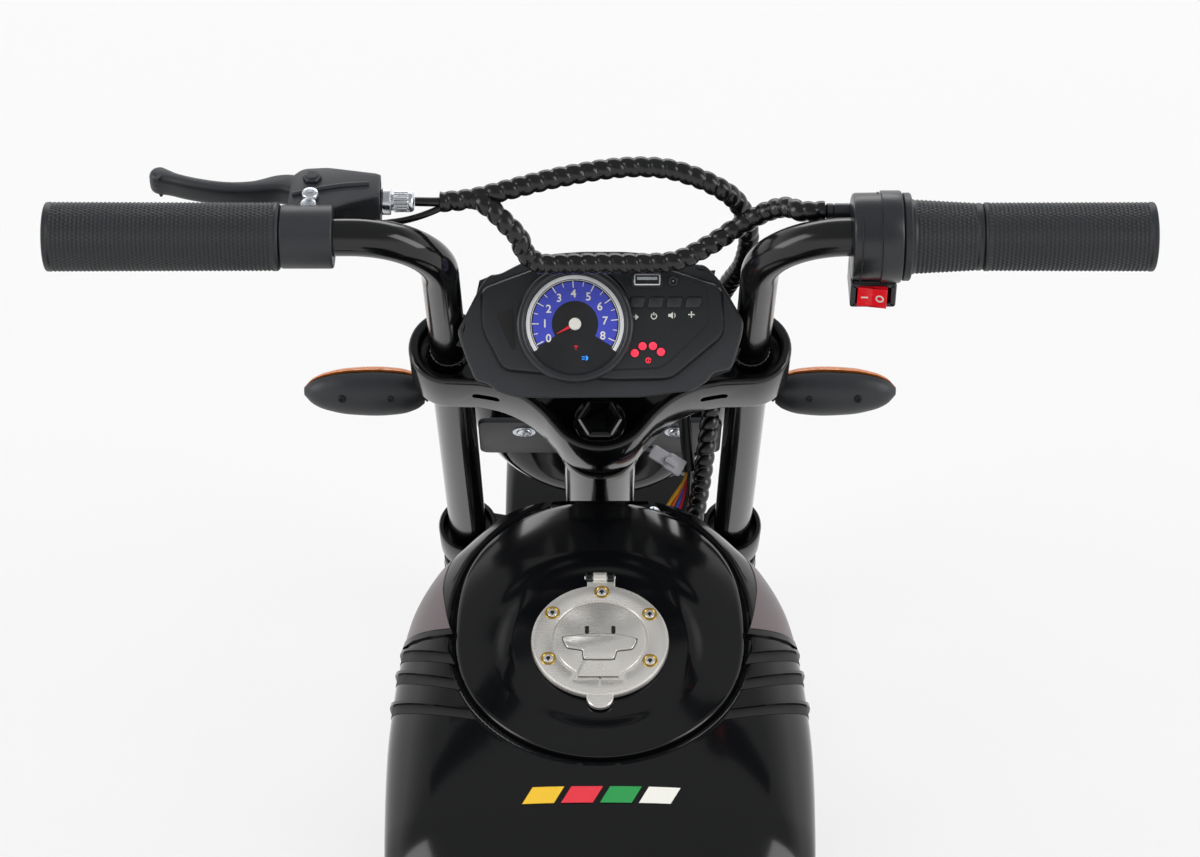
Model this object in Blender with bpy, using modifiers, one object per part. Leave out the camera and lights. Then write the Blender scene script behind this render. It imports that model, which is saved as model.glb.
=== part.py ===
"""Kids ride-on motorcycle with training wheels, built as separate pieces.

All sizes are in millimetres and are turned into metres where meshes and places are made.
+X is the rider's right, +Y is forward and +Z is up. The ground is Z = 0, and the origin lies
midway between the two axles.
"""
import bpy
import bmesh
from math import atan2, cos, hypot, pi, radians, sin, tan
from mathutils import Matrix, Vector

MM = 0.001
FIT_GAP = 0.3
SMOOTH_ANGLE = 35.0

# Wheels and stance
WHEEL_DIAMETER = 290.0
TYRE_WIDTH = 62.0
TYRE_DEPTH = 42.0
TYRE_CROWN_DROP = 9.0
RIM_WIDTH = 46.0
RIM_WALL = 5.0
RIM_SPOKES = 5
SPOKE_WIDTH = 18.0
SPOKE_THICKNESS = 14.0
HUB_RADIUS = 24.0
HUB_LENGTH = 78.0
AXLE_RADIUS = 6.0
WHEELBASE = 756.0
WHEEL_STEPS = 24

# Steering geometry
RAKE_DEG = 25.0
STEER_LIMIT_DEG = 30.0
STEM_SETBACK = 40.0
FORK_HALF_SPACING = 79.5
FORK_TUBE_RADIUS = 11.0
FORK_LEG_RADIUS = 16.5
FORK_LEG_FOOT = 16.0
STEM_RADIUS = 12.5
HEAD_TUBE_RADIUS = 19.0
HEAD_CUP_LENGTH = 9.0
YOKE_BOTTOM = 423.0
YOKE_HEIGHT = 34.0
YOKE_DISH = 8.0
YOKE_RIM = 5.5
YOKE_LOBE_RADIUS = 21.0
YOKE_STEM_REACH = 19.0
YOKE_FRONT = 16.0
TUBE_SOCKET_DEPTH = 11.0
BOLT_HEAD_RADIUS = 12.1
BOLT_SHANK_RADIUS = 8.0
BOLT_HEIGHT = 6.0
WALL_SLOT_LENGTH = 14.5
WALL_SLOT_HEIGHT = 5.5
WALL_SLOT_X = 60.0
CUP_TOP = 188.0
CUP_HEIGHT = 30.0
CUP_RADIUS = 17.5
CUP_BORE_RADIUS = 14.2
CUP_BORE_DEPTH = 16.0
BRIDGE_THICKNESS = 10.0

# Handlebars and their fittings
BAR_RADIUS = 9.5
BAR_HEIGHT = 680.0
BAR_HALF_SPAN = 262.0
BAR_STRAIGHT = 220.0
BAR_BEND_RADIUS = BAR_HALF_SPAN - BAR_STRAIGHT
WELD_BEAD_HEIGHT = 5.0
WELD_BEAD_RADIUS = 11.5
GRIP_RADIUS = 17.0
GRIP_END_WALL = 7.0
GRIP_END_ROUND = 2.5
LEFT_GRIP_LENGTH = 114.0
LEVER_CLAMP_LENGTH = 25.5
LEVER_CLAMP_RADIUS = 15.5
RIGHT_GRIP_REACH = 123.0
OUTER_GRIP_RADIUS = 16.9
SLEEVE_LENGTH = 35.0
SLEEVE_INNER_RADIUS = 18.2
SLEEVE_OUTER_RADIUS = 16.4
SLEEVE_FLANGE_RADIUS = 21.4
SLEEVE_FLANGE = 4.0
SLEEVE_WALL = 3.0
SLEEVE_TWIST_DEG = 60.0
HOUSING_LENGTH = 24.0
HOUSING_RADIUS = 22.5
SWITCH_WIDTH = 22.3
SWITCH_HEIGHT = 15.0
SWITCH_DEPTH = 22.0
SWITCH_FACE_BACK = 16.0
SWITCH_CENTRE_DROP = 24.0
ROCKER_LENGTH = 14.4
ROCKER_HEIGHT = 11.8
ROCKER_TILT_DEG = 9.0
ROCKER_PIVOT_DEPTH = 2.5
ROCKER_BODY_RADIUS = 5.0
SWITCH_POCKET_DEPTH = 10.0

# Brake lever
LEVER_PIVOT_INSET = 14.0
LEVER_PIVOT_AHEAD = 31.5
LEVER_ARM_REACH = 33.5
LEVER_THICKNESS = 12.0
LEVER_BLADE_WIDTH = 7.5
LEVER_PULL_DEG = 10.0
LEVER_PIN_RADIUS = 3.0
LEVER_LUG_RADIUS = 8.0
LEVER_TIP_RADIUS = 5.2
HOLDER_HEIGHT = 22.0
ADJUSTER_RADIUS = 5.2
ADJUSTER_LOCK_RADIUS = 6.6
ADJUSTER_LENGTH = 16.0
CABLE_AHEAD = 27.0

# Dash
DASH_BEHIND_FORK = 48.246
DASH_ABOVE_YOKE = 61.568
DASH_TILT_DEG = 43.0
DASH_FLANGE = 6.0
DASH_BODY_DEPTH = 26.0
DASH_PANEL_HEIGHT = 4.0
DASH_EDGE_ROUND = 1.2
DIAL_X = -12.5
DIAL_V = 0.0
DIAL_BEZEL_RADIUS = 29.6
DIAL_BEZEL_WIDTH = 4.0
DIAL_BEZEL_HEIGHT = 5.5
BUTTON_WIDTH = 7.2
BUTTON_DEPTH = 5.2
BUTTON_SLANT = 1.2
BUTTON_TRAVEL = 1.2
BUTTON_PROUD = 1.5
BUTTON_PITCH = 9.4
BUTTON_ROW_X = 32.6
BUTTON_ROW_V = 10.8
BUTTON_COUNT = 4
BUTTON_POCKET = 5.0
USB_WIDTH = 13.1
USB_HEIGHT = 5.6
USB_X = 23.6
USB_V = 22.3
USB_DEPTH = 9.0
JACK_RADIUS = 2.3
JACK_X = 36.6
JACK_V = 21.6
DASH_BRACKET_WIDTH = 40.0
DASH_BRACKET_THICKNESS = 3.0

# Lamps and fenders
HEADLIGHT_RADIUS = 79.0
HEADLIGHT_CENTRE_Z = 432.0
HEADLIGHT_AHEAD_OF_FORK = 17.83
HEADLIGHT_RIM_AHEAD = 30.0
HEADLIGHT_LENGTH = 56.0
HEADLIGHT_LENS_BULGE = 12.0
HEADLIGHT_WALL = 3.0
BRACKET_LOW = 300.0
BRACKET_HIGH = 346.0
BRACKET_AHEAD = 2.0
BRACKET_THICKNESS = 3.0
BRACKET_BOSS_RADIUS = 18.0
BRACKET_CLAMP_WALL = 3.0
INDICATOR_ALONG = 396.0
INDICATOR_INNER_X = 95.0
INDICATOR_OUTER_X = 160.0
INDICATOR_STALK_RADIUS = 5.0
INDICATOR_HEIGHT = 29.0
INDICATOR_DEPTH = 24.0
FENDER_CLEARANCE = 5.0
FENDER_RADIUS = WHEEL_DIAMETER / 2 + FENDER_CLEARANCE
FORK_LEG_TOP = FENDER_RADIUS - 14.0
FENDER_WIDTH = 112.0
FENDER_THICKNESS = 2.5
FRONT_FENDER_AHEAD_DEG = 35.0
FRONT_FENDER_BEHIND_DEG = 128.0
FENDER_TAB_HEIGHT = 30.0
REAR_FENDER_FRONT_DEG = 62.0
REAR_FENDER_REAR_DEG = 165.0
TAIL_LAMP_WIDTH = 70.0
TAIL_LAMP_HEIGHT = 30.0
TAIL_LAMP_DEPTH = 22.0

# Frame tubes
BACKBONE_RADIUS = 15.0
CRADLE_RADIUS = 13.0
STAY_RADIUS = 10.0
RAIL_RADIUS = 10.0
BACKBONE_FRONT_Y = 104.0
BACKBONE_FRONT_Z = 386.0
BACKBONE_REAR_Y = -160.0
BACKBONE_REAR_Z = 368.0
CRADLE_FLOOR_Z = 116.0
CRADLE_FRONT_Y = 158.0
CRADLE_REAR_Y = -112.0
STAY_HALF_SPACING = 88.0
RAIL_HALF_SPACING = 60.0
RAIL_OVERHANG = 62.0
RAIL_REAR_Y = -WHEELBASE / 2 - RAIL_OVERHANG
RAIL_REAR_Z = 402.0
UPPER_STAY_AHEAD = 60.0
UPPER_STAY_TOP_Y = -WHEELBASE / 2 + UPPER_STAY_AHEAD
DROPOUT_RADIUS = 20.0
DROPOUT_THICKNESS = 8.0
TUBE_BEND_STEPS = 4
TANK_MOUNT_FRONT_X = 86.6
TANK_MOUNT_REAR_X = 85.5
TANK_MOUNT_RISE = 4.3

# Tank, cover and cap
TANK_TOP_LINE = ((-150, 402), (-130, 430), (-105, 450), (-80, 462), (-50, 472), (-4, 478), (43.4, 482.5),
                 (100, 490), (142, 488))
TANK_HALF_WIDTHS = ((-145, 60), (-130, 78), (-105, 94), (-60, 106.5), (0, 108), (44, 106), (86, 100),
                    (113, 90), (130, 77), (142, 66))
TANK_SIDE_LEVELS = ((-150, 385), (-100, 420), (-50, 438), (142, 440))
TANK_STATIONS = 12
TANK_SECTION_STEPS = 8
TANK_SQUARENESS = 2.4
TANK_SKIRT = 62.0
TANK_TUCK = 0.14
TANK_WALL = 2.5
TANK_FRONT_LEAN = 9.0
TANK_FRONT_CENTRE_Z = 430.0
TANK_OPENING_HALF_WIDTH = 36.0
TANK_OPENING_TOP = 436.0
COVER_HALF_WIDTH = 74.0
COVER_WIDEST_Y = 55.0
COVER_FRONT_Y = 142.0
COVER_REAR_Y = -26.0
COVER_FRONT_SQUARENESS = 2.6
COVER_THICKNESS = 2.2
COVER_LIFT = 2.2
COVER_BOSS_X = 58.0
COVER_BOSS_RADIUS = 3.5
COVER_BOSS_GAP = 1.35
CAP_CENTRE_Y = 43.4
CAP_RADIUS = 35.0
CAP_THICKNESS = 4.0
CAP_LIFT = 0.5
CAP_FLAT_RADIUS = 44.0
CAP_FLAT_EDGE = 54.0
CAP_TAB_WIDTH = 12.5
CAP_TAB_REACH = 5.0
CAP_HOLE_RADIUS = 31.0
CAP_HINGE_REACH = 4.5
CAP_HINGE_RISE = 3.2
CAP_KNUCKLE_RADIUS = 2.8
CAP_KNUCKLE_WIDTH = 7.0
CAP_PIN_RADIUS = 1.2
CAP_EAR_WIDTH = 3.4
CAP_OPEN_DEG = 100.0
SOCKET_FLANGE_RADIUS = 36.0
SOCKET_CUP_RADIUS = 29.0
SOCKET_CUP_DEPTH = 26.0
SOCKET_WALL = 2.5
SOCKET_DROP = 1.5

# Seat, covers and running gear
SEAT_FRONT_Y = -158.0
SEAT_OVERHANG = 18.0
SEAT_REAR_Y = RAIL_REAR_Y - SEAT_OVERHANG
SEAT_HALF_WIDTH = 92.0
SEAT_NOSE_HALF_WIDTH = 58.0
SEAT_THICKNESS = 52.0
SEAT_PAN_THICKNESS = 6.0
SEAT_KICK_UP = 14.0
BATTERY_LENGTH = 151.0
BATTERY_WIDTH = 98.0
BATTERY_HEIGHT = 101.0
BATTERY_CENTRE_Y = 18.0
COVER_PANEL_X = 66.0
COVER_PANEL_THICKNESS = 4.0
COVER_PANEL_BOW = 10.0
BOX_LENGTH = 82.0
BOX_WIDTH = 56.0
BOX_HEIGHT = 22.0
BOX_FRONT_Y = 112.0
GEARBOX_RADIUS = 46.0
GEARBOX_LENGTH = 26.0
MOTOR_RADIUS = 20.0
MOTOR_LENGTH = 46.0
MOTOR_OFFSET = 58.0
PEG_RADIUS = 11.0
PEG_START_X = 82.0
PEG_END_X = 156.0
STABILISER_WHEEL_RADIUS = 56.0
STABILISER_WHEEL_WIDTH = 34.0
STABILISER_TRACK_X = 178.0
STABILISER_ARM_RADIUS = 8.0
STABILISER_AXLE_RADIUS = 5.0

# Harness
HARNESS_RADIUS = 5.3
HARNESS_CORE_RADIUS = 4.0
RIB_PITCH = 6.8
ROUTE_DETAIL = 24

PIECES_COLLECTION = "kids_motorcycle"
CUTTER_COLLECTION = "cutters"

# Colour as linear red, green and blue, then roughness and metallic
FINISHES = {
    "gloss_black_paint": ((0.006, 0.006, 0.007), 0.18, 0.0),
    "gloss_black_shell": ((0.006, 0.006, 0.007), 0.16, 0.0),
    "satin_black_plastic": ((0.030, 0.031, 0.034), 0.50, 0.0),
    "grip_rubber": ((0.022, 0.024, 0.027), 0.65, 0.0),
    "bright_chrome": ((0.80, 0.79, 0.78), 0.12, 1.0),
    "zinc_steel": ((0.48, 0.50, 0.53), 0.32, 1.0),
    "tyre_rubber": ((0.014, 0.014, 0.015), 0.80, 0.0),
    "rim_plastic": ((0.03, 0.03, 0.032), 0.35, 0.0),
    "lens_clear": ((0.78, 0.82, 0.86), 0.08, 0.0),
    "lens_red": ((0.60, 0.01, 0.01), 0.20, 0.0),
    "switch_red": ((0.85, 0.006, 0.01), 0.30, 0.0),
    "seat_vinyl": ((0.018, 0.018, 0.019), 0.48, 0.0),
    "battery_case": ((0.05, 0.052, 0.055), 0.55, 0.0),
    "harness_wrap": ((0.010, 0.010, 0.011), 0.28, 0.0),
}

RAKE = radians(RAKE_DEG)
FORK_UP = Vector((0.0, -sin(RAKE), cos(RAKE)))
FORK_AHEAD = Vector((0.0, cos(RAKE), sin(RAKE)))
ACROSS = Vector((1.0, 0.0, 0.0))
FORWARD = Vector((0.0, 1.0, 0.0))
UPWARD = Vector((0.0, 0.0, 1.0))
AXLE_HEIGHT = WHEEL_DIAMETER / 2
FRONT_AXLE = Vector((0.0, WHEELBASE / 2, AXLE_HEIGHT))
REAR_AXLE = Vector((0.0, -WHEELBASE / 2, AXLE_HEIGHT))
YOKE_TOP = YOKE_BOTTOM + YOKE_HEIGHT
YOKE_PLATFORM = YOKE_TOP - YOKE_DISH


def fork_point(x, along, ahead=0.0):
    """A point given by its side offset and its distances up and ahead of the fork line."""
    return FRONT_AXLE + ACROSS * x + FORK_UP * along + FORK_AHEAD * ahead


def stem_point(along):
    """A point on the steering axis."""
    return fork_point(0.0, along, -STEM_SETBACK)


BAR_ALONG = (BAR_HEIGHT - AXLE_HEIGHT) / cos(RAKE)
BAR_CENTRE = fork_point(0.0, BAR_ALONG)
BAR_END_X = BAR_HALF_SPAN
CLAMP_OUTER_X = -(BAR_END_X + GRIP_END_WALL - LEFT_GRIP_LENGTH)
LEVER_PIVOT_X = CLAMP_OUTER_X + LEVER_PIVOT_INSET
LEVER_ARM_END_X = LEVER_PIVOT_X + LEVER_ARM_REACH
LEVER_PIVOT = Vector((LEVER_PIVOT_X, BAR_CENTRE.y + LEVER_PIVOT_AHEAD, BAR_HEIGHT))
SLEEVE_START_X = BAR_END_X + GRIP_END_WALL - RIGHT_GRIP_REACH + FIT_GAP
HOUSING_INNER_X = SLEEVE_START_X - FIT_GAP - HOUSING_LENGTH
SWITCH_X = HOUSING_INNER_X + HOUSING_LENGTH / 2 - 1.0
SWITCH_FACE = Vector((SWITCH_X, BAR_CENTRE.y - SWITCH_FACE_BACK, BAR_HEIGHT - SWITCH_CENTRE_DROP))
ROCKER_PIVOT = SWITCH_FACE + FORWARD * ROCKER_PIVOT_DEPTH

DASH_TILT = radians(DASH_TILT_DEG)
DASH_NORMAL = Vector((0.0, -cos(DASH_TILT), sin(DASH_TILT)))
DASH_UP = Vector((0.0, sin(DASH_TILT), cos(DASH_TILT)))
DASH_CENTRE = fork_point(0.0, YOKE_PLATFORM) + Vector((0.0, -DASH_BEHIND_FORK, DASH_ABOVE_YOKE))


# Small geometry helpers

def interpolate(table, at):
    """Value at a position in a table of (position, value) pairs, along a smooth monotone curve."""
    table = sorted(table)
    if at <= table[0][0]:
        return float(table[0][1])
    if at >= table[-1][0]:
        return float(table[-1][1])
    slopes = [(y1 - y0) / (x1 - x0) for (x0, y0), (x1, y1) in zip(table, table[1:])]
    tangents = [slopes[0]]
    for before, after in zip(slopes, slopes[1:]):
        tangents.append(2 * before * after / (before + after) if before * after > 0 else 0.0)
    tangents.append(slopes[-1])
    index = max(i for i in range(len(table) - 1) if table[i][0] <= at)
    (x0, y0), (x1, y1) = table[index], table[index + 1]
    t = (at - x0) / (x1 - x0)
    bow = (x1 - x0) * (tangents[index] * t * (1 - t) ** 2 - tangents[index + 1] * t * t * (1 - t))
    return y0 + (y1 - y0) * t * t * (3 - 2 * t) + bow


def place_matrix(origin, x_axis, z_axis):
    """Matrix in metres with the given local X and Z directions; the origin is in millimetres."""
    z = Vector(z_axis).normalized()
    x = Vector(x_axis)
    x = (x - z * x.dot(z)).normalized()
    y = z.cross(x)
    matrix = Matrix((x, y, z)).transposed().to_4x4()
    matrix.translation = Vector(origin) * MM
    return matrix


def fork_matrix(x=0.0, along=0.0, ahead=0.0):
    return place_matrix(fork_point(x, along, ahead), ACROSS, FORK_UP)


def along_x(origin):
    """Local Z points to +X and local X points up."""
    return place_matrix(origin, UPWARD, ACROSS)


def along_y(origin):
    """Local Z points to +Y and local X to +X."""
    return place_matrix(origin, ACROSS, FORWARD)


def upright(origin):
    return place_matrix(origin, ACROSS, UPWARD)


def dash_matrix(u=0.0, v=0.0, depth=0.0):
    """A place on the dash: u to the right, v up its face, and depth out of its face."""
    return place_matrix(DASH_CENTRE + ACROSS * u + DASH_UP * v + DASH_NORMAL * depth, ACROSS, DASH_NORMAL)


def arc_points(centre, radius, start_deg, end_deg, steps):
    turn = [radians(start_deg + (end_deg - start_deg) * i / steps) for i in range(steps + 1)]
    return [(centre[0] + radius * cos(a), centre[1] + radius * sin(a)) for a in turn]


def bent_path(corners, bend_radius, steps=TUBE_BEND_STEPS):
    """Straight runs between corners, with each inner corner rounded to the bend radius."""
    corners = [Vector(c) for c in corners]
    path = [corners[0]]
    for before, corner, after in zip(corners, corners[1:], corners[2:]):
        into = (before - corner).normalized()
        out = (after - corner).normalized()
        half = into.angle(out) / 2
        reach = min(bend_radius / tan(half), 0.48 * (before - corner).length, 0.48 * (after - corner).length)
        radius = reach * tan(half)
        centre = corner + (into + out).normalized() * (radius / sin(half))
        first = corner + into * reach - centre
        last = corner + out * reach - centre
        swing = first.angle(last)
        for i in range(steps + 1):
            share = i / steps
            arm = (first * sin((1 - share) * swing) + last * sin(share * swing)) / sin(swing)
            path.append(centre + arm)
    path.append(corners[-1])
    return path


def smooth_path(points, detail=ROUTE_DETAIL):
    """Dense points on a smooth curve through the given points; the first and last runs are straight."""
    points = [Vector(p) for p in points]
    inner = points[1:-1]
    start_way = (points[1] - points[0]).normalized()
    end_way = (points[-1] - points[-2]).normalized()
    before = inner[1] - start_way * 2 * (inner[1] - inner[0]).length
    after = inner[-2] + end_way * 2 * (inner[-1] - inner[-2]).length
    ends = [before] + inner + [after]
    path = [points[0]]
    for a, b, c, d in zip(ends, ends[1:], ends[2:], ends[3:]):
        for i in range(detail):
            t = i / detail
            path.append(0.5 * (2 * b + (c - a) * t + (2 * a - 5 * b + 4 * c - d) * t * t
                               + (3 * b - a - 3 * c + d) * t ** 3))
    path += [inner[-1], points[-1]]
    return path


def even_points(path, step):
    """Points an equal distance apart along a dense path, near the wanted step."""
    lengths = [0.0]
    for a, b in zip(path, path[1:]):
        lengths.append(lengths[-1] + (b - a).length)
    count = max(2, round(lengths[-1] / step))
    out = []
    index = 0
    for i in range(count + 1):
        wanted = lengths[-1] * i / count
        while index < len(path) - 2 and lengths[index + 1] < wanted:
            index += 1
        span = lengths[index + 1] - lengths[index]
        share = (wanted - lengths[index]) / span if span else 0.0
        out.append(path[index].lerp(path[index + 1], min(max(share, 0.0), 1.0)))
    return out


# Making objects

def start_scene():
    for old in list(bpy.data.objects):
        bpy.data.objects.remove(old, do_unlink=True)
    for name in (PIECES_COLLECTION, CUTTER_COLLECTION):
        group = bpy.data.collections.get(name) or bpy.data.collections.new(name)
        if group.name not in bpy.context.scene.collection.children:
            bpy.context.scene.collection.children.link(group)


def finish_material(name):
    colour, roughness, metallic = FINISHES[name]
    material = bpy.data.materials.get(name) or bpy.data.materials.new(name)
    material.use_nodes = True
    shader = material.node_tree.nodes["Principled BSDF"]
    shader.inputs["Base Color"].default_value = (*colour, 1.0)
    shader.inputs["Roughness"].default_value = roughness
    shader.inputs["Metallic"].default_value = metallic
    return material


def add_object(name, data, place):
    obj = bpy.data.objects.new(name, data)
    obj.matrix_basis = place
    bpy.data.collections[CUTTER_COLLECTION].objects.link(obj)
    obj.hide_render = True
    obj.display_type = "WIRE"
    return obj


def keep(obj, body, finish):
    """Makes a shape a piece of the motorcycle, carried by its body's pivot."""
    bpy.data.collections[CUTTER_COLLECTION].objects.unlink(obj)
    bpy.data.collections[PIECES_COLLECTION].objects.link(obj)
    obj.hide_render = False
    obj.display_type = "TEXTURED"
    obj.data.materials.clear()
    obj.data.materials.append(finish_material(finish))
    pivot = PIVOTS[body]
    obj.parent = pivot
    obj.matrix_parent_inverse = pivot.matrix_basis.inverted()
    return obj


def add_pivot(body, origin):
    pivot = bpy.data.objects.new(body + "_pivot", None)
    pivot.matrix_basis = Matrix.Translation(Vector(origin) * MM)
    pivot.empty_display_size = 0.03
    bpy.data.collections[PIECES_COLLECTION].objects.link(pivot)
    return pivot


def shade(mesh):
    mesh.shade_smooth()
    mesh.set_sharp_from_angle(angle=radians(SMOOTH_ANGLE))


def mesh_object(name, bm, place):
    bmesh.ops.recalc_face_normals(bm, faces=bm.faces)
    mesh = bpy.data.meshes.new(name)
    bm.to_mesh(mesh)
    bm.free()
    shade(mesh)
    return add_object(name, mesh, place)


def block(name, size, place):
    bm = bmesh.new()
    bmesh.ops.create_cube(bm, size=1.0)
    bmesh.ops.scale(bm, vec=Vector(size) * MM, verts=bm.verts)
    return mesh_object(name, bm, place)


def rod(name, start, end, radius, sides=20, end_radius=None):
    """A solid cylinder, or a cone if its end has another radius, between two points."""
    start = Vector(start)
    end = Vector(end)
    bm = bmesh.new()
    far = radius if end_radius is None else end_radius
    bmesh.ops.create_cone(bm, cap_ends=True, segments=sides, radius1=radius * MM, radius2=far * MM,
                          depth=(end - start).length * MM)
    way = (end - start).normalized()
    side = ACROSS if abs(way.x) < 0.9 else FORWARD
    return mesh_object(name, bm, place_matrix((start + end) / 2, side, way))


def turned(name, profile, place, steps=24, closed=False):
    """A profile of (radius, height) points, from top to bottom on its outer side, turned about Z."""
    mesh = bpy.data.meshes.new(name)
    points = [(r * MM, 0.0, z * MM) for r, z in profile]
    edges = [(i, i + 1) for i in range(len(points) - 1)]
    if closed:
        edges.append((len(points) - 1, 0))
    mesh.from_pydata(points, edges, [])
    obj = add_object(name, mesh, place)
    screw = obj.modifiers.new("turn", "SCREW")
    screw.angle = 2 * pi
    screw.steps = steps
    screw.render_steps = steps
    screw.use_merge_vertices = True
    screw.merge_threshold = 0.00001
    screw.use_smooth_shade = False
    return obj


def as_mesh(obj):
    """Replaces a curve by its welded mesh."""
    bpy.context.view_layer.update()
    graph = bpy.context.evaluated_depsgraph_get()
    mesh = bpy.data.meshes.new_from_object(obj.evaluated_get(graph))
    bm = bmesh.new()
    bm.from_mesh(mesh)
    bmesh.ops.remove_doubles(bm, verts=bm.verts, dist=0.000001)
    bmesh.ops.recalc_face_normals(bm, faces=bm.faces)
    bm.to_mesh(mesh)
    bm.free()
    shade(mesh)
    name = obj.name
    matrix = obj.matrix_basis.copy()
    bpy.data.objects.remove(obj, do_unlink=True)
    return add_object(name, mesh, matrix)


def curve_tube(name, path, radius, sides=12, radii=None):
    """A round tube along a path; radii gives each point its share of the radius."""
    curve = bpy.data.curves.new(name, "CURVE")
    curve.dimensions = "3D"
    curve.bevel_depth = radius * MM
    curve.bevel_resolution = (sides - 4) // 2
    curve.use_fill_caps = True
    spline = curve.splines.new("POLY")
    spline.points.add(len(path) - 1)
    for index, (point, corner) in enumerate(zip(spline.points, path)):
        point.co = (*(Vector(corner) * MM), 1.0)
        point.radius = radii[index] if radii else 1.0
    return add_object(name, curve, Matrix.Identity(4))


def tube(name, path, radius, sides=12):
    return as_mesh(curve_tube(name, path, radius, sides))


def plate(name, outline, thickness, place, holes=()):
    """A flat outline, with its holes, given a thickness centred on its plane."""
    curve = bpy.data.curves.new(name, "CURVE")
    curve.dimensions = "2D"
    curve.fill_mode = "BOTH"
    curve.extrude = thickness / 2 * MM
    for ring in (outline, *holes):
        spline = curve.splines.new("POLY")
        spline.points.add(len(ring) - 1)
        for point, corner in zip(spline.points, ring):
            point.co = (corner[0] * MM, corner[1] * MM, 0.0, 1.0)
        spline.use_cyclic_u = True
    return as_mesh(add_object(name, curve, place))


def skin(name, rings, thickness, place=None, ring_closed=False, row_closed=False, offset=-1.0):
    """An open sheet through rows of points, thickened on its inner side."""
    bm = bmesh.new()
    rows = [[bm.verts.new(Vector(p) * MM) for p in ring] for ring in rings]
    count = len(rows[0])
    row_pairs = list(zip(rows, rows[1:]))
    if row_closed:
        row_pairs.append((rows[-1], rows[0]))
    for first, second in row_pairs:
        for i in range(count if ring_closed else count - 1):
            j = (i + 1) % count
            bm.faces.new((first[i], first[j], second[j], second[i]))
    mesh = bpy.data.meshes.new(name)
    bm.to_mesh(mesh)
    bm.free()
    shade(mesh)
    obj = add_object(name, mesh, place or Matrix.Identity(4))
    solidify = obj.modifiers.new("wall", "SOLIDIFY")
    solidify.thickness = thickness * MM
    solidify.offset = offset
    solidify.use_even_offset = True
    return obj


def loft(name, rings, place=None):
    """A closed body through rings of equal point count, capped at both ends."""
    bm = bmesh.new()
    rows = [[bm.verts.new(Vector(p) * MM) for p in ring] for ring in rings]
    count = len(rows[0])
    for first, second in zip(rows, rows[1:]):
        for i in range(count):
            j = (i + 1) % count
            bm.faces.new((first[i], first[j], second[j], second[i]))
    bm.faces.new(list(reversed(rows[0])))
    bm.faces.new(rows[-1])
    return mesh_object(name, bm, place or Matrix.Identity(4))


def combine(obj, other, operation):
    modifier = obj.modifiers.new(operation.lower() + "_" + other.name, "BOOLEAN")
    modifier.operation = operation
    modifier.object = other
    modifier.solver = "EXACT"
    return obj


def cut(obj, *others):
    for other in others:
        combine(obj, other, "DIFFERENCE")
    return obj


def join(obj, *others):
    for other in others:
        combine(obj, other, "UNION")
    return obj


def bevel(obj, width, segments=2, angle=40.0):
    modifier = obj.modifiers.new("edges", "BEVEL")
    modifier.width = width * MM
    modifier.segments = segments
    modifier.limit_method = "ANGLE"
    modifier.angle_limit = radians(angle)
    return obj


# Tank surface

HEADLIGHT_BACK_Y = fork_point(0, (HEADLIGHT_CENTRE_Z - AXLE_HEIGHT) / cos(RAKE)).y + HEADLIGHT_AHEAD_OF_FORK
CAP_SLOPE = atan2(interpolate(TANK_TOP_LINE, CAP_CENTRE_Y + CAP_RADIUS)
                  - interpolate(TANK_TOP_LINE, CAP_CENTRE_Y - CAP_RADIUS), 2 * CAP_RADIUS)


def tank_half_width(y):
    return interpolate(TANK_HALF_WIDTHS, y)


def cover_share(x, y):
    """How far out a point lies towards the cover's outline: 1 on the outline, 0 at its centre."""
    if y >= COVER_WIDEST_Y:
        power = COVER_FRONT_SQUARENESS
        run = (y - COVER_WIDEST_Y) / (COVER_FRONT_Y - COVER_WIDEST_Y)
    else:
        power = 2.0
        run = (COVER_WIDEST_Y - y) / (COVER_WIDEST_Y - COVER_REAR_Y)
    return (abs(x / COVER_HALF_WIDTH) ** power + abs(run) ** power) ** (1.0 / power)


def cap_plane_height(y):
    """Height of the flat seat under the cap."""
    return interpolate(TANK_TOP_LINE, CAP_CENTRE_Y) + (y - CAP_CENTRE_Y) * tan(CAP_SLOPE)


def tank_height(x, y):
    """Height of the tank's finished top surface, level with the cap's seat around the cap."""
    top = interpolate(TANK_TOP_LINE, y)
    side = interpolate(TANK_SIDE_LEVELS, y)
    share = min(abs(x) / tank_half_width(y), 1.0)
    height = side + (top - side) * (1.0 - share ** TANK_SQUARENESS) ** (1.0 / TANK_SQUARENESS)
    away = (CAP_FLAT_EDGE - hypot(x, y - CAP_CENTRE_Y)) / (CAP_FLAT_EDGE - CAP_FLAT_RADIUS)
    flat = min(max(away, 0.0), 1.0)
    flat = flat * flat * (3 - 2 * flat)
    return height + (cap_plane_height(y) - height) * flat


def shell_height(x, y):
    """Height of the shell's top, which is sunk under the cover."""
    depth = COVER_THICKNESS + COVER_LIFT
    inside = min(max((1.40 - cover_share(x, y)) / 0.25, 0.0), 1.0)
    return tank_height(x, y) - depth * inside


def cover_outline(angle):
    """Point on the cover's outline in the direction of an angle about its widest centre."""
    front = COVER_FRONT_Y - COVER_WIDEST_Y
    back = COVER_WIDEST_Y - COVER_REAR_Y
    reach = front if sin(angle) >= 0 else back
    power = COVER_FRONT_SQUARENESS if sin(angle) >= 0 else 2.0
    scale = (abs(cos(angle)) ** power + abs(sin(angle)) ** power) ** (-1.0 / power)
    return COVER_HALF_WIDTH * cos(angle) * scale, COVER_WIDEST_Y + reach * sin(angle) * scale


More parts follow.
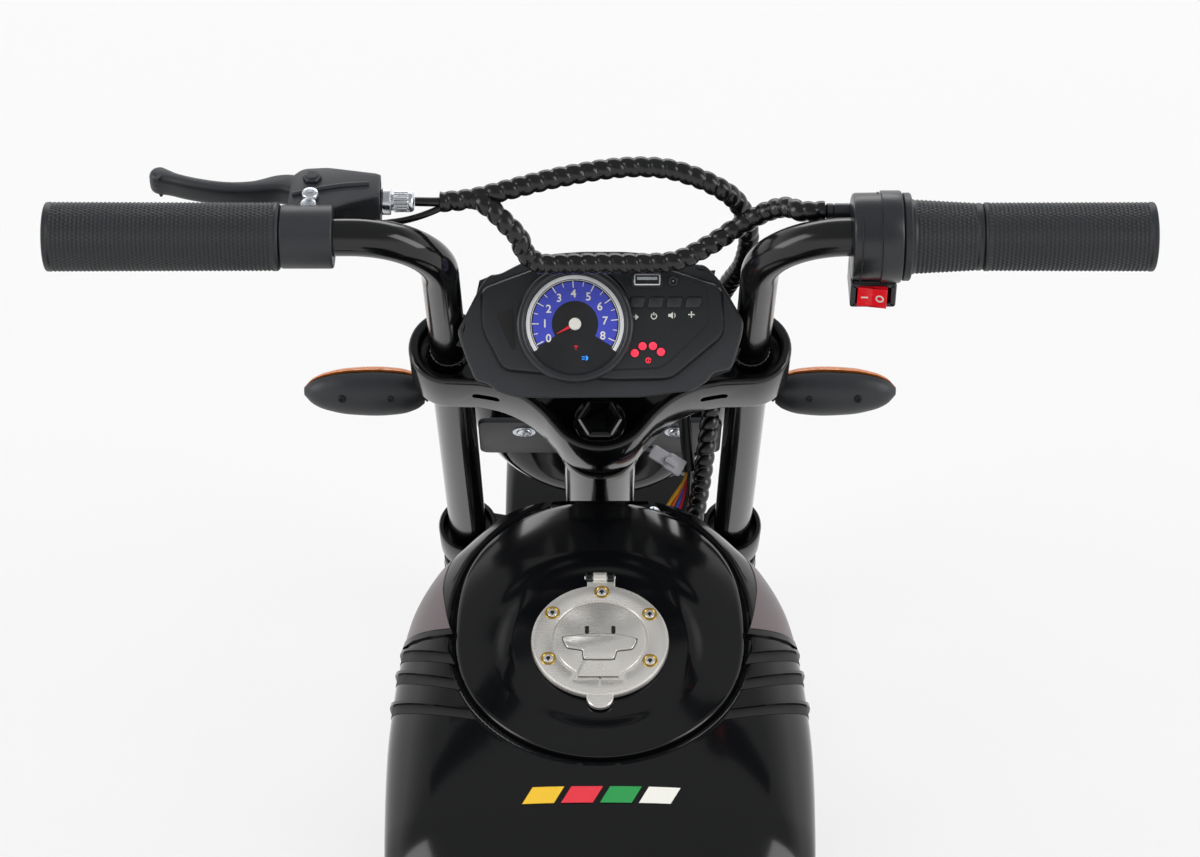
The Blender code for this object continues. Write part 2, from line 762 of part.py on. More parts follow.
CAP_AHEAD = Vector((0.0, cos(CAP_SLOPE), sin(CAP_SLOPE)))
CAP_NORMAL = Vector((0.0, -sin(CAP_SLOPE), cos(CAP_SLOPE)))
CAP_SEAT = Vector((0.0, CAP_CENTRE_Y, tank_height(0.0, CAP_CENTRE_Y)))
CAP_BASE = CAP_SEAT + CAP_NORMAL * CAP_LIFT
CAP_HINGE = CAP_BASE + CAP_AHEAD * (CAP_RADIUS + CAP_HINGE_REACH) + CAP_NORMAL * CAP_HINGE_RISE


def cap_matrix(ahead=0.0, rise=0.0, x=0.0):
    return place_matrix(CAP_BASE + ACROSS * x + CAP_AHEAD * ahead + CAP_NORMAL * rise, ACROSS, CAP_NORMAL)


# Wheels

def make_wheel(prefix, body, centre):
    radius = WHEEL_DIAMETER / 2
    half = TYRE_WIDTH / 2
    seat = radius - TYRE_DEPTH
    tyre_profile = [(seat, RIM_WIDTH / 2), (seat + 10, half - 3), (seat + 22, half),
                    (radius - TYRE_CROWN_DROP, half - 4), (radius - 2, half * 0.5), (radius, 6.0),
                    (radius, -6.0), (radius - 2, -half * 0.5), (radius - TYRE_CROWN_DROP, -half + 4),
                    (seat + 22, -half), (seat + 10, -half + 3), (seat, -RIM_WIDTH / 2)]
    tyre = turned(prefix + "_tyre", tyre_profile, along_x(centre), WHEEL_STEPS, closed=True)
    keep(tyre, body, "tyre_rubber")

    outer = seat - FIT_GAP
    rim = turned(prefix + "_rim", [(outer, RIM_WIDTH / 2), (outer, -RIM_WIDTH / 2),
                                   (outer - RIM_WALL, -RIM_WIDTH / 2), (outer - RIM_WALL - 3, 0.0),
                                   (outer - RIM_WALL, RIM_WIDTH / 2)],
                 along_x(centre), WHEEL_STEPS, closed=True)
    hub = turned(prefix + "_hub", [(HUB_RADIUS - 6, HUB_LENGTH / 2), (HUB_RADIUS, HUB_LENGTH / 4),
                                   (HUB_RADIUS, -HUB_LENGTH / 4), (HUB_RADIUS - 6, -HUB_LENGTH / 2),
                                   (AXLE_RADIUS + FIT_GAP, -HUB_LENGTH / 2),
                                   (AXLE_RADIUS + FIT_GAP, HUB_LENGTH / 2)],
                 along_x(centre), 16, closed=True)
    join(rim, hub)
    inner = HUB_RADIUS - 5
    outer_end = outer - RIM_WALL - 1
    for index in range(RIM_SPOKES):
        angle = 2 * pi * index / RIM_SPOKES + pi / 2
        way = Vector((0.0, cos(angle), sin(angle)))
        middle = centre + way * (inner + outer_end) / 2
        spoke = block(prefix + "_spoke_%d" % index, (SPOKE_THICKNESS, SPOKE_WIDTH, outer_end - inner),
                      place_matrix(middle, ACROSS, way))
        join(rim, spoke)
    keep(rim, body, "rim_plastic")


def make_stabilisers():
    for side, word in ((-1, "left"), (1, "right")):
        centre = Vector((side * STABILISER_TRACK_X, REAR_AXLE.y, STABILISER_WHEEL_RADIUS))
        half = STABILISER_WHEEL_WIDTH / 2
        radius = STABILISER_WHEEL_RADIUS
        bore = STABILISER_AXLE_RADIUS + FIT_GAP
        profile = [(bore, half), (20.0, half), (24.0, half - 6), (radius - 14, half - 6),
                   (radius - 11, half), (radius - 2, half - 1), (radius, half - 5),
                   (radius, -half + 5), (radius - 2, -half + 1), (radius - 11, -half),
                   (radius - 14, -half + 6), (24.0, -half + 6), (20.0, -half), (bore, -half)]
        wheel = turned("stabiliser_wheel_" + word, profile, along_x(centre), 16, closed=True)
        keep(wheel, "stabiliser_wheel_" + word, "tyre_rubber")

        top = Vector((side * (STAY_HALF_SPACING + DROPOUT_THICKNESS / 2 + FIT_GAP + 5.0),
                      REAR_AXLE.y, AXLE_HEIGHT))
        inner_x = side * (STABILISER_TRACK_X - half - 14.0)
        elbow = Vector((inner_x, REAR_AXLE.y, STABILISER_WHEEL_RADIUS))
        path = [top + ACROSS * side * 3.5 - UPWARD * 17.0, Vector((top.x + side * 8, top.y, top.z - 44.0)), elbow,
                Vector((side * (STABILISER_TRACK_X - half - FIT_GAP), centre.y, centre.z))]
        arm = tube("stabiliser_arm_" + word, bent_path(path, 16.0, 3), STABILISER_ARM_RADIUS, 8)
        tab = rod("stabiliser_tab_" + word, top - ACROSS * side * 5.0, top + ACROSS * side * 5.0,
                  DROPOUT_RADIUS - 2, 20)
        spindle = rod("stabiliser_spindle_" + word, elbow + ACROSS * side * 4,
                      centre + ACROSS * side * (half + FIT_GAP + 1), STABILISER_AXLE_RADIUS, 16)
        nut = rod("stabiliser_nut_" + word, centre + ACROSS * side * (half + FIT_GAP),
                  centre + ACROSS * side * (half + 7), 9.0, 6)
        hole = rod("stabiliser_hole_" + word, top - ACROSS * 20, top + ACROSS * 20,
                   AXLE_RADIUS + FIT_GAP, 14)
        join(arm, tab, spindle, nut)
        cut(arm, hole)
        keep(arm, "frame", "gloss_black_paint")


# Frame

def make_frame():
    bottom = CUP_TOP + FIT_GAP + HEAD_CUP_LENGTH
    top = YOKE_BOTTOM - FIT_GAP
    frame = rod("main_frame", stem_point(CUP_TOP + FIT_GAP), stem_point(top), HEAD_TUBE_RADIUS, 16)
    for name, low, high in (("lower", CUP_TOP + FIT_GAP, bottom), ("upper", top - HEAD_CUP_LENGTH, top)):
        join(frame, rod("head_cup_" + name, stem_point(low), stem_point(high), HEAD_TUBE_RADIUS + 2.2, 16))

    backbone = bent_path([stem_point(325.0), (0, BACKBONE_FRONT_Y, BACKBONE_FRONT_Z),
                          (0, BACKBONE_REAR_Y, BACKBONE_REAR_Z)], 60.0)
    join(frame, tube("backbone", backbone, BACKBONE_RADIUS, 10))
    cradle = bent_path([stem_point(225.0), (0, CRADLE_FRONT_Y + 40, 262.0),
                        (0, CRADLE_FRONT_Y, CRADLE_FLOOR_Z), (0, CRADLE_REAR_Y, CRADLE_FLOOR_Z),
                        (0, CRADLE_REAR_Y - 48, 225.0), (0, BACKBONE_REAR_Y, BACKBONE_REAR_Z)], 45.0)
    join(frame, tube("cradle", cradle, CRADLE_RADIUS, 10))

    cross_low = (PEG_START_X - FIT_GAP, CRADLE_REAR_Y - 8.0, CRADLE_FLOOR_Z)
    join(frame, rod("cross_low", (-cross_low[0], *cross_low[1:]), cross_low, CRADLE_RADIUS, 16))
    rail_front = (RAIL_HALF_SPACING, BACKBONE_REAR_Y, BACKBONE_REAR_Z)
    join(frame, rod("cross_high", (-rail_front[0], *rail_front[1:]), rail_front, RAIL_RADIUS + 1, 14))
    cross_mount = (COVER_PANEL_X - FIT_GAP, CRADLE_FRONT_Y - 7, CRADLE_FLOOR_Z + 40)
    join(frame, rod("cross_front", (-cross_mount[0], *cross_mount[1:]), cross_mount, 6.0, 12))
    cross_back = (COVER_PANEL_X - FIT_GAP, CRADLE_REAR_Y - 30, 200.0)
    join(frame, rod("cross_back", (-cross_back[0], *cross_back[1:]), cross_back, 6.0, 12))
    for side in (-1, 1):
        drop = Vector((side * STAY_HALF_SPACING, REAR_AXLE.y, AXLE_HEIGHT))
        low_start = Vector((side * 62.0, cross_low[1], cross_low[2]))
        stay = tube("lower_stay_%d" % side, bent_path([low_start, (side * STAY_HALF_SPACING, -190, 122),
                                                       drop], 30.0, 3), STAY_RADIUS, 8)
        rail_end = Vector((side * RAIL_HALF_SPACING, RAIL_REAR_Y, RAIL_REAR_Z))
        rail_start = Vector((side * (RAIL_HALF_SPACING - 3), BACKBONE_REAR_Y, BACKBONE_REAR_Z))
        rail = tube("rail_%d" % side, [rail_start, rail_end], RAIL_RADIUS, 8)
        share = (UPPER_STAY_TOP_Y - BACKBONE_REAR_Y) / (RAIL_REAR_Y - BACKBONE_REAR_Y)
        stay_top = rail_start.lerp(rail_end, share) - UPWARD * 2
        upper = tube("upper_stay_%d" % side, [drop, stay_top], STAY_RADIUS - 1.0, 8)
        ear = rod("dropout_%d" % side, drop - ACROSS * DROPOUT_THICKNESS / 2,
                  drop + ACROSS * DROPOUT_THICKNESS / 2, DROPOUT_RADIUS, 16)
        join(frame, stay, rail, upper, ear)
    for name, y, half in (("front", 72.0, TANK_MOUNT_FRONT_X), ("rear", -84.0, TANK_MOUNT_REAR_X)):
        at = Vector((0.0, y, interpolate(((BACKBONE_REAR_Y, BACKBONE_REAR_Z),
                                          (BACKBONE_FRONT_Y, BACKBONE_FRONT_Z)), y) + TANK_MOUNT_RISE))
        join(frame, rod("tank_mount_" + name, at - ACROSS * half, at + ACROSS * half, 6.0, 10))
    rail_cross = Vector((RAIL_HALF_SPACING, RAIL_REAR_Y + 10, RAIL_REAR_Z - 1))
    join(frame, rod("cross_tail", (-rail_cross.x, rail_cross.y, rail_cross.z), rail_cross, 7.0, 12))
    bore = rod("head_bore", stem_point(CUP_TOP - 20), stem_point(YOKE_BOTTOM + 20),
               STEM_RADIUS + FIT_GAP, 20)
    axle_hole = rod("dropout_hole", REAR_AXLE - ACROSS * 140, REAR_AXLE + ACROSS * 140,
                    AXLE_RADIUS + FIT_GAP, 14)
    cut(frame, bore, axle_hole)
    for side in (-1, 1):
        outer_face = side * (STAY_HALF_SPACING + DROPOUT_THICKNESS / 2)
        inner_face = side * (STAY_HALF_SPACING - DROPOUT_THICKNESS / 2)
        cut(frame, rod("tab_seat_%d" % side, REAR_AXLE + ACROSS * outer_face,
                       REAR_AXLE + ACROSS * (outer_face + side * 30), DROPOUT_RADIUS + 1, 20))
        cut(frame, rod("spacer_seat_%d" % side, REAR_AXLE + ACROSS * (inner_face - side * 30),
                       REAR_AXLE + ACROSS * inner_face, 12.0, 16))
    keep(frame, "frame", "gloss_black_paint")


def make_rear_axle():
    outer = STAY_HALF_SPACING + DROPOUT_THICKNESS / 2 + 10.0 + 2 * FIT_GAP
    inner = HUB_LENGTH / 2 + FIT_GAP
    washer = STAY_HALF_SPACING - DROPOUT_THICKNESS / 2 - FIT_GAP
    gearbox_end = inner + GEARBOX_LENGTH + 2 * FIT_GAP + 2
    axle = rod("rear_axle", REAR_AXLE - ACROSS * (outer + 9), REAR_AXLE + ACROSS * (outer + 9),
               AXLE_RADIUS, 14)
    join(axle, rod("rear_nut_left", REAR_AXLE - ACROSS * (outer + 7), REAR_AXLE - ACROSS * outer, 10.0, 6))
    join(axle, rod("rear_nut_right", REAR_AXLE + ACROSS * outer, REAR_AXLE + ACROSS * (outer + 7), 10.0, 6))
    join(axle, rod("rear_spacer_right", REAR_AXLE + ACROSS * inner, REAR_AXLE + ACROSS * washer, 9.0, 12))
    join(axle, rod("rear_spacer_left", REAR_AXLE - ACROSS * washer,
                   REAR_AXLE - ACROSS * gearbox_end, 9.0, 12))
    keep(axle, "frame", "zinc_steel")

    start = REAR_AXLE - ACROSS * (inner + FIT_GAP + 1)
    end = start - ACROSS * GEARBOX_LENGTH
    box = rod("gear_motor", start, end, GEARBOX_RADIUS, 20)
    bevel(box, 2.5, 1)
    motor_side = Vector((0.0, 0.62, 0.78)).normalized() * MOTOR_OFFSET
    bridge = block("gear_bridge", (GEARBOX_LENGTH, 40.0, MOTOR_OFFSET),
                   place_matrix((start + end) / 2 + motor_side / 2, ACROSS, motor_side))
    can = rod("motor_can", start + motor_side, end + motor_side - ACROSS * (MOTOR_LENGTH - GEARBOX_LENGTH) * 0.3,
              MOTOR_RADIUS, 20)
    join(box, bridge, can)
    cut(box, rod("gearbox_bore", start + ACROSS * 30, end - ACROSS * 30, AXLE_RADIUS + FIT_GAP, 14))
    keep(box, "frame", "satin_black_plastic")


def make_footpegs():
    start_x = PEG_START_X
    for side, word in ((-1, "left"), (1, "right")):
        profile = [(0.0, PEG_END_X), (PEG_RADIUS + 2, PEG_END_X), (PEG_RADIUS + 2, PEG_END_X - 5),
                   (PEG_RADIUS, PEG_END_X - 8), (PEG_RADIUS, start_x + 14), (PEG_RADIUS + 2, start_x + 10),
                   (PEG_RADIUS + 2, start_x), (0.0, start_x)]
        base = Vector((0.0, CRADLE_REAR_Y - 8.0, CRADLE_FLOOR_Z))
        peg = turned("footpeg_" + word, profile, place_matrix(base, UPWARD, ACROSS * side), 14)
        keep(peg, "frame", "grip_rubber")


def make_battery_and_covers():
    floor = CRADLE_FLOOR_Z + CRADLE_RADIUS + FIT_GAP
    centre = Vector((0, BATTERY_CENTRE_Y, floor + BATTERY_HEIGHT / 2))
    pack = block("battery_pack", (BATTERY_WIDTH, BATTERY_LENGTH, BATTERY_HEIGHT), upright(centre))
    bevel(pack, 3.0, 1)
    keep(pack, "frame", "battery_case")

    outline = [(-150, 150), (-165, 205), (-150, 262), (-96, 318), (-20, 338), (60, 336), (120, 312),
               (152, 262), (163, 190), (150, 132), (96, 112), (-30, 112), (-92, 140)]
    ring = [(y, z) for y, z in outline]
    for side, word in ((-1, "left"), (1, "right")):
        rows = []
        centre_y = sum(y for y, z in ring) / len(ring)
        centre_z = sum(z for y, z in ring) / len(ring)
        for share in (1.0, 0.8, 0.5, 0.18):
            bow = COVER_PANEL_BOW * (1.0 - share ** 3)
            x = side * (COVER_PANEL_X + COVER_PANEL_THICKNESS + bow)
            rows.append([(x, centre_y + (y - centre_y) * share, centre_z + (z - centre_z) * share)
                         for y, z in ring])
        back = [(side * COVER_PANEL_X, y, z) for y, z in ring]
        cover = loft("side_cover_" + word, [back] + rows)
        keep(cover, "frame", "satin_black_plastic")

    top = interpolate(((BACKBONE_REAR_Y, BACKBONE_REAR_Z), (BACKBONE_FRONT_Y, BACKBONE_FRONT_Z)),
                      BOX_FRONT_Y - BOX_LENGTH)
    floor = max(top, BACKBONE_FRONT_Z + 3.0) + BACKBONE_RADIUS + FIT_GAP
    box = block("control_box", (BOX_WIDTH, BOX_LENGTH, BOX_HEIGHT),
                upright((0.0, BOX_FRONT_Y - BOX_LENGTH / 2, floor + BOX_HEIGHT / 2)))
    bevel(box, 2.0, 1)
    keep(box, "frame", "satin_black_plastic")
    return floor


# Tank

def make_tank():
    y_first = TANK_HALF_WIDTHS[0][0]
    y_last = TANK_HALF_WIDTHS[-1][0]
    rings = []
    for i in range(TANK_STATIONS):
        share = i / (TANK_STATIONS - 1)
        y = y_first + (y_last - y_first) * sin(share * pi / 2) ** 1.15
        width = tank_half_width(y)
        side = interpolate(TANK_SIDE_LEVELS, y)
        ring = []
        for skirt in (1.0, 0.5):
            ring.append((-width * (1.0 - TANK_TUCK * skirt ** 2), y, side - TANK_SKIRT * skirt))
        for j in range(2 * TANK_SECTION_STEPS + 1):
            angle = pi * j / (2 * TANK_SECTION_STEPS)
            x = -width * abs(cos(angle)) ** (2 / TANK_SQUARENESS) * (1 if cos(angle) > 0 else -1)
            ring.append((x, y, shell_height(x, y)))
        for skirt in (0.5, 1.0):
            ring.append((width * (1.0 - TANK_TUCK * skirt ** 2), y, side - TANK_SKIRT * skirt))
        rings.append(ring)
    front = rings[-1]
    middle = Vector((0.0, y_last - TANK_FRONT_LEAN, TANK_FRONT_CENTRE_Z))
    for share, lean in ((0.93, 0.25), (0.45, 0.8), (0.04, 1.0)):
        rings.append([(x * share, y - TANK_FRONT_LEAN * lean, middle.z + (z - middle.z) * share)
                      for x, y, z in front])
    shell = skin("tank_shell", rings, TANK_WALL)
    for name, x, y in (("left", -COVER_BOSS_X, COVER_WIDEST_Y), ("right", COVER_BOSS_X, COVER_WIDEST_Y),
                       ("rear", 0.0, COVER_REAR_Y + 12.0)):
        low = Vector((x, y, shell_height(x, y) - TANK_WALL))
        high = Vector((x, y, tank_height(x, y) - COVER_THICKNESS - COVER_BOSS_GAP))
        join(shell, rod("cover_boss_" + name, low, high, COVER_BOSS_RADIUS, 12))
    cut(shell, rod("socket_clearance", CAP_SEAT - CAP_NORMAL * 40, CAP_SEAT + CAP_NORMAL * 30,
                   SOCKET_CUP_RADIUS + 1.5, 28))
    cut(shell, block("front_opening", (2 * TANK_OPENING_HALF_WIDTH, 60.0, 160.0),
                     upright((0.0, y_last - 5.0, TANK_OPENING_TOP - 80.0))))
    keep(shell, "frame", "gloss_black_shell")

    rows = []
    count = 28
    for share in (0.0, 0.22, 0.5, 0.8, 1.0):
        row = []
        for i in range(count):
            angle = 2 * pi * i / count
            ox, oy = cover_outline(angle)
            hx = CAP_HOLE_RADIUS * cos(angle)
            hy = CAP_CENTRE_Y + CAP_HOLE_RADIUS * sin(angle)
            x = hx + (ox - hx) * share
            y = hy + (oy - hy) * share
            row.append((x, y, tank_height(x, y)))
        rows.append(row)
    cover = skin("tank_cover", rows, COVER_THICKNESS, ring_closed=True, offset=1.0)
    keep(cover, "frame", "gloss_black_shell")

    wall = SOCKET_WALL
    inner = SOCKET_CUP_RADIUS - wall
    profile = [(0.0, -SOCKET_CUP_DEPTH + wall), (inner, -SOCKET_CUP_DEPTH + wall), (inner, 0.0),
               (SOCKET_FLANGE_RADIUS, 0.0), (SOCKET_FLANGE_RADIUS, -wall), (SOCKET_CUP_RADIUS, -wall),
               (SOCKET_CUP_RADIUS, -SOCKET_CUP_DEPTH), (0.0, -SOCKET_CUP_DEPTH)]
    sunk = COVER_THICKNESS + COVER_LIFT + TANK_WALL + SOCKET_DROP
    socket = turned("charge_socket", profile, cap_matrix(0.0, -CAP_LIFT - sunk), 24)
    keep(socket, "frame", "satin_black_plastic")


def make_cap():
    lid = turned("cap_lid", [(0.0, CAP_THICKNESS), (CAP_RADIUS - 3.0, CAP_THICKNESS),
                             (CAP_RADIUS - 0.6, CAP_THICKNESS - 0.9), (CAP_RADIUS, CAP_THICKNESS - 2.2),
                             (CAP_RADIUS, 0.0), (0.0, 0.0)], cap_matrix(), 28)
    tab = block("cap_tab", (CAP_TAB_WIDTH, CAP_TAB_REACH + 6, CAP_THICKNESS - 1.6),
                cap_matrix(-CAP_RADIUS - CAP_TAB_REACH / 2 + 3, CAP_THICKNESS / 2 - 0.4))
    neck = block("cap_neck", (CAP_KNUCKLE_WIDTH, CAP_HINGE_REACH + 4, CAP_THICKNESS - 1.2),
                 cap_matrix(CAP_RADIUS + CAP_HINGE_REACH / 2 - 2, CAP_THICKNESS / 2 + 0.4))
    half = CAP_KNUCKLE_WIDTH / 2
    knuckle = rod("cap_knuckle", CAP_HINGE - ACROSS * half, CAP_HINGE + ACROSS * half,
                  CAP_KNUCKLE_RADIUS, 16)
    bore = rod("cap_knuckle_bore", CAP_HINGE - ACROSS * 20, CAP_HINGE + ACROSS * 20,
               CAP_PIN_RADIUS + FIT_GAP, 12)
    join(lid, tab, neck, knuckle)
    cut(lid, bore)
    keep(lid, "cap_lid", "bright_chrome")

    ear_in = half + FIT_GAP
    pin = rod("cap_hinge", CAP_HINGE - ACROSS * (ear_in + 1), CAP_HINGE + ACROSS * (ear_in + 1),
              CAP_PIN_RADIUS, 12)
    foot_rise = CAP_LIFT + CAP_HINGE_RISE - FIT_GAP
    for side in (-1, 1):
        inner = CAP_HINGE + ACROSS * side * ear_in
        ear = rod("cap_ear_%d" % side, inner, inner + ACROSS * side * CAP_EAR_WIDTH, CAP_KNUCKLE_RADIUS, 14)
        leg = block("cap_ear_leg_%d" % side, (CAP_EAR_WIDTH, 2 * CAP_KNUCKLE_RADIUS, foot_rise),
                    place_matrix(inner + ACROSS * side * CAP_EAR_WIDTH / 2 - CAP_NORMAL * foot_rise / 2,
                                 ACROSS, CAP_NORMAL))
        join(pin, ear, leg)
    keep(pin, "frame", "bright_chrome")


# Seat and tail

def seat_ring(y, half_width, bottom, top, crown):
    """One cross-section of the seat: flat underneath, sides drawn in and a crowned top."""
    middle = bottom + (top - bottom) * 0.45
    return [(-half_width * 0.93, y, bottom), (-half_width, y, middle), (-half_width * 0.82, y, top - crown * 0.7),
            (0.0, y, top), (half_width * 0.82, y, top - crown * 0.7), (half_width, y, middle),
            (half_width * 0.93, y, bottom), (0.0, y, bottom)]


def make_seat():
    rail_slope = (RAIL_REAR_Z - BACKBONE_REAR_Z) / (RAIL_REAR_Y - BACKBONE_REAR_Y)
    angle = atan2(rail_slope, 1.0)
    along = Vector((0.0, cos(angle), sin(angle)))
    normal = Vector((0.0, -sin(angle), cos(angle)))
    rail_front = Vector((0.0, BACKBONE_REAR_Y, BACKBONE_REAR_Z))
    length = (SEAT_FRONT_Y - SEAT_REAR_Y) / cos(angle)
    offset = (SEAT_FRONT_Y - BACKBONE_REAR_Y) / cos(angle)
    base = rail_front + along * offset + normal * (BACKBONE_RADIUS + 0.5)
    place = place_matrix(base, ACROSS, normal)
    nose = SEAT_NOSE_HALF_WIDTH
    wide = SEAT_HALF_WIDTH
    outline = [(-nose, 0), (nose, 0), (nose + 14, -60), (wide, -150), (wide - 4, -length + 30),
               (wide - 30, -length), (-wide + 30, -length), (-wide + 4, -length + 30), (-wide, -150),
               (-nose - 14, -60)]
    pan_place = place @ Matrix.Translation((0, 0, SEAT_PAN_THICKNESS / 2 * MM))
    pan = plate("seat_pan", outline, SEAT_PAN_THICKNESS, pan_place)
    keep(pan, "frame", "satin_black_plastic")

    bottom = SEAT_PAN_THICKNESS + 2 * FIT_GAP
    top = bottom + SEAT_THICKNESS
    stations = ((-2.0, nose * 0.8, top - 26, 8), (-14.0, nose, top - 10, 10), (-60.0, nose + 16, top, 12),
                (-150.0, wide + 2, top, 12), (-length + 60, wide, top + SEAT_KICK_UP, 14),
                (-length + 18, wide - 8, top + SEAT_KICK_UP, 16), (-length + 2, wide - 26, top - 12, 12))
    rings = [seat_ring(y, w, bottom, t, c) for y, w, t, c in stations]
    cushion = loft("seat_cushion", rings, place)
    soft = cushion.modifiers.new("soft", "SUBSURF")
    soft.levels = 2
    soft.render_levels = 2
    keep(cushion, "frame", "seat_vinyl")


def fender_rows(centre, start_deg, end_deg, radius, steps):
    """Rows across an arched fender whose edges turn in towards the wheel."""
    rows = []
    half = FENDER_WIDTH / 2
    across = ((-half, 14.0), (-half, 6.0), (-half * 0.78, 2.0), (0.0, 0.0),
              (half * 0.78, 2.0), (half, 6.0), (half, 14.0))
    for i in range(steps + 1):
        angle = radians(start_deg + (end_deg - start_deg) * i / steps)
        row = []
        for x, drop in across:
            reach = radius - drop
            row.append((x, centre.y + reach * cos(angle), centre.z + reach * sin(angle)))
        rows.append(row)
    return rows


def make_fenders():
    front = skin("front_fender", fender_rows(FRONT_AXLE, FRONT_FENDER_AHEAD_DEG, FRONT_FENDER_BEHIND_DEG,
                                             FENDER_RADIUS, 12), FENDER_THICKNESS, offset=1.0)
    inner_x = FORK_HALF_SPACING - FORK_LEG_RADIUS - FIT_GAP
    for side in (-1, 1):
        low = fork_point(side * (FENDER_WIDTH / 2 - 1.5), FORK_LEG_TOP - 2.0)
        high = fork_point(side * inner_x, FORK_LEG_TOP - 2.0)
        tab = block("fender_tab_%d" % side, (abs(high.x - low.x), 8.0, FENDER_TAB_HEIGHT),
                    place_matrix((low + high) / 2, ACROSS, FORK_UP))
        join(front, tab)
    keep(front, "steering", "gloss_black_shell")

    rear = skin("rear_fender", fender_rows(REAR_AXLE, REAR_FENDER_FRONT_DEG, REAR_FENDER_REAR_DEG,
                                           FENDER_RADIUS, 12), FENDER_THICKNESS, offset=1.0)
    cross = Vector((0.0, RAIL_REAR_Y + 10, RAIL_REAR_Z - 1))
    low = REAR_AXLE + Vector((0.0, cross.y - REAR_AXLE.y, FENDER_RADIUS - 14.0))
    height = cross.z - 7.0 - FIT_GAP - low.z
    strut = block("fender_strut", (36.0, 8.0, height), upright((0.0, cross.y, low.z + height / 2)))
    join(rear, strut)
    keep(rear, "frame", "gloss_black_shell")

    lamp_top = Vector((0.0, RAIL_REAR_Y + 10 - 7.0 - FIT_GAP - TAIL_LAMP_DEPTH / 2, RAIL_REAR_Z - 4))
    lamp = block("tail_lamp", (TAIL_LAMP_WIDTH, TAIL_LAMP_DEPTH, TAIL_LAMP_HEIGHT),
                 upright(lamp_top - UPWARD * 1.0))
    bevel(lamp, 5.0, 1)
    keep(lamp, "frame", "lens_red")


# Steering group

def yoke_outline(inset=0.0):
    """Plan of the upper yoke: two round lobes, swept back to the stem on the rider's side."""
    lobe = YOKE_LOBE_RADIUS - inset
    spacing = FORK_HALF_SPACING
    back = STEM_SETBACK + YOKE_STEM_REACH - inset
    rear = [(0.0, -back), (9.0, -back + 1.6), (18.5 - inset * 0.6, -back + 7.0 + inset * 0.3),
            (26.0 - inset * 0.8, -43.5 + inset * 0.8), (31.0 - inset * 0.9, -37.5 + inset * 0.9),
            (40.0 - inset * 0.6, -30.0 + inset), (52.0, -24.2 + inset), (64.0, -21.6 + inset)]
    lobe_arc = arc_points((spacing, 0.0), lobe, -90.0, 116.0, 8)
    front = [(60.0, YOKE_FRONT - inset), (30.0, YOKE_FRONT - inset)]
    half = rear + lobe_arc + front
    mirror = [(-x, y) for x, y in reversed(half) if x > 0.0]
    return half + mirror


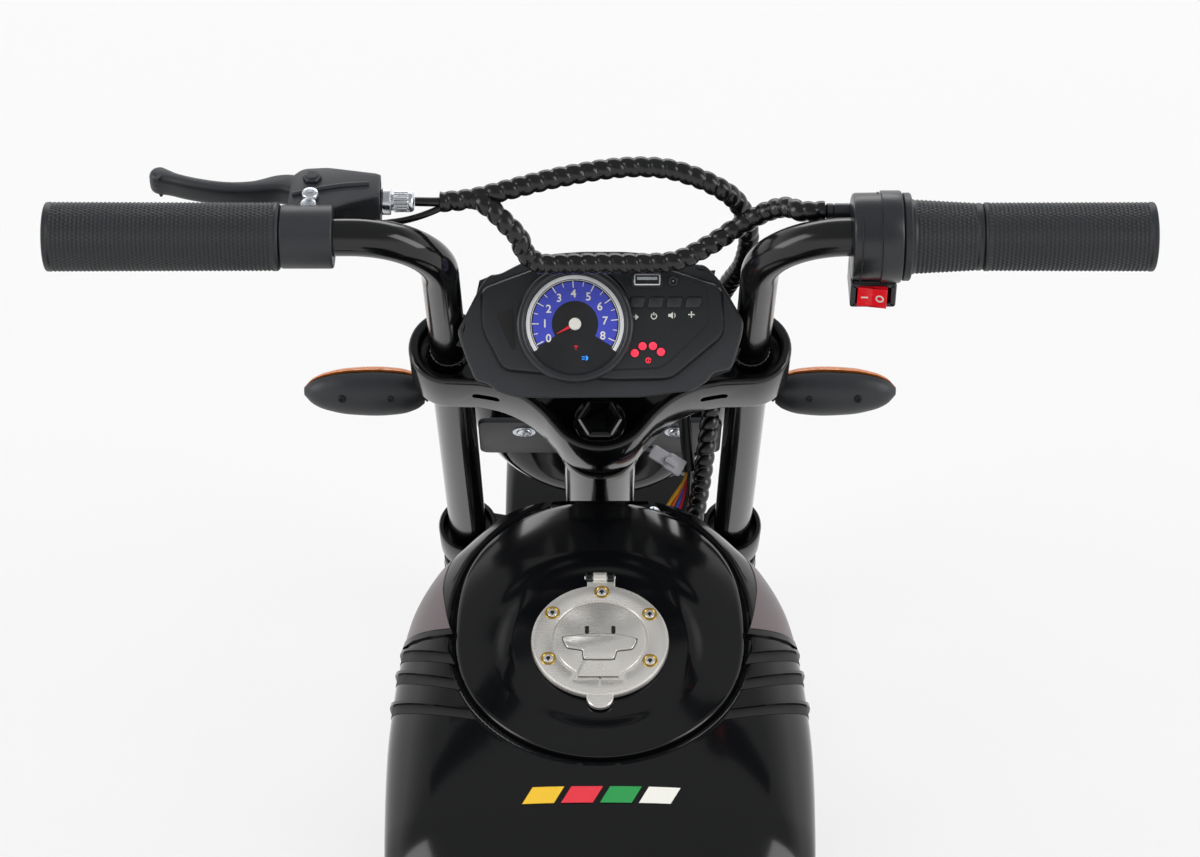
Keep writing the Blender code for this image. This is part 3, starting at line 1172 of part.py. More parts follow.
def make_yokes():
    yoke = plate("upper_yoke", yoke_outline(), YOKE_HEIGHT, fork_matrix(0, YOKE_BOTTOM + YOKE_HEIGHT / 2))
    bevel(yoke, 2.0, 1, 50.0)
    dish = plate("yoke_dish", yoke_outline(YOKE_RIM), 2 * YOKE_DISH, fork_matrix(0, YOKE_TOP))
    cut(yoke, dish)
    for side in (-1, 1):
        x = side * FORK_HALF_SPACING
        upper = rod("riser_socket_%d" % side, fork_point(x, YOKE_PLATFORM - TUBE_SOCKET_DEPTH),
                    fork_point(x, YOKE_TOP + 10), BAR_RADIUS + FIT_GAP, 16)
        lower = rod("fork_socket_%d" % side, fork_point(x, YOKE_BOTTOM - 10),
                    fork_point(x, YOKE_BOTTOM + TUBE_SOCKET_DEPTH), FORK_TUBE_RADIUS + FIT_GAP, 16)
        slot_outline = []
        reach = (WALL_SLOT_LENGTH - WALL_SLOT_HEIGHT) / 2
        slot_outline += arc_points((reach, 0), WALL_SLOT_HEIGHT / 2, -90, 90, 4)
        slot_outline += arc_points((-reach, 0), WALL_SLOT_HEIGHT / 2, 90, 270, 4)
        centre = fork_point(side * WALL_SLOT_X, YOKE_BOTTOM + YOKE_HEIGHT * 0.52, -YOKE_LOBE_RADIUS)
        slot = plate("wall_slot_%d" % side, slot_outline, 16.0, place_matrix(centre, ACROSS, FORK_AHEAD))
        cut(yoke, upper, lower, slot)
    cut(yoke, rod("yoke_stem_hole", stem_point(YOKE_BOTTOM - 10), stem_point(YOKE_TOP + 10),
                  BOLT_SHANK_RADIUS + FIT_GAP, 20))
    keep(yoke, "steering", "gloss_black_paint")

    inner = FORK_HALF_SPACING
    bridge_mid = CUP_TOP - 12.0 - BRIDGE_THICKNESS / 2
    outline = [(0.0, -STEM_SETBACK - 20), (14, -STEM_SETBACK - 15), (24, -STEM_SETBACK), (40, -26),
               (inner, -CUP_RADIUS + 3), (inner, CUP_RADIUS - 3), (40, 8), (0.0, 0.0)]
    outline += [(-x, y) for x, y in reversed(outline) if x > 0.0]
    lower = plate("lower_yoke", outline, BRIDGE_THICKNESS, fork_matrix(0, bridge_mid))
    collar = rod("stem_collar", stem_point(CUP_TOP - CUP_HEIGHT + 4), stem_point(CUP_TOP),
                 HEAD_TUBE_RADIUS, 16)
    join(lower, collar)
    for side in (-1, 1):
        x = side * FORK_HALF_SPACING
        cup = rod("fork_cup_%d" % side, fork_point(x, CUP_TOP - CUP_HEIGHT), fork_point(x, CUP_TOP),
                  CUP_RADIUS, 16)
        join(lower, cup)
    for side in (-1, 1):
        x = side * FORK_HALF_SPACING
        bore = rod("cup_bore_%d" % side, fork_point(x, CUP_TOP - CUP_BORE_DEPTH), fork_point(x, CUP_TOP + 10),
                   CUP_BORE_RADIUS, 16)
        through = rod("cup_through_%d" % side, fork_point(x, CUP_TOP - CUP_HEIGHT - 10),
                      fork_point(x, CUP_TOP + 10), FORK_TUBE_RADIUS + FIT_GAP, 16)
        cut(lower, bore, through)
    cut(lower, rod("lower_stem_hole", stem_point(CUP_TOP - CUP_HEIGHT - 20), stem_point(CUP_TOP + 20),
                   STEM_RADIUS + FIT_GAP, 24))
    keep(lower, "steering", "gloss_black_paint")

    stem = rod("steering_stem", stem_point(CUP_TOP - CUP_HEIGHT - 1), stem_point(YOKE_BOTTOM - FIT_GAP),
               STEM_RADIUS, 20)
    join(stem, rod("stem_bolt", stem_point(YOKE_BOTTOM - 10), stem_point(YOKE_PLATFORM + 2),
                   BOLT_SHANK_RADIUS, 20))
    join(stem, rod("stem_hex", stem_point(YOKE_PLATFORM + FIT_GAP),
                   stem_point(YOKE_PLATFORM + FIT_GAP + BOLT_HEIGHT), BOLT_HEAD_RADIUS, 6))
    join(stem, rod("stem_foot", stem_point(CUP_TOP - CUP_HEIGHT - 2),
                   stem_point(CUP_TOP - CUP_HEIGHT + 4 - FIT_GAP), STEM_RADIUS + 4, 20))
    keep(stem, "steering", "gloss_black_paint")


def make_fork():
    for side, word in ((-1, "left"), (1, "right")):
        x = side * FORK_HALF_SPACING
        top = YOKE_BOTTOM + TUBE_SOCKET_DEPTH - FIT_GAP
        slider = rod("fork_tube_" + word, fork_point(x, FORK_LEG_TOP - 30.0), fork_point(x, top),
                     FORK_TUBE_RADIUS, 16)
        keep(slider, "steering", "gloss_black_paint")
        profile = [(FORK_TUBE_RADIUS + FIT_GAP, FORK_LEG_TOP), (FORK_LEG_RADIUS - 1.5, FORK_LEG_TOP),
                   (FORK_LEG_RADIUS, FORK_LEG_TOP - 1.5), (FORK_LEG_RADIUS, FORK_LEG_TOP - 20),
                   (FORK_LEG_RADIUS - 2, FORK_LEG_TOP - 23), (FORK_LEG_RADIUS - 2, 30.0),
                   (FORK_LEG_RADIUS, 22.0), (FORK_LEG_RADIUS, -FORK_LEG_FOOT), (0.0, -FORK_LEG_FOOT),
                   (0.0, FORK_LEG_TOP - 30 - FIT_GAP), (FORK_TUBE_RADIUS + FIT_GAP, FORK_LEG_TOP - 30 - FIT_GAP)]
        start = profile.index((0.0, FORK_LEG_TOP - 30 - FIT_GAP))
        leg = turned("fork_leg_" + word, profile[start:] + profile[:start], fork_matrix(x), 16)
        hole = rod("axle_hole_" + word, FRONT_AXLE + ACROSS * (x - 40), FRONT_AXLE + ACROSS * (x + 40),
                   AXLE_RADIUS + FIT_GAP, 14)
        cut(leg, hole)
        keep(leg, "steering", "gloss_black_paint")

    outer = FORK_HALF_SPACING + FORK_LEG_RADIUS + FIT_GAP
    inner = HUB_LENGTH / 2 + FIT_GAP
    stop = FORK_HALF_SPACING - FORK_LEG_RADIUS - FIT_GAP
    axle = rod("front_axle", FRONT_AXLE - ACROSS * (outer + 9), FRONT_AXLE + ACROSS * (outer + 9),
               AXLE_RADIUS, 14)
    for side in (-1, 1):
        join(axle, rod("front_spacer_%d" % side, FRONT_AXLE + ACROSS * side * inner,
                       FRONT_AXLE + ACROSS * side * stop, 9.0, 12))
        join(axle, rod("front_nut_%d" % side, FRONT_AXLE + ACROSS * side * outer,
                       FRONT_AXLE + ACROSS * side * (outer + 7), 10.0, 6))
    keep(axle, "steering", "zinc_steel")


def make_headlight():
    centre = Vector((0.0, 0.0, HEADLIGHT_CENTRE_Z))
    back = HEADLIGHT_BACK_Y
    rim = back + HEADLIGHT_RIM_AHEAD
    front = back + HEADLIGHT_LENGTH
    wide = HEADLIGHT_RADIUS
    wall = HEADLIGHT_WALL
    outer = [(wide, front), (wide, rim), (wide - 5, rim - 10), (wide - 20, back + 6), (wide - 36, back)]
    inner = [(wide - 36, back + wall), (wide - 22, back + 6 + wall), (wide - 5 - wall, rim - 8),
             (wide - wall, rim), (wide - wall, front)]
    shell = turned("headlight_shell", [(0.0, back + wall)] + inner + outer + [(0.0, back)],
                   along_y(centre), 24)
    keep(shell, "steering", "gloss_black_shell")

    glass = wide - wall - FIT_GAP
    bulge = HEADLIGHT_LENS_BULGE
    face = front - 4.0
    lens = turned("headlight_lens", [(0.0, face + bulge), (glass * 0.4, face + bulge * 0.86),
                                     (glass * 0.75, face + bulge * 0.5), (glass, face),
                                     (glass, face - 4.0), (0.0, face - 4.0)], along_y(centre), 24)
    keep(lens, "steering", "lens_clear")

    ahead = BRACKET_AHEAD + BRACKET_THICKNESS / 2
    half = FORK_HALF_SPACING - FORK_TUBE_RADIUS - FIT_GAP
    height = BRACKET_HIGH - BRACKET_LOW
    bracket = block("headlight_bracket", (2 * half, BRACKET_THICKNESS, height),
                    fork_matrix(0, (BRACKET_LOW + BRACKET_HIGH) / 2, ahead))
    plate_y = fork_point(0, (BRACKET_LOW + BRACKET_HIGH) / 2, ahead).y
    join(bracket, rod("bracket_boss", (0, plate_y - 1, HEADLIGHT_CENTRE_Z),
                      (0, back - FIT_GAP, HEADLIGHT_CENTRE_Z), BRACKET_BOSS_RADIUS, 20))
    keep(bracket, "steering", "satin_black_plastic")


def make_indicators():
    for side, word in ((-1, "left"), (1, "right")):
        rings = []
        centre = fork_point(0.0, INDICATOR_ALONG, 0.0)
        inner = INDICATOR_INNER_X
        outer = INDICATOR_OUTER_X
        for share, scale, rise in ((0.0, 0.62, 0.0), (0.12, 0.86, 0.0), (0.35, 1.0, 0.0), (0.6, 0.97, 0.0),
                                   (0.85, 0.72, -0.5), (1.0, 0.40, -1.0)):
            x = side * (inner + (outer - inner) * share)
            ring = []
            for k in range(10):
                angle = 2 * pi * k / 10 + pi / 10
                ring.append((x, centre.y + INDICATOR_DEPTH / 2 * scale * cos(angle),
                             centre.z + rise + INDICATOR_HEIGHT / 2 * scale * sin(angle)))
            rings.append(ring)
        if side < 0:
            rings = [list(reversed(ring)) for ring in rings]
        lamp = loft("indicator_" + word, rings)
        stalk = rod("indicator_stalk_" + word,
                    Vector((side * (FORK_HALF_SPACING + FORK_TUBE_RADIUS + FIT_GAP), centre.y, centre.z)),
                    Vector((side * (inner + 6), centre.y, centre.z)), INDICATOR_STALK_RADIUS, 12)
        join(lamp, stalk)
        keep(lamp, "steering", "satin_black_plastic")


def make_handlebars():
    for side, word in ((-1, "left"), (1, "right")):
        x = side * FORK_HALF_SPACING
        base = fork_point(x, YOKE_PLATFORM - TUBE_SOCKET_DEPTH + FIT_GAP)
        elbow = Vector((x, BAR_CENTRE.y, BAR_HEIGHT))
        end = Vector((side * BAR_END_X, BAR_CENTRE.y, BAR_HEIGHT))
        bar = tube("handlebar_" + word, bent_path([base, elbow, end], BAR_BEND_RADIUS, 6), BAR_RADIUS, 12)
        bead = rod("weld_bead_" + word, fork_point(x, YOKE_PLATFORM + FIT_GAP),
                   fork_point(x, YOKE_PLATFORM + FIT_GAP + WELD_BEAD_HEIGHT), WELD_BEAD_RADIUS, 20,
                   BAR_RADIUS + 0.4)
        join(bar, bead)
        keep(bar, "steering", "gloss_black_paint")


def grip_profile(radius, inner_radius, start, end, bore, closed_end):
    """A grip's section from its outer end in to its inner end, along the bar."""
    soft = GRIP_END_ROUND
    outer = [(radius - soft, end), (radius - 0.3 * soft, end - 0.3 * soft), (radius, end - soft),
             (inner_radius, start + 1.0), (inner_radius - 1.0, start)]
    if closed_end:
        return [(0.0, end)] + outer + [(bore, start), (bore, end - GRIP_END_WALL + FIT_GAP),
                                       (0.0, end - GRIP_END_WALL + FIT_GAP)]
    return outer + [(bore, start), (bore, end)]


def make_grips():
    bore = BAR_RADIUS + FIT_GAP
    left_end = BAR_END_X + GRIP_END_WALL
    place = place_matrix(BAR_CENTRE, UPWARD, -ACROSS)
    left = turned("grip_left", grip_profile(GRIP_RADIUS, GRIP_RADIUS, -CLAMP_OUTER_X, left_end, bore, True),
                  place, 20)
    keep(left, "steering", "grip_rubber")

    sleeve_end = SLEEVE_START_X + SLEEVE_FLANGE + SLEEVE_LENGTH
    place = along_x(BAR_CENTRE)
    outer_start = sleeve_end + FIT_GAP
    right = turned("grip_right", grip_profile(OUTER_GRIP_RADIUS, OUTER_GRIP_RADIUS, outer_start,
                                              BAR_END_X + GRIP_END_WALL, bore, True), place, 20)
    keep(right, "steering", "grip_rubber")

    start = SLEEVE_START_X
    profile = [(bore, sleeve_end), (SLEEVE_OUTER_RADIUS - 1, sleeve_end), (SLEEVE_OUTER_RADIUS, sleeve_end - 1),
               (SLEEVE_INNER_RADIUS, start + SLEEVE_FLANGE), (SLEEVE_FLANGE_RADIUS, start + SLEEVE_FLANGE),
               (SLEEVE_FLANGE_RADIUS, start), (bore, start)]
    sleeve = turned("throttle_sleeve", profile, place, 20, closed=True)
    keep(sleeve, "throttle_sleeve", "grip_rubber")


def make_throttle_housing():
    start = HOUSING_INNER_X
    end = start + HOUSING_LENGTH
    bore = BAR_RADIUS + FIT_GAP
    radius = HOUSING_RADIUS
    profile = [(bore, end), (radius - 1.5, end), (radius, end - 1.5), (radius, start + 2.0),
               (radius - 2.0, start), (bore, start)]
    housing = turned("throttle_housing", profile, along_x(BAR_CENTRE), 24, closed=True)
    box_centre = SWITCH_FACE + FORWARD * SWITCH_DEPTH / 2
    box = block("switch_box", (SWITCH_WIDTH, SWITCH_DEPTH, SWITCH_HEIGHT), upright(box_centre))
    box_bore = rod("switch_box_bore", BAR_CENTRE + ACROSS * (start - 20), BAR_CENTRE + ACROSS * (end + 20),
                   bore, 24)
    pocket = block("switch_pocket", (ROCKER_LENGTH + 1.6, SWITCH_POCKET_DEPTH * 2, ROCKER_HEIGHT + 0.8),
                   upright(SWITCH_FACE))
    spout = rod("throttle_spout", BAR_CENTRE + Vector((start - 12.0, 17.0, 2.0)),
                BAR_CENTRE + Vector((start + 3.0, 17.0, 2.0)), 4.0, 14)
    join(housing, box, spout)
    cut(housing, box_bore, pocket)
    keep(housing, "steering", "satin_black_plastic")

    proud = ROCKER_PIVOT_DEPTH + 1.2
    half = ROCKER_LENGTH / 2
    belly = ROCKER_BODY_RADIUS
    outline = [(-half, -proud - 1.0), (0.0, -proud), (half, -proud - 1.0), (half, -proud + 1.4)]
    outline += arc_points((0.0, 0.0), belly, 20, 160, 6)
    outline += [(-half, -proud + 1.4)]
    tilt = Matrix.Rotation(radians(-ROCKER_TILT_DEG), 4, "Z")
    place = Matrix.Translation(ROCKER_PIVOT * MM) @ tilt
    rocker = plate("switch_rocker", outline, ROCKER_HEIGHT, place)
    bevel(rocker, 0.5, 1)
    keep(rocker, "switch_rocker", "switch_red")


def make_lever():
    bore = BAR_RADIUS + FIT_GAP
    inner = -CLAMP_OUTER_X - FIT_GAP
    outer_end = inner
    inner_end = inner - LEVER_CLAMP_LENGTH
    radius = LEVER_CLAMP_RADIUS
    profile = [(bore, outer_end), (radius - 1, outer_end), (radius, outer_end - 1), (radius, inner_end + 1),
               (radius - 1, inner_end), (bore, inner_end)]
    holder = turned("lever_bracket", profile, place_matrix(BAR_CENTRE, UPWARD, -ACROSS), 20, closed=True)
    y = BAR_CENTRE.y
    pivot_y = y + LEVER_PIVOT_AHEAD
    cable_y = y + CABLE_AHEAD
    x = LEVER_PIVOT_X
    end = LEVER_ARM_END_X
    arm_outline = [(x - 11, y + 8), (x - 10, pivot_y + 3), (x - 5, pivot_y + 8), (x + 7, pivot_y + 9),
                   (end, cable_y + 8.5), (end, cable_y - 8.5), (x + 19, y + 13), (x + 9.5, y + 8)]
    arm = plate("lever_arm", arm_outline, HOLDER_HEIGHT, upright((0, 0, BAR_HEIGHT)))
    slot_outline = [(x - 34, pivot_y - 10.0), (x - 34, pivot_y + 20.0), (x + 23, pivot_y + 20.0),
                    (x + 23, cable_y - 3.0), (x + 11, pivot_y - 11.5), (x - 5, pivot_y - 11.5)]
    slot = plate("lever_slot", slot_outline, LEVER_THICKNESS + 2 * FIT_GAP, upright((0, 0, BAR_HEIGHT)))
    join(holder, arm)
    cut(holder, slot)
    pin = rod("lever_pin", LEVER_PIVOT - UPWARD * (HOLDER_HEIGHT / 2 - 1),
              LEVER_PIVOT + UPWARD * (HOLDER_HEIGHT / 2 + 2.5), LEVER_PIN_RADIUS, 14)
    head = rod("lever_pin_head", LEVER_PIVOT + UPWARD * (HOLDER_HEIGHT / 2 - 0.5),
               LEVER_PIVOT + UPWARD * (HOLDER_HEIGHT / 2 + 3.5), 4.6, 16)
    join(holder, pin, head)
    cut(holder, rod("lever_bar_bore", BAR_CENTRE - ACROSS * (outer_end + 9),
                    BAR_CENTRE - ACROSS * (inner_end - 40), bore, 20))
    keep(holder, "steering", "satin_black_plastic")

    centre_line = [(x, pivot_y), (x - 17, y + 36.5), (x - 31, y + 33.5), (x - 45, y + 33.5),
                   (x - 62, y + 37.5), (x - 76.8, y + 43.5)]
    widths = [LEVER_LUG_RADIUS, 6.0, LEVER_BLADE_WIDTH / 2, LEVER_BLADE_WIDTH / 2, LEVER_BLADE_WIDTH / 2,
              LEVER_TIP_RADIUS]
    upper = []
    lower = []
    for i in range(1, len(centre_line) - 1):
        before = Vector(centre_line[i - 1])
        after = Vector(centre_line[i + 1])
        way = (after - before).normalized()
        side = Vector((-way.y, way.x))
        point = Vector(centre_line[i])
        upper.append(tuple(point - side * widths[i]))
        lower.append(tuple(point + side * widths[i]))
    lug = arc_points(centre_line[0], LEVER_LUG_RADIUS, -100, 80, 8)
    tip = arc_points(centre_line[-1], LEVER_TIP_RADIUS, 60, 290, 9)
    outline = lug + upper + tip + list(reversed(lower))
    lever = plate("brake_lever", outline, LEVER_THICKNESS, upright((0, 0, BAR_HEIGHT)),
                  [arc_points((LEVER_PIVOT_X, pivot_y), LEVER_PIN_RADIUS + FIT_GAP, 360, 22.5, 15)])
    bevel(lever, 1.6, 1, 60.0)
    keep(lever, "brake_lever", "satin_black_plastic")

    start_x = LEVER_ARM_END_X + FIT_GAP
    length = ADJUSTER_LENGTH
    profile = [(0.0, length), (ADJUSTER_RADIUS - 1.2, length), (ADJUSTER_RADIUS - 0.4, length - 1),
               (ADJUSTER_RADIUS, length - 2), (ADJUSTER_RADIUS, 6.0), (ADJUSTER_RADIUS - 1, 5.0),
               (ADJUSTER_LOCK_RADIUS, 4.6), (ADJUSTER_LOCK_RADIUS, 0.0), (0.0, 0.0)]
    adjuster = turned("cable_adjuster", profile, along_x((start_x, cable_y, BAR_HEIGHT)), 14)
    keep(adjuster, "steering", "zinc_steel")


# Dash

def dash_outline():
    """Outer outline of the dash's rim, from the top middle clockwise as the rider sees it."""
    half = [(0.0, 36.6), (12.0, 36.6), (28.0, 35.2), (44.0, 30.6), (52.0, 28.4), (58.0, 23.4),
            (65.0, 12.0), (71.0, 1.0), (70.0, -8.0), (65.0, -24.0), (57.5, -26.8), (54.5, -30.6),
            (46.0, -34.6), (0.0, -36.2)]
    mirror = [(-x, v) for x, v in reversed(half) if x > 0.0]
    return half + mirror


def panel_outline():
    """Raised middle of the dash, on which the dial and the keys sit."""
    return [(-59.7, 18.1), (-40.0, 26.0), (-23.1, 31.6), (-9.5, 32.6), (22.1, 32.1), (42.0, 26.0),
            (61.2, 19.1), (62.2, -5.5), (48.0, -18.0), (35.6, -27.6), (7.5, -28.1), (-48.7, -23.1),
            (-59.2, -2.5)]


def make_dash():
    housing = plate("dash_housing", dash_outline(), DASH_FLANGE, dash_matrix(0, 0, -DASH_FLANGE / 2))
    bevel(housing, DASH_EDGE_ROUND, 1, 50.0)
    body_outline = [(-52, -24), (-56, 0), (-50, 20), (-22, 29), (22, 29), (50, 20), (56, 0), (52, -24),
                    (40, -29), (-40, -29)]
    body = plate("dash_body", body_outline, DASH_BODY_DEPTH,
                 dash_matrix(0, 0, -DASH_FLANGE - DASH_BODY_DEPTH / 2 + 1.0))
    join(housing, body)
    keep(housing, "steering", "satin_black_plastic")

    lift = FIT_GAP
    panel = plate("dash_panel", panel_outline(), DASH_PANEL_HEIGHT,
                  dash_matrix(0, 0, lift + DASH_PANEL_HEIGHT / 2))
    bevel(panel, 1.0, 1, 50.0)
    bezel = DIAL_BEZEL_RADIUS
    wide = DIAL_BEZEL_WIDTH
    top = DIAL_BEZEL_HEIGHT
    ring = turned("dial_bezel", [(bezel - 1.6, top + lift), (bezel, top - 2), (bezel, 0.5),
                                 (bezel - wide, 0.5), (bezel - wide, top - 1)],
                  dash_matrix(DIAL_X, DIAL_V, 0.0), 28, closed=True)
    face_drop = rod("dial_recess", DASH_CENTRE + ACROSS * DIAL_X + DASH_NORMAL * (DASH_PANEL_HEIGHT - 1.2),
                    DASH_CENTRE + ACROSS * DIAL_X + DASH_NORMAL * 20, bezel - wide + 0.6, 28)
    cut(panel, face_drop)
    join(panel, ring)
    for index in range(BUTTON_COUNT):
        u = BUTTON_ROW_X + BUTTON_PITCH * (index - (BUTTON_COUNT - 1) / 2)
        pocket = plate("button_pocket_%d" % index, key_outline(FIT_GAP), BUTTON_POCKET,
                       dash_matrix(u, BUTTON_ROW_V, lift + DASH_PANEL_HEIGHT + 0.6 - BUTTON_POCKET / 2 + 0.6))
        cut(panel, pocket)
    port = block("usb_port", (USB_WIDTH, USB_HEIGHT, USB_DEPTH), dash_matrix(USB_X, USB_V, 6.0))
    hole = rod("jack_port", DASH_CENTRE + ACROSS * JACK_X + DASH_UP * JACK_V + DASH_NORMAL * 1.6,
               DASH_CENTRE + ACROSS * JACK_X + DASH_UP * JACK_V + DASH_NORMAL * 12, JACK_RADIUS, 14)
    cut(panel, port, hole)
    keep(panel, "steering", "satin_black_plastic")

    pocket_floor = lift + DASH_PANEL_HEIGHT + 1.2 - BUTTON_POCKET
    for index in range(BUTTON_COUNT):
        u = BUTTON_ROW_X + BUTTON_PITCH * (index - (BUTTON_COUNT - 1) / 2)
        low = pocket_floor + BUTTON_TRAVEL + FIT_GAP
        high = lift + DASH_PANEL_HEIGHT + BUTTON_PROUD
        key = plate("dash_button_%d" % (index + 1), key_outline(0.0), high - low,
                    dash_matrix(u, BUTTON_ROW_V, (low + high) / 2))
        bevel(key, 0.4, 1)
        keep(key, "dash_button_%d" % (index + 1), "satin_black_plastic")

    back = DASH_CENTRE - DASH_NORMAL * (DASH_FLANGE + DASH_BODY_DEPTH - 1.0 + FIT_GAP)
    platform = fork_point(0.0, YOKE_PLATFORM + FIT_GAP, -STEM_SETBACK + STEM_RADIUS + 7.0)
    foot = platform + FORK_AHEAD * 14.0
    rise = foot + FORK_UP * 26.0
    seat_low = back - DASH_UP * 16.0
    seat_high = back + DASH_UP * 6.0
    thick = DASH_BRACKET_THICKNESS
    outline = [platform, foot, rise, seat_high, seat_high - DASH_NORMAL * thick,
               rise + FORK_AHEAD * thick, foot + FORK_AHEAD * thick + FORK_UP * thick * 0, platform]
    strip = [(p.y, p.z) for p in (platform, foot + FORK_AHEAD * thick, rise + FORK_AHEAD * thick,
                                  seat_high - DASH_NORMAL * thick, seat_high, seat_low, rise,
                                  foot + FORK_UP * thick, platform + FORK_UP * thick)]
    bracket = plate("dash_bracket", strip, DASH_BRACKET_WIDTH, place_matrix((0, 0, 0), FORWARD, ACROSS))
    keep(bracket, "steering", "gloss_black_paint")


def key_outline(grow):
    """A key leaning a little to the right, grown on all sides by a clearance."""
    half = BUTTON_WIDTH / 2 + grow
    tall = BUTTON_DEPTH / 2 + grow
    lean = BUTTON_SLANT / 2
    return [(-half - lean, -tall), (half - lean, -tall), (half + lean, tall), (-half + lean, tall)]


# Harness

def ribbed(name, route, body, straight=2):
    """A wound harness: wide and narrow points alternate along the route, straight at both ends."""
    points = even_points(smooth_path(route), RIB_PITCH / 2)
    radii = []
    last = len(points) - 1
    for i in range(len(points)):
        at_end = min(i, last - i) < straight
        radii.append(1.0 if (i % 2 and not at_end) else HARNESS_CORE_RADIUS / HARNESS_RADIUS)
    print("%s least gap to itself: %.2f mm" % (name, self_gap(points)))
    cable = curve_tube(name, points, HARNESS_RADIUS, 8, radii)
    keep(as_mesh(cable), body, "harness_wrap")


def self_gap(points):
    """Least distance between a route's skin and itself, over parts four radii or more apart along it."""
    step = (points[1] - points[0]).length
    skip = int(4 * HARNESS_RADIUS / step) + 1
    least = min((points[i] - points[j]).length for i in range(len(points))
                for j in range(i + skip, len(points)))
    return least - 2 * HARNESS_RADIUS


def bar_points(table):
    """Points given across, ahead of the bar and above it."""
    return [BAR_CENTRE + Vector(point) for point in table]


# Across, ahead of the bar and above it
UPPER_ROUTE = ((-62.0, 28.5, 1.0), (-45.0, 31.5, 4.0), (-20.0, 37.5, 7.0), (8.0, 43.5, 8.0), (30.0, 43.5, 8.0),
               (47.0, 41.5, 4.0), (60.0, 40.5, -3.0), (68.0, 42.5, -12.5), (73.0, 44.0, -25.0),
               (75.0, 46.5, -40.0), (73.0, 54.5, -63.0), (67.5, 65.5, -84.0))
LOWER_ROUTE = ((-46.0, 18.5, -7.0), (-40.0, 16.5, -14.0), (-37.0, 14.5, -22.0), (-30.0, 13.5, -28.0),
               (-18.0, 14.0, -29.0), (0.0, 14.5, -29.0), (20.0, 15.0, -29.5), (38.0, 15.5, -28.0),
               (54.0, 22.5, -24.0), (68.0, 28.5, -17.5))
LOWER_ROUTE_END = ((-41.0, 29.5, -9.0), (-31.0, 24.0, -1.0), (-23.0, 17.0, 2.0), (-12.3, 17.0, 2.0))
# Across, along the fork line and ahead of it
DROP_ROUTE = ((63.0, 452.0, 25.0), (63.0, 438.0, 26.0), (62.5, 421.0, 26.5), (62.0, 409.0, 21.0),
              (61.0, 400.0, 8.0), (60.0, 394.0, -8.0))
# Across, ahead of the control box and above its middle
DROP_ROUTE_END = ((57.0, 74.0, 64.7), (54.0, 62.0, 47.7), (50.0, 52.0, 33.7), (42.0, 41.0, 20.7),
                  (30.0, 32.0, 10.7), (20.0, 23.0, 4.7), (16.0, 13.0, 0.0), (16.0, FIT_GAP, 0.0))


def make_harness(box_floor):
    start = Vector((LEVER_ARM_END_X + 2 * FIT_GAP + ADJUSTER_LENGTH, BAR_CENTRE.y + CABLE_AHEAD, BAR_HEIGHT))
    upper = [start, start + ACROSS * 14] + bar_points(UPPER_ROUTE)
    upper += [fork_point(63.5, 467.0, 24.5), fork_point(63.0, 452.0 + FIT_GAP, 25.0)]
    ribbed("brake_harness", upper, "steering")
    plug = Vector((0.0, BOX_FRONT_Y, box_floor + BOX_HEIGHT / 2))
    drop = [fork_point(*point) for point in DROP_ROUTE] + [plug + Vector(point) for point in DROP_ROUTE_END]
    ribbed("harness_drop", drop, "steering")
    spout = [Vector((HOUSING_INNER_X + x, BAR_CENTRE.y + ahead, BAR_HEIGHT + rise))
             for x, ahead, rise in LOWER_ROUTE_END]
    ribbed("throttle_harness", bar_points(LOWER_ROUTE) + spout, "steering")


PIVOTS = {}


def main():
    start_scene()
    PIVOTS.update({
        "frame": add_pivot("frame", (0, 0, 0)),
        "steering": add_pivot("steering", stem_point(0.0)),
        "front_wheel": add_pivot("front_wheel", FRONT_AXLE),
        "rear_wheel": add_pivot("rear_wheel", REAR_AXLE),
        "brake_lever": add_pivot("brake_lever", LEVER_PIVOT),
        "throttle_sleeve": add_pivot("throttle_sleeve", BAR_CENTRE),
        "switch_rocker": add_pivot("switch_rocker", ROCKER_PIVOT),
        "cap_lid": add_pivot("cap_lid", CAP_HINGE),
    })
    for side, word in ((-1, "left"), (1, "right")):
        PIVOTS["stabiliser_wheel_" + word] = add_pivot(
            "stabiliser_wheel_" + word, (side * STABILISER_TRACK_X, REAR_AXLE.y, STABILISER_WHEEL_RADIUS))
    for index in range(BUTTON_COUNT):
        u = BUTTON_ROW_X + BUTTON_PITCH * (index - (BUTTON_COUNT - 1) / 2)
        PIVOTS["dash_button_%d" % (index + 1)] = add_pivot(
            "dash_button_%d" % (index + 1), DASH_CENTRE + ACROSS * u + DASH_UP * BUTTON_ROW_V)
    make_wheel("front", "front_wheel", FRONT_AXLE)
    make_wheel("rear", "rear_wheel", REAR_AXLE)
    make_stabilisers()
    make_frame()
    make_rear_axle()
    make_footpegs()
    box_floor = make_battery_and_covers()
    make_tank()
    make_cap()
    make_seat()
    make_fenders()
    make_yokes()
    make_fork()
    make_headlight()
    make_indicators()
    make_handlebars()
    make_grips()
    make_throttle_housing()
    make_lever()
    make_dash()
    make_harness(box_floor)


main()
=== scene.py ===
"""Looks for a child's ride-on motorcycle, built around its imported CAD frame.

Sizes are given in millimetres and become metres when a mesh is made. X is the rider's right, Y is forward and
Z is up. Many pieces use the fork frame: across, along the fork line and ahead of it.
"""

from collections import namedtuple
from math import atan2, cos, pi, radians, sin, tan

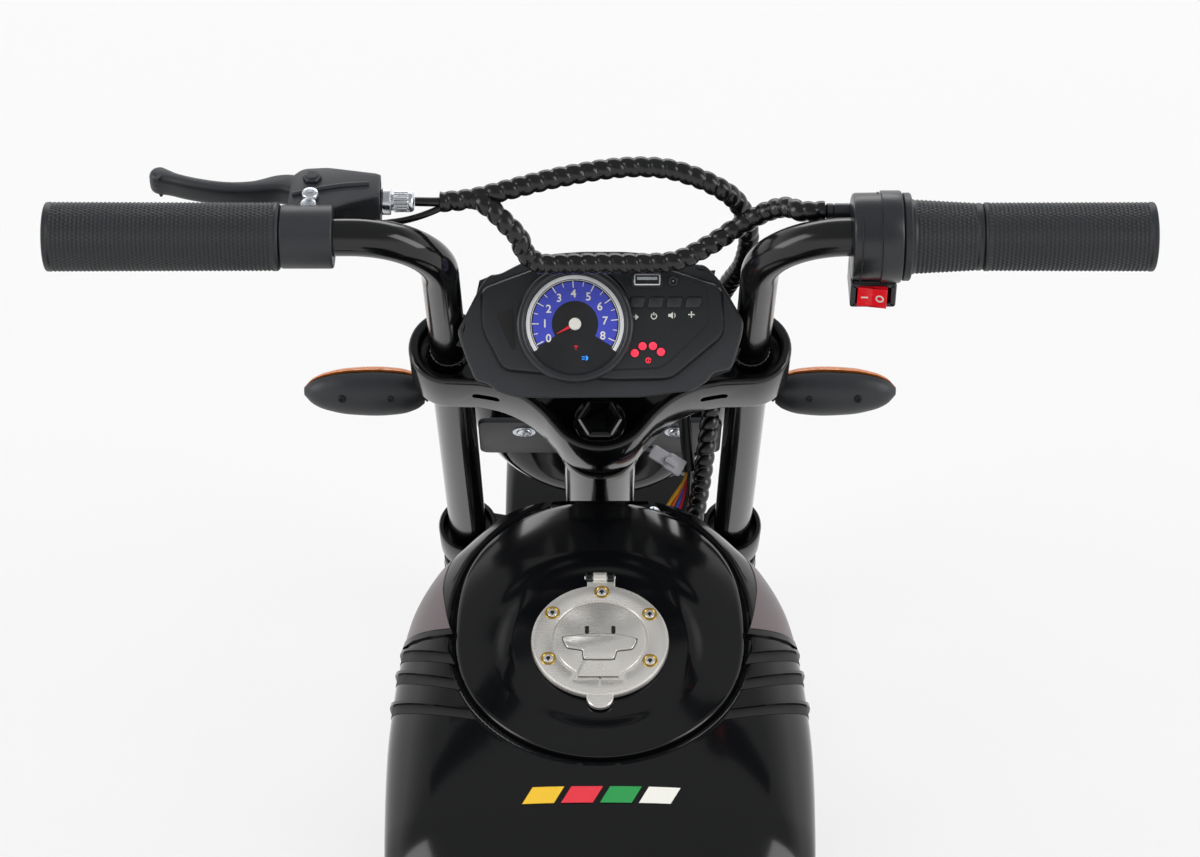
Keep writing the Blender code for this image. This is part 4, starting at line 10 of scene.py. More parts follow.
import bmesh
import bpy
import numpy as np
from bpy.props import FloatProperty, FloatVectorProperty, PointerProperty
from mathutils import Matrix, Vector


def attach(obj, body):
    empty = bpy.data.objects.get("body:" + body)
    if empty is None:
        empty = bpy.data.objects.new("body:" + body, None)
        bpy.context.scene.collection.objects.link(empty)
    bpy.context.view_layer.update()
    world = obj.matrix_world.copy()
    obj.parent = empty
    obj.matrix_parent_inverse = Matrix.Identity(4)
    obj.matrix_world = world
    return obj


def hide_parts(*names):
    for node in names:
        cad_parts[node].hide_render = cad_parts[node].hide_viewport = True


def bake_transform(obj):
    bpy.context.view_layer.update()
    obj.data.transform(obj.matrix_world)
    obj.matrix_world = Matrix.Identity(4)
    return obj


bl_info = {
    "name": "Kids motorcycle looks",
    "version": (1, 0, 0),
    "blender": (4, 5, 0),
    "location": "3D View > Sidebar > Motorcycle",
    "description": "Builds the visible pieces, finishes and studio of a child's ride-on motorcycle",
    "category": "Object",
}

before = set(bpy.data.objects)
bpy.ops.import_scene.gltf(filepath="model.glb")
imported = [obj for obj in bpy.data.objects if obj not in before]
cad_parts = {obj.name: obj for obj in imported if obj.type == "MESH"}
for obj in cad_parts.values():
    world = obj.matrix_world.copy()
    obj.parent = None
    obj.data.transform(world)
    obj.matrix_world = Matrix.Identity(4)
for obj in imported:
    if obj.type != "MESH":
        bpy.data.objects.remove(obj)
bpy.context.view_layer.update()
MM = 0.001

# Steering geometry
RAKE = radians(25.0)
AXLE_HEIGHT = 145.0
AXLE_Y = 378.0
STEM_BACK = 40.0
FORK_X = 79.5
YOKE_BOTTOM = 423.0
YOKE_HEIGHT = 34.0
YOKE_RIM = 5.5
YOKE_DISH = 8.0
YOKE_LOBE = 21.0
BAR_Z = 680.0
BAR_Y = 128.5
BAR_RADIUS = 9.5
BAR_END = 262.0
BAR_BEND = 42.0
BAR_MIDDLE = np.array((0.0, BAR_Y, BAR_Z))
YOKE_PLATFORM = YOKE_BOTTOM + YOKE_HEIGHT - YOKE_DISH
DASH_CENTRE = np.array((0.0, 140.0, 613.5))
DASH_NORMAL = np.array((0.0, -0.7314, 0.6820))
DASH_UP = np.array((0.0, 0.6820, 0.7314))
DASH_TOP = 4.0
DIAL_U = -12.5
FRONT_AXLE = np.array((0.0, AXLE_Y, AXLE_HEIGHT))
REAR_AXLE = np.array((0.0, -AXLE_Y, AXLE_HEIGHT))

FORK_UP = np.array((0.0, -sin(RAKE), cos(RAKE)))
FORK_AHEAD = np.array((0.0, cos(RAKE), sin(RAKE)))
X_AXIS = np.array((1.0, 0.0, 0.0))
Y_AXIS = np.array((0.0, 1.0, 0.0))
Z_AXIS = np.array((0.0, 0.0, 1.0))

# Tank tables: place along Y, then the value
TANK_TOP = ((-150, 402), (-130, 430), (-105, 450), (-80, 462), (-50, 472), (-4, 478), (43.4, 482.5),
            (100, 490), (142, 488))
TANK_WIDTHS = ((-145, 60), (-130, 78), (-105, 94), (-60, 106.5), (0, 108), (44, 106), (86, 100),
               (113, 90), (130, 77), (142, 66))
TANK_SIDES = ((-150, 385), (-100, 420), (-50, 438), (142, 440))
TANK_POWER = 2.4
TANK_SKIRT = 62.0
TANK_TUCK = 0.14
TANK_REAR = -145.0
TANK_FRONT = 142.0
CAP_Y = 43.4
CAP_Z = 482.5
CAP_SLOPE = radians(6.8)
TANK_MIDDLE = np.array((0.0, 0.0, 380.0))
TANK_WALL = 2.2
COVER_WIDE_Y = 55.0
COVER_HALF = 74.0
COVER_FRONT = 142.0
COVER_REAR = -26.0

SCREW_STEPS = 48

Shell = namedtuple("Shell", "points quads polygons uv material")
Place = namedtuple("Place", "origin axes")


# Places and small geometry

def unit(vector):
    """A vector divided by its own length."""
    vector = np.asarray(vector, float)
    return vector / np.linalg.norm(vector)


def unit_rows(rows):
    """Rows, or a grid of them, each divided by its own length."""
    return rows / np.maximum(np.linalg.norm(rows, axis=-1, keepdims=True), 1e-9)


def place(origin, x_axis, z_axis):
    """A frame whose z axis is kept exactly, and whose x axis is squared up to it."""
    z_axis = unit(z_axis)
    x_axis = np.asarray(x_axis, float)
    x_axis = unit(x_axis - z_axis * x_axis.dot(z_axis))
    return Place(np.asarray(origin, float), np.array((x_axis, np.cross(z_axis, x_axis), z_axis)))


def put(points, at):
    """Points measured in a frame, turned into world points: origin plus each coordinate times its axis."""
    return at.origin + np.asarray(points, float) @ at.axes


def fork_point(x, along, ahead=0.0):
    """Axle centre plus a side offset, a distance up the fork line and a distance ahead of it."""
    return FRONT_AXLE + X_AXIS * x + FORK_UP * along + FORK_AHEAD * ahead


def fork_place(x=0.0, along=0.0, ahead=0.0):
    return place(fork_point(x, along, ahead), X_AXIS, FORK_UP)


def dash_place(u=0.0, v=0.0, depth=0.0):
    """A frame on the dash's face: across, up the face and out towards the rider."""
    return place(DASH_CENTRE + X_AXIS * u + DASH_UP * v + DASH_NORMAL * depth, X_AXIS, DASH_NORMAL)


def lying_x(origin, side=1.0):
    """A frame whose z axis runs along the handlebar."""
    return place(origin, Z_AXIS, X_AXIS * side)


def upright(origin):
    return place(origin, X_AXIS, Z_AXIS)


def monotone(table, at):
    """Cubic through a table without overshoot: slopes are harmonic means of the two neighbouring slopes."""
    table = np.asarray(table, float)
    x, y = table.T
    slope = np.diff(y) / np.diff(x)
    product = slope[:-1] * slope[1:]
    inner = np.where(product > 0, 2 * product / np.where(product > 0, slope[:-1] + slope[1:], 1.0), 0.0)
    tangent = np.concatenate((slope[:1], inner, slope[-1:]))
    at = np.clip(np.asarray(at, float), x[0], x[-1])
    i = np.clip(np.searchsorted(x, at, side="right") - 1, 0, len(x) - 2)
    run = x[i + 1] - x[i]
    u = (at - x[i]) / run
    swing = run * (tangent[i] * u * (1 - u) ** 2 - tangent[i + 1] * u * u * (1 - u))
    return y[i] + (y[i + 1] - y[i]) * u * u * (3 - 2 * u) + swing


def eased(share):
    """A share held between 0 and 1 and softened at both: three times its square less twice its cube."""
    share = np.clip(share, 0.0, 1.0)
    return share * share * (3 - 2 * share)


def arc(centre, radius, start, end, steps):
    """Points on a circle from one angle to another, in degrees."""
    angle = np.radians(np.linspace(start, end, steps + 1))
    return np.stack((centre[0] + radius * np.cos(angle), centre[1] + radius * np.sin(angle)), axis=1)


def circle(radius, steps=48, centre=(0.0, 0.0)):
    return arc(centre, radius, 0.0, 360.0 - 360.0 / steps, steps - 1)


def rounded(points, radius, steps=4, closed=False):
    """A line whose corners become parabolas that start and end at the radius, or half a side, from them."""
    points = np.asarray(points, float)
    radii = np.broadcast_to(np.asarray(radius, float), (len(points),))
    before = np.roll(points, 1, axis=0)
    after = np.roll(points, -1, axis=0)
    back = np.linalg.norm(before - points, axis=1)
    ahead = np.linalg.norm(after - points, axis=1)
    cut_back = np.minimum(radii, back * 0.5) / np.maximum(back, 1e-9)
    cut_ahead = np.minimum(radii, ahead * 0.5) / np.maximum(ahead, 1e-9)
    start = points + (before - points) * cut_back[:, None]
    end = points + (after - points) * cut_ahead[:, None]
    u = np.linspace(0.0, 1.0, steps + 1)[None, :, None]
    corner = start[:, None] * (1 - u) ** 2 + points[:, None] * 2 * u * (1 - u) + end[:, None] * u * u
    if closed:
        return corner.reshape(-1, points.shape[1])
    inside = corner[1:-1].reshape(-1, points.shape[1])
    return np.concatenate((points[:1], inside, points[-1:]))


def resample(path, step):
    """The same line with points at an even distance, each found by its length along the line."""
    path = np.asarray(path, float)
    length = np.concatenate(((0.0,), np.cumsum(np.linalg.norm(np.diff(path, axis=0), axis=1))))
    count = max(2, int(round(length[-1] / step)) + 1)
    at = np.linspace(0.0, length[-1], count)
    return np.stack([np.interp(at, length, path[:, k]) for k in range(path.shape[1])], axis=1)


def spline(points, step):
    """A Catmull-Rom curve through the points: each span is a cubic with slopes from its neighbours."""
    points = np.asarray(points, float)
    ends = np.concatenate((points[:1] * 2 - points[1:2], points, points[-1:] * 2 - points[-2:-1]))
    a, b, c, d = ends[:-3], ends[1:-2], ends[2:-1], ends[3:]
    u = np.linspace(0.0, 1.0, 24, endpoint=False)[None, :, None]
    spans = 0.5 * (2 * b[:, None] + (c - a)[:, None] * u + (2 * a - 5 * b + 4 * c - d)[:, None] * u ** 2
                   + (3 * b - a - 3 * c + d)[:, None] * u ** 3)
    return resample(np.concatenate((spans.reshape(-1, points.shape[1]), points[-1:])), step)


def signed_area(outline):
    """Twice an outline's area, above zero where it runs anticlockwise."""
    ahead = np.roll(outline, -1, axis=0)
    return np.sum(outline[:, 0] * ahead[:, 1] - ahead[:, 0] * outline[:, 1])


def anticlockwise(points):
    """An outline turned so that it runs anticlockwise."""
    points = np.asarray(points, float)
    return points if signed_area(points) > 0 else points[::-1]


def left_of(line):
    """The unit normals on the left side of a flat line."""
    way = unit_rows(np.gradient(line, axis=0))
    return np.stack((-way[:, 1], way[:, 0]), axis=1)


def inset(outline, amount):
    """An outline moved inwards: each corner goes along the mean of its two sides' normals."""
    both = unit_rows(outline - np.roll(outline, 1, axis=0)) + unit_rows(np.roll(outline, -1, axis=0) - outline)
    normal = np.stack((-both[:, 1], both[:, 0]), axis=1)
    size = np.maximum(np.linalg.norm(normal, axis=1), 0.6)
    return outline + normal * (2.0 * np.sign(signed_area(outline)) * amount / size ** 2)[:, None]


def rectangle(width, height, radius, steps=5, centre=(0.0, 0.0)):
    x = width / 2
    y = height / 2
    corners = np.array(((x, y), (-x, y), (-x, -y), (x, -y))) + centre
    return rounded(corners, radius, steps, closed=True)


# Shells: closed surfaces put together from grids

def grid(points, material=0, cap_start=False, cap_end=False):
    """Quads between the neighbours of a grid of points; a cap closes the loop of its first or last row.

    Its UV map holds the mean length across and down the grid, so a pattern on it keeps its real size.
    """
    points = np.asarray(points, float)
    rows, cols = points.shape[:2]
    index = np.arange(rows * cols).reshape(rows, cols)
    quads = np.stack((index[:-1, :-1], index[:-1, 1:], index[1:, 1:], index[1:, :-1]), axis=-1).reshape(-1, 4)
    caps = []
    if cap_start:
        caps.append(index[0, -2::-1].tolist())
    if cap_end:
        caps.append(index[-1, :-1].tolist())
    along = np.linalg.norm(np.diff(points, axis=0), axis=2).mean(axis=1)
    around = np.linalg.norm(np.diff(points, axis=1), axis=2).mean(axis=0)
    v = np.concatenate(((0.0,), np.cumsum(along)))
    u = np.concatenate(((0.0,), np.cumsum(around)))
    uv = np.stack(np.broadcast_arrays(u[None, :], v[:, None]), axis=-1)
    return Shell(points.reshape(-1, 3), quads, caps, uv.reshape(-1, 2), material)


def ring_closed(points):
    """Repeats the first column at the end, so that a loop of columns closes."""
    return np.concatenate((points, points[:, :1]), axis=1)


def turned(profile, at, material=0, steps=96, ripple=None):
    """A profile of radius and height spun about the z axis; ripple adds to the radius for each row and angle."""
    profile = np.asarray(profile, float)
    angle = np.linspace(0.0, 2 * pi, steps + 1)
    radius = np.repeat(profile[:, :1], steps + 1, axis=1)
    if ripple is not None:
        radius = radius + ripple(profile, angle)
    height = np.broadcast_to(profile[:, 1:], radius.shape)
    points = np.stack((radius * np.cos(angle), radius * np.sin(angle), height), axis=-1)
    return grid(put(points, at), material, profile[0, 0] > 0.01, profile[-1, 0] > 0.01)


def turned_ring(profile, at, material=0, steps=96, ripple=None):
    """A closed profile spun about the z axis, which leaves its middle open."""
    profile = np.asarray(profile, float)
    shell = turned(np.concatenate((profile, profile[:1])), at, material, steps, ripple)
    return shell._replace(polygons=[])


def swept(path, radii, reference, material=0, cols=24, caps=True):
    """A tube along a path: at each point the circle's first axis is the reference squared up to the tangent."""
    path = np.asarray(path, float)
    tangent = unit_rows(np.gradient(path, axis=0))
    first = unit_rows(reference - tangent * (tangent @ np.asarray(reference, float))[:, None])
    second = np.cross(tangent, first)
    angle = np.linspace(0.0, 2 * pi, cols + 1)
    radii = np.asarray(radii, float)
    radii = np.broadcast_to(radii if radii.ndim == 2 else radii.reshape(-1, 1), (len(path), cols + 1))
    ring = first[:, None] * np.cos(angle)[None, :, None] + second[:, None] * np.sin(angle)[None, :, None]
    return grid(path[:, None] + ring * radii[..., None], material, caps, caps)


def plated(outline, rows, at, material=0):
    """An outline raised through rows of inset and height, closed flat at its first and last row."""
    outline = np.asarray(outline, float)
    rings = [np.column_stack((inset(outline, step), np.full(len(outline), height))) for step, height in rows]
    return grid(put(ring_closed(np.stack(rings)), at), material, True, True)


def edge_rows(low, high, round_low=0.6, round_high=0.6, steps=4):
    """Rows of a plate whose two edges are rounded by quarter circles."""
    angle = np.radians(np.linspace(0.0, 90.0, steps + 1))
    bottom = [(round_low * (1 - sin(a)), low + round_low * (1 - cos(a))) for a in angle]
    top = [(round_high * (1 - cos(a)), high - round_high * (1 - sin(a))) for a in angle]
    return bottom + top


def block(measure, at, material=0, corner=1.0, edge=0.6):
    """A plate with a rounded rectangular outline and rounded edges."""
    outline = rectangle(measure[0], measure[1], corner)
    return plated(outline, edge_rows(-measure[2] / 2, measure[2] / 2, edge, edge), at, material)


def grid_normals(points):
    """Unit normals of a grid: the cross product of its slopes across and down."""
    return unit_rows(np.cross(np.gradient(points, axis=1), np.gradient(points, axis=0)))


def two_sided(points, thickness, material=0):
    """A sheet given body: the grid, the same grid moved along its normals, and a strip round the open edges."""
    under = points + grid_normals(points) * thickness
    return grid(ring_closed(np.concatenate((points, under[:, ::-1]), axis=1)), material, True, True)


def headed(at, radius, height, recess="cross", material=0, dome=0.35):
    """A screw head from a height field: a shallow dome with a sunk cross or hexagon."""
    share = np.concatenate((np.linspace(0.0, 0.9, 22), (0.95, 0.985, 1.0)))[:, None]
    angle = np.linspace(0.0, 2 * pi, SCREW_STEPS + 1)[None, :]
    x = share * radius * np.cos(angle)
    y = share * radius * np.sin(angle)
    top = height - dome * height * share ** 2 - 0.45 * height * np.clip((share - 0.86) / 0.14, 0, 1) ** 2
    if recess == "hex":
        turn = np.mod(angle, pi / 3) - pi / 6
        away = share * radius * np.cos(turn) - radius * 0.48
    else:
        away = np.maximum(np.minimum(np.abs(x), np.abs(y)) - radius * 0.11, share * radius - radius * 0.62)
    top = top - 0.7 * height * eased(0.5 - away / (radius * 0.10))
    field = np.stack(np.broadcast_arrays(x, y, top), axis=-1)
    foot = np.array(field[-1:])
    foot[..., 2] = -0.4
    return grid(put(np.concatenate((field, foot)), at), material, False, True)


def lettering(text, size, at, material=0, depth=0.15):
    """Characters as thin solids, centred on a frame's origin."""
    curve = bpy.data.curves.new("characters", "FONT")
    curve.body = text
    curve.size = size * MM
    curve.extrude = depth * MM / 2
    curve.offset = 0.018 * size * MM
    curve.align_x = "CENTER"
    curve.align_y = "CENTER"
    holder = bpy.data.objects.new("characters", curve)
    bpy.context.scene.collection.objects.link(holder)
    bpy.context.view_layer.update()
    mesh = bpy.data.meshes.new_from_object(holder.evaluated_get(bpy.context.evaluated_depsgraph_get()))
    points = np.zeros(len(mesh.vertices) * 3)
    mesh.vertices.foreach_get("co", points)
    points = points.reshape(-1, 3) / MM
    polygons = [list(p.vertices) for p in mesh.polygons]
    bpy.data.objects.remove(holder)
    bpy.data.meshes.remove(mesh)
    bpy.data.curves.remove(curve)
    return Shell(put(points, at), np.zeros((0, 4), int), polygons, points[:, :2], material)


def make_mesh(name, shells, sharp=35.0):
    """One mesh from several closed shells: doubles merged, normals outwards and edges sharp above an angle."""
    starts = np.cumsum([0] + [len(s.points) for s in shells])
    points = np.concatenate([s.points for s in shells]) * MM
    faces = []
    kinds = []
    for start, shell in zip(starts, shells):
        part = (shell.quads + start).tolist() + [[i + int(start) for i in p] for p in shell.polygons]
        faces += part
        kinds += [shell.material] * len(part)
    mesh = bpy.data.meshes.new(name)
    mesh.from_pydata(points, [], faces)
    mesh.polygons.foreach_set("material_index", np.array(kinds, np.int32))
    uv = np.concatenate([s.uv for s in shells]) * MM
    corner = np.zeros(len(mesh.loops), np.int32)
    mesh.loops.foreach_get("vertex_index", corner)
    layer = mesh.uv_layers.new(name="surface")
    layer.data.foreach_set("uv", uv[corner].astype(np.float32).ravel())
    work = bmesh.new()
    work.from_mesh(mesh)
    bmesh.ops.remove_doubles(work, verts=work.verts, dist=1e-6)
    bmesh.ops.dissolve_degenerate(work, edges=work.edges, dist=1e-7)
    bmesh.ops.recalc_face_normals(work, faces=work.faces)
    work.to_mesh(mesh)
    work.free()
    mesh.polygons.foreach_set("use_smooth", np.ones(len(mesh.polygons), bool))
    mesh.set_sharp_from_angle(angle=radians(sharp))
    return mesh


def build_piece(name, body, shells, finishes, nodes=(), sharp=35.0):
    """Makes a piece from shells, gives it its finishes and lets it ride on a body in place of CAD nodes; given two
    bodies, it rides on neither and stays where it is made.
    """
    mesh = make_mesh(name, shells, sharp=sharp)
    piece = bpy.data.objects.new(name, mesh)
    bpy.context.scene.collection.objects.link(piece)
    for finish_name in finishes:
        mesh.materials.append(finished(finish_name))
    if isinstance(body, tuple):
        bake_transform(piece)
    else:
        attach(piece, body)
    if nodes:
        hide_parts(*nodes)
    return piece


# Finishes

def colour(code):
    """A hex colour as linear red, green, blue and alpha."""
    channels = np.array([int(code[i:i + 2], 16) for i in (1, 3, 5)]) / 255.0
    value = np.where(channels <= 0.04045, channels / 12.92, ((channels + 0.055) / 1.055) ** 2.4)
    return (*value.tolist(), 1.0)


def add_node(tree, kind, sockets=None, **settings):
    """Adds a shader node, sets its properties, and sets or links its sockets."""
    node = tree.nodes.new(kind)
    for name, value in settings.items():
        setattr(node, name, value)
    for name, value in (sockets or {}).items():
        if isinstance(value, bpy.types.NodeSocket):
            tree.links.new(value, node.inputs[name])
        else:
            node.inputs[name].default_value = value
    return node


def finish(name, base, rough, metal=0.0, coat=0.0, grain=None, depth=0.0, cells=False, patch=60.0,
           shade=0.12, rough_spread=0.06, dust=None, clear=0.0, glow=0.0, ior=1.5, scratch=0.0):
    """A procedural surface: its colour and roughness drift over patches, and a fine grain lifts its normals.

    Sizes are in millimetres, and a noise's scale is one over its size in metres. Map Range's sockets are the
    value, its lowest and highest, and what these become.
    """
    made = bpy.data.materials.new(name)
    made.use_nodes = True
    tree = made.node_tree
    tree.nodes.clear()
    place_node = add_node(tree, "ShaderNodeTexCoord").outputs["Object"]
    drift = add_node(tree, "ShaderNodeTexNoise", {"Vector": place_node, "Scale": 1000.0 / patch, "Detail": 3.0})
    drift = drift.outputs["Fac"]
    dark = tuple(c * (1.0 - shade) for c in base[:3]) + (1.0,)
    light = tuple(min(c * (1.0 + shade) + 0.004 * shade, 1.0) for c in base[:3]) + (1.0,)
    blend = add_node(tree, "ShaderNodeMix", {0: drift, 6: dark, 7: light}, data_type="RGBA")
    tint = blend.outputs[2]
    if dust:
        speck = add_node(tree, "ShaderNodeTexNoise", {"Vector": place_node, "Scale": 2200.0, "Detail": 2.0})
        amount = add_node(tree, "ShaderNodeMapRange", {0: speck.outputs["Fac"], 1: 0.62, 2: 0.74, 3: 0.0,
                                                       4: 0.35}).outputs[0]
        layer = add_node(tree, "ShaderNodeMix", {0: amount, 6: tint, 7: colour(dust)}, data_type="RGBA")
        tint = layer.outputs[2]
    smoothest = max(rough - rough_spread, 0.02)
    roughness = add_node(tree, "ShaderNodeMapRange", {0: drift, 1: 0.3, 2: 0.7, 3: smoothest,
                                                      4: rough + rough_spread}).outputs[0]
    if scratch:
        streak = add_node(tree, "ShaderNodeMapping", {"Vector": place_node, "Scale": (90.0, 2600.0, 2600.0)})
        lines = add_node(tree, "ShaderNodeTexNoise", {"Vector": streak.outputs["Vector"], "Scale": 1.0})
        extra = add_node(tree, "ShaderNodeMapRange", {0: lines.outputs["Fac"], 1: 0.4, 2: 0.7, 3: 0.0,
                                                      4: scratch}).outputs[0]
        roughness = add_node(tree, "ShaderNodeMath", {0: roughness, 1: extra}, operation="ADD").outputs[0]
    sockets = {"Base Color": tint, "Roughness": roughness, "Metallic": metal, "Coat Weight": coat,
               "Coat Roughness": 0.04, "Transmission Weight": clear}
    if not metal:
        sockets["IOR"] = ior
    if glow:
        sockets["Emission Color"] = tint
        sockets["Emission Strength"] = glow
    if grain:
        if cells:
            field = add_node(tree, "ShaderNodeTexVoronoi", {"Vector": place_node, "Scale": 1000.0 / grain})
            height = field.outputs["Distance"]
        else:
            field = add_node(tree, "ShaderNodeTexNoise", {"Vector": place_node, "Scale": 1000.0 / grain,
                                                          "Detail": 2.0})
            height = field.outputs["Fac"]
        bump = add_node(tree, "ShaderNodeBump", {"Height": height, "Distance": depth * MM, "Strength": 0.6})
        sockets["Normal"] = bump.outputs["Normal"]
    shader = add_node(tree, "ShaderNodeBsdfPrincipled", sockets)
    output = add_node(tree, "ShaderNodeOutputMaterial")
    tree.links.new(shader.outputs["BSDF"], output.inputs["Surface"])
    return made


FINISHES = {
    # Sprayed and baked enamel on steel: near black, with a very faint orange peel that softens reflections
    "enamel": dict(code="#0a0b0d", rough=0.14, coat=0.15, grain=6.0, depth=0.02, patch=90.0, ior=1.46),
    # Moulded gloss ABS of the tank: deep black with broad, slightly wavy reflections
    "gloss_shell": dict(code="#090a0c", rough=0.13, coat=0.1, grain=14.0, depth=0.04, patch=120.0, ior=1.44),
    # Moulded ABS from a spark-eroded tool: charcoal with a fine even grain that spreads the light
    "satin_plastic": dict(code="#26282c", rough=0.44, grain=0.55, depth=0.05, patch=45.0, dust="#484b51"),
    # Coarser grain of the dash's rim: the same plastic with a pebbled skin
    "grained_plastic": dict(code="#25272b", rough=0.50, grain=0.9, depth=0.10, cells=True, patch=40.0,
                            dust="#4c4f56"),
    # Smooth semi-gloss ABS of the dash's raised panel and the throttle housing
    "panel_plastic": dict(code="#1f2125", rough=0.30, grain=0.5, depth=0.02, patch=50.0),
    # Thermoplastic rubber of the grips: dull, slightly bluish black with a dusty bloom
    "grip_rubber": dict(code="#1b1e22", rough=0.45, grain=0.4, depth=0.05, patch=20.0, dust="#3a4046"),
    # Vacuum-plated chrome of the filler cap: bright, with small soft ripples
    "cap_chrome": dict(code="#efece7", rough=0.28, metal=0.72, grain=2.0, depth=0.006, patch=40.0, shade=0.04,
                       scratch=0.05),
    # Painted shade of the thin gap round the key cover and of the cap's fold: a dull, dark zinc-like plate under
    # the key cover and a strip in the fold
    "cap_gap": dict(code="#5d5a5c", rough=0.55, metal=0.6, grain=1.0, depth=0.01, patch=10.0),
    # Lacquered silver ring of the dial
    "silver": dict(code="#f4f5f7", rough=0.34, metal=0.10, patch=15.0, shade=0.05, scratch=0.05),
    # Zinc plate with a blue passivated cast and fine wiping marks
    "zinc": dict(code="#dfe3e8", rough=0.26, metal=1.0, grain=0.8, depth=0.015, patch=8.0, scratch=0.08),
    # Yellow passivated screw heads, warmer than zinc
    "brass": dict(code="#c9a64e", rough=0.28, metal=1.0, patch=6.0, scratch=0.08),
    # Moulded tyre compound: matt, dry black with road dust in its grain
    "tyre": dict(code="#1b1c1e", rough=0.80, grain=0.7, depth=0.10, patch=35.0, dust="#4a4a4a"),
    # Moulded rim in semi-gloss dark grey plastic
    "rim": dict(code="#303237", rough=0.32, grain=3.0, depth=0.03, patch=60.0),
    # Clear polycarbonate lens with a faint cool cast
    "clear_lens": dict(code="#eef3f8", rough=0.05, clear=0.92, grain=9.0, depth=0.05, patch=30.0, ior=1.58),
    # Orange tinted indicator lens that holds some light
    "orange_lens": dict(code="#ff8a2a", rough=0.12, clear=0.35, grain=2.2, depth=0.2, cells=True, patch=12.0),
    # Red tinted tail lens with a pressed pattern of small cells
    "red_lens": dict(code="#c1121c", rough=0.12, clear=0.30, grain=2.5, depth=0.25, cells=True, patch=12.0),
    # Bright reflector bowl behind the headlight's lens
    "reflector": dict(code="#dfe5ea", rough=0.10, metal=1.0, grain=5.0, depth=0.25, cells=True, patch=20.0),
    # Red translucent rocker moulding, lit softly by its own lamp
    "rocker_red": dict(code="#ee1220", rough=0.24, grain=2.0, depth=0.02, patch=8.0, glow=0.12),
    # Pad printed inks of the dial
    "ink_white": dict(code="#efeee6", rough=0.45, patch=5.0, shade=0.04),
    "ink_blue": dict(code="#4852c8", rough=0.30, patch=9.0, shade=0.06),
    "ink_dark": dict(code="#17181b", rough=0.36, grain=0.5, depth=0.02, patch=12.0),
    "ink_red": dict(code="#e8283c", rough=0.35, patch=5.0, shade=0.05),
    "ink_yellow": dict(code="#f2c21c", rough=0.32, patch=9.0, shade=0.05),
    "ink_green": dict(code="#1f9a4a", rough=0.32, patch=9.0, shade=0.05),
    # Lit lamp windows in the dash
    "lamp_red": dict(code="#ff2e48", rough=0.30, patch=3.0, shade=0.15, glow=0.9),
    "lamp_blue": dict(code="#2e8cff", rough=0.30, patch=3.0, shade=0.15, glow=0.8),
    # Grey-brown translucent moulding of the tank's side windows
    "window": dict(code="#6f6567", rough=0.34, grain=1.2, depth=0.03, patch=25.0, shade=0.10),
    # Painted shade: rough, almost black, laid in recesses, gaps, slots, openings, the parting line and under
    # louvres; the tyre valves take it as their own near-black colour
    "recess": dict(code="#0c0c0e", rough=0.62, grain=0.8, depth=0.05, patch=12.0),
    # Embossed leathercloth of the seat: pebbled vinyl with a low sheen
    "vinyl": dict(code="#1e1f21", rough=0.46, grain=1.5, depth=0.16, cells=True, patch=70.0, dust="#3c3d40"),
    # Seam thread of the seat
    "thread": dict(code="#55575c", rough=0.70, grain=0.35, depth=0.10, patch=4.0),
    # Black polyethylene spiral wrap: waxy, with bright edges on each turn
    "wrap": dict(code="#0b0c0e", rough=0.22, grain=1.8, depth=0.03, patch=14.0),
    # Matt battery case in dark grey ABS
    "battery": dict(code="#3a3c40", rough=0.52, grain=0.7, depth=0.06, patch=40.0),
    # White nylon connector body
    "nylon": dict(code="#e4e4ea", rough=0.38, grain=1.5, depth=0.02, patch=6.0, shade=0.05),
    # PVC insulation of the wires, one colour each
    "wire_black": dict(code="#15161a", rough=0.34, grain=1.0, depth=0.02, patch=6.0),
    "wire_white": dict(code="#e6e6e2", rough=0.34, grain=1.0, depth=0.02, patch=6.0, shade=0.05),
    "wire_red": dict(code="#d81c38", rough=0.34, grain=1.0, depth=0.02, patch=6.0),
    "wire_orange": dict(code="#f06a10", rough=0.34, grain=1.0, depth=0.02, patch=6.0),
    "wire_yellow": dict(code="#f0b020", rough=0.34, grain=1.0, depth=0.02, patch=6.0),
    "wire_blue": dict(code="#1f63e0", rough=0.34, grain=1.0, depth=0.02, patch=6.0),
}
_made = {}


def finished(name):
    """The finish of that name, made once, in the settings' colour where they have one for it."""
    if name not in _made:
        kind = dict(FINISHES[name])
        base = colour(kind.pop("code"))
        _made[name] = finish(name, tuple(getattr(bpy.context.scene.motorcycle_colours, name, base)), **kind)
    return _made[name]


# Steering pieces

def yoke_outline():
    """Plan of the upper yoke: straight front, two round lobes and a back swept in to the stem."""
    half = ((0, -59), (9, -57.4), (18.5, -52), (26, -43.5), (31, -37.5), (40, -30), (52, -24.2), (64, -21.6))
    lobe = arc((FORK_X, 0.0), YOKE_LOBE, -88.0, 116.0, 26)
    front = np.array(((60.0, 16.0), (30.0, 16.0), (0.0, 16.0)))
    side = np.concatenate((spline(half, 2.5), lobe, front))
    return np.concatenate((side, side[1:-1][::-1] * (-1.0, 1.0)))


def cut_away(piece, shells):
    """Cuts closed shells out of a piece with an exact boolean, which is applied at once."""
    cutter = bpy.data.objects.new("cutter", make_mesh("cutter", shells))
    bpy.context.scene.collection.objects.link(cutter)
    carve = piece.modifiers.new("cut", "BOOLEAN")
    carve.object = cutter
    carve.operation = "DIFFERENCE"
    carve.solver = "EXACT"
    bpy.context.view_layer.update()
    result = bpy.data.meshes.new_from_object(piece.evaluated_get(bpy.context.evaluated_depsgraph_get()))
    piece.modifiers.remove(carve)
    piece.data = result
    result.set_sharp_from_angle(angle=radians(35.0))
    bpy.data.objects.remove(cutter)


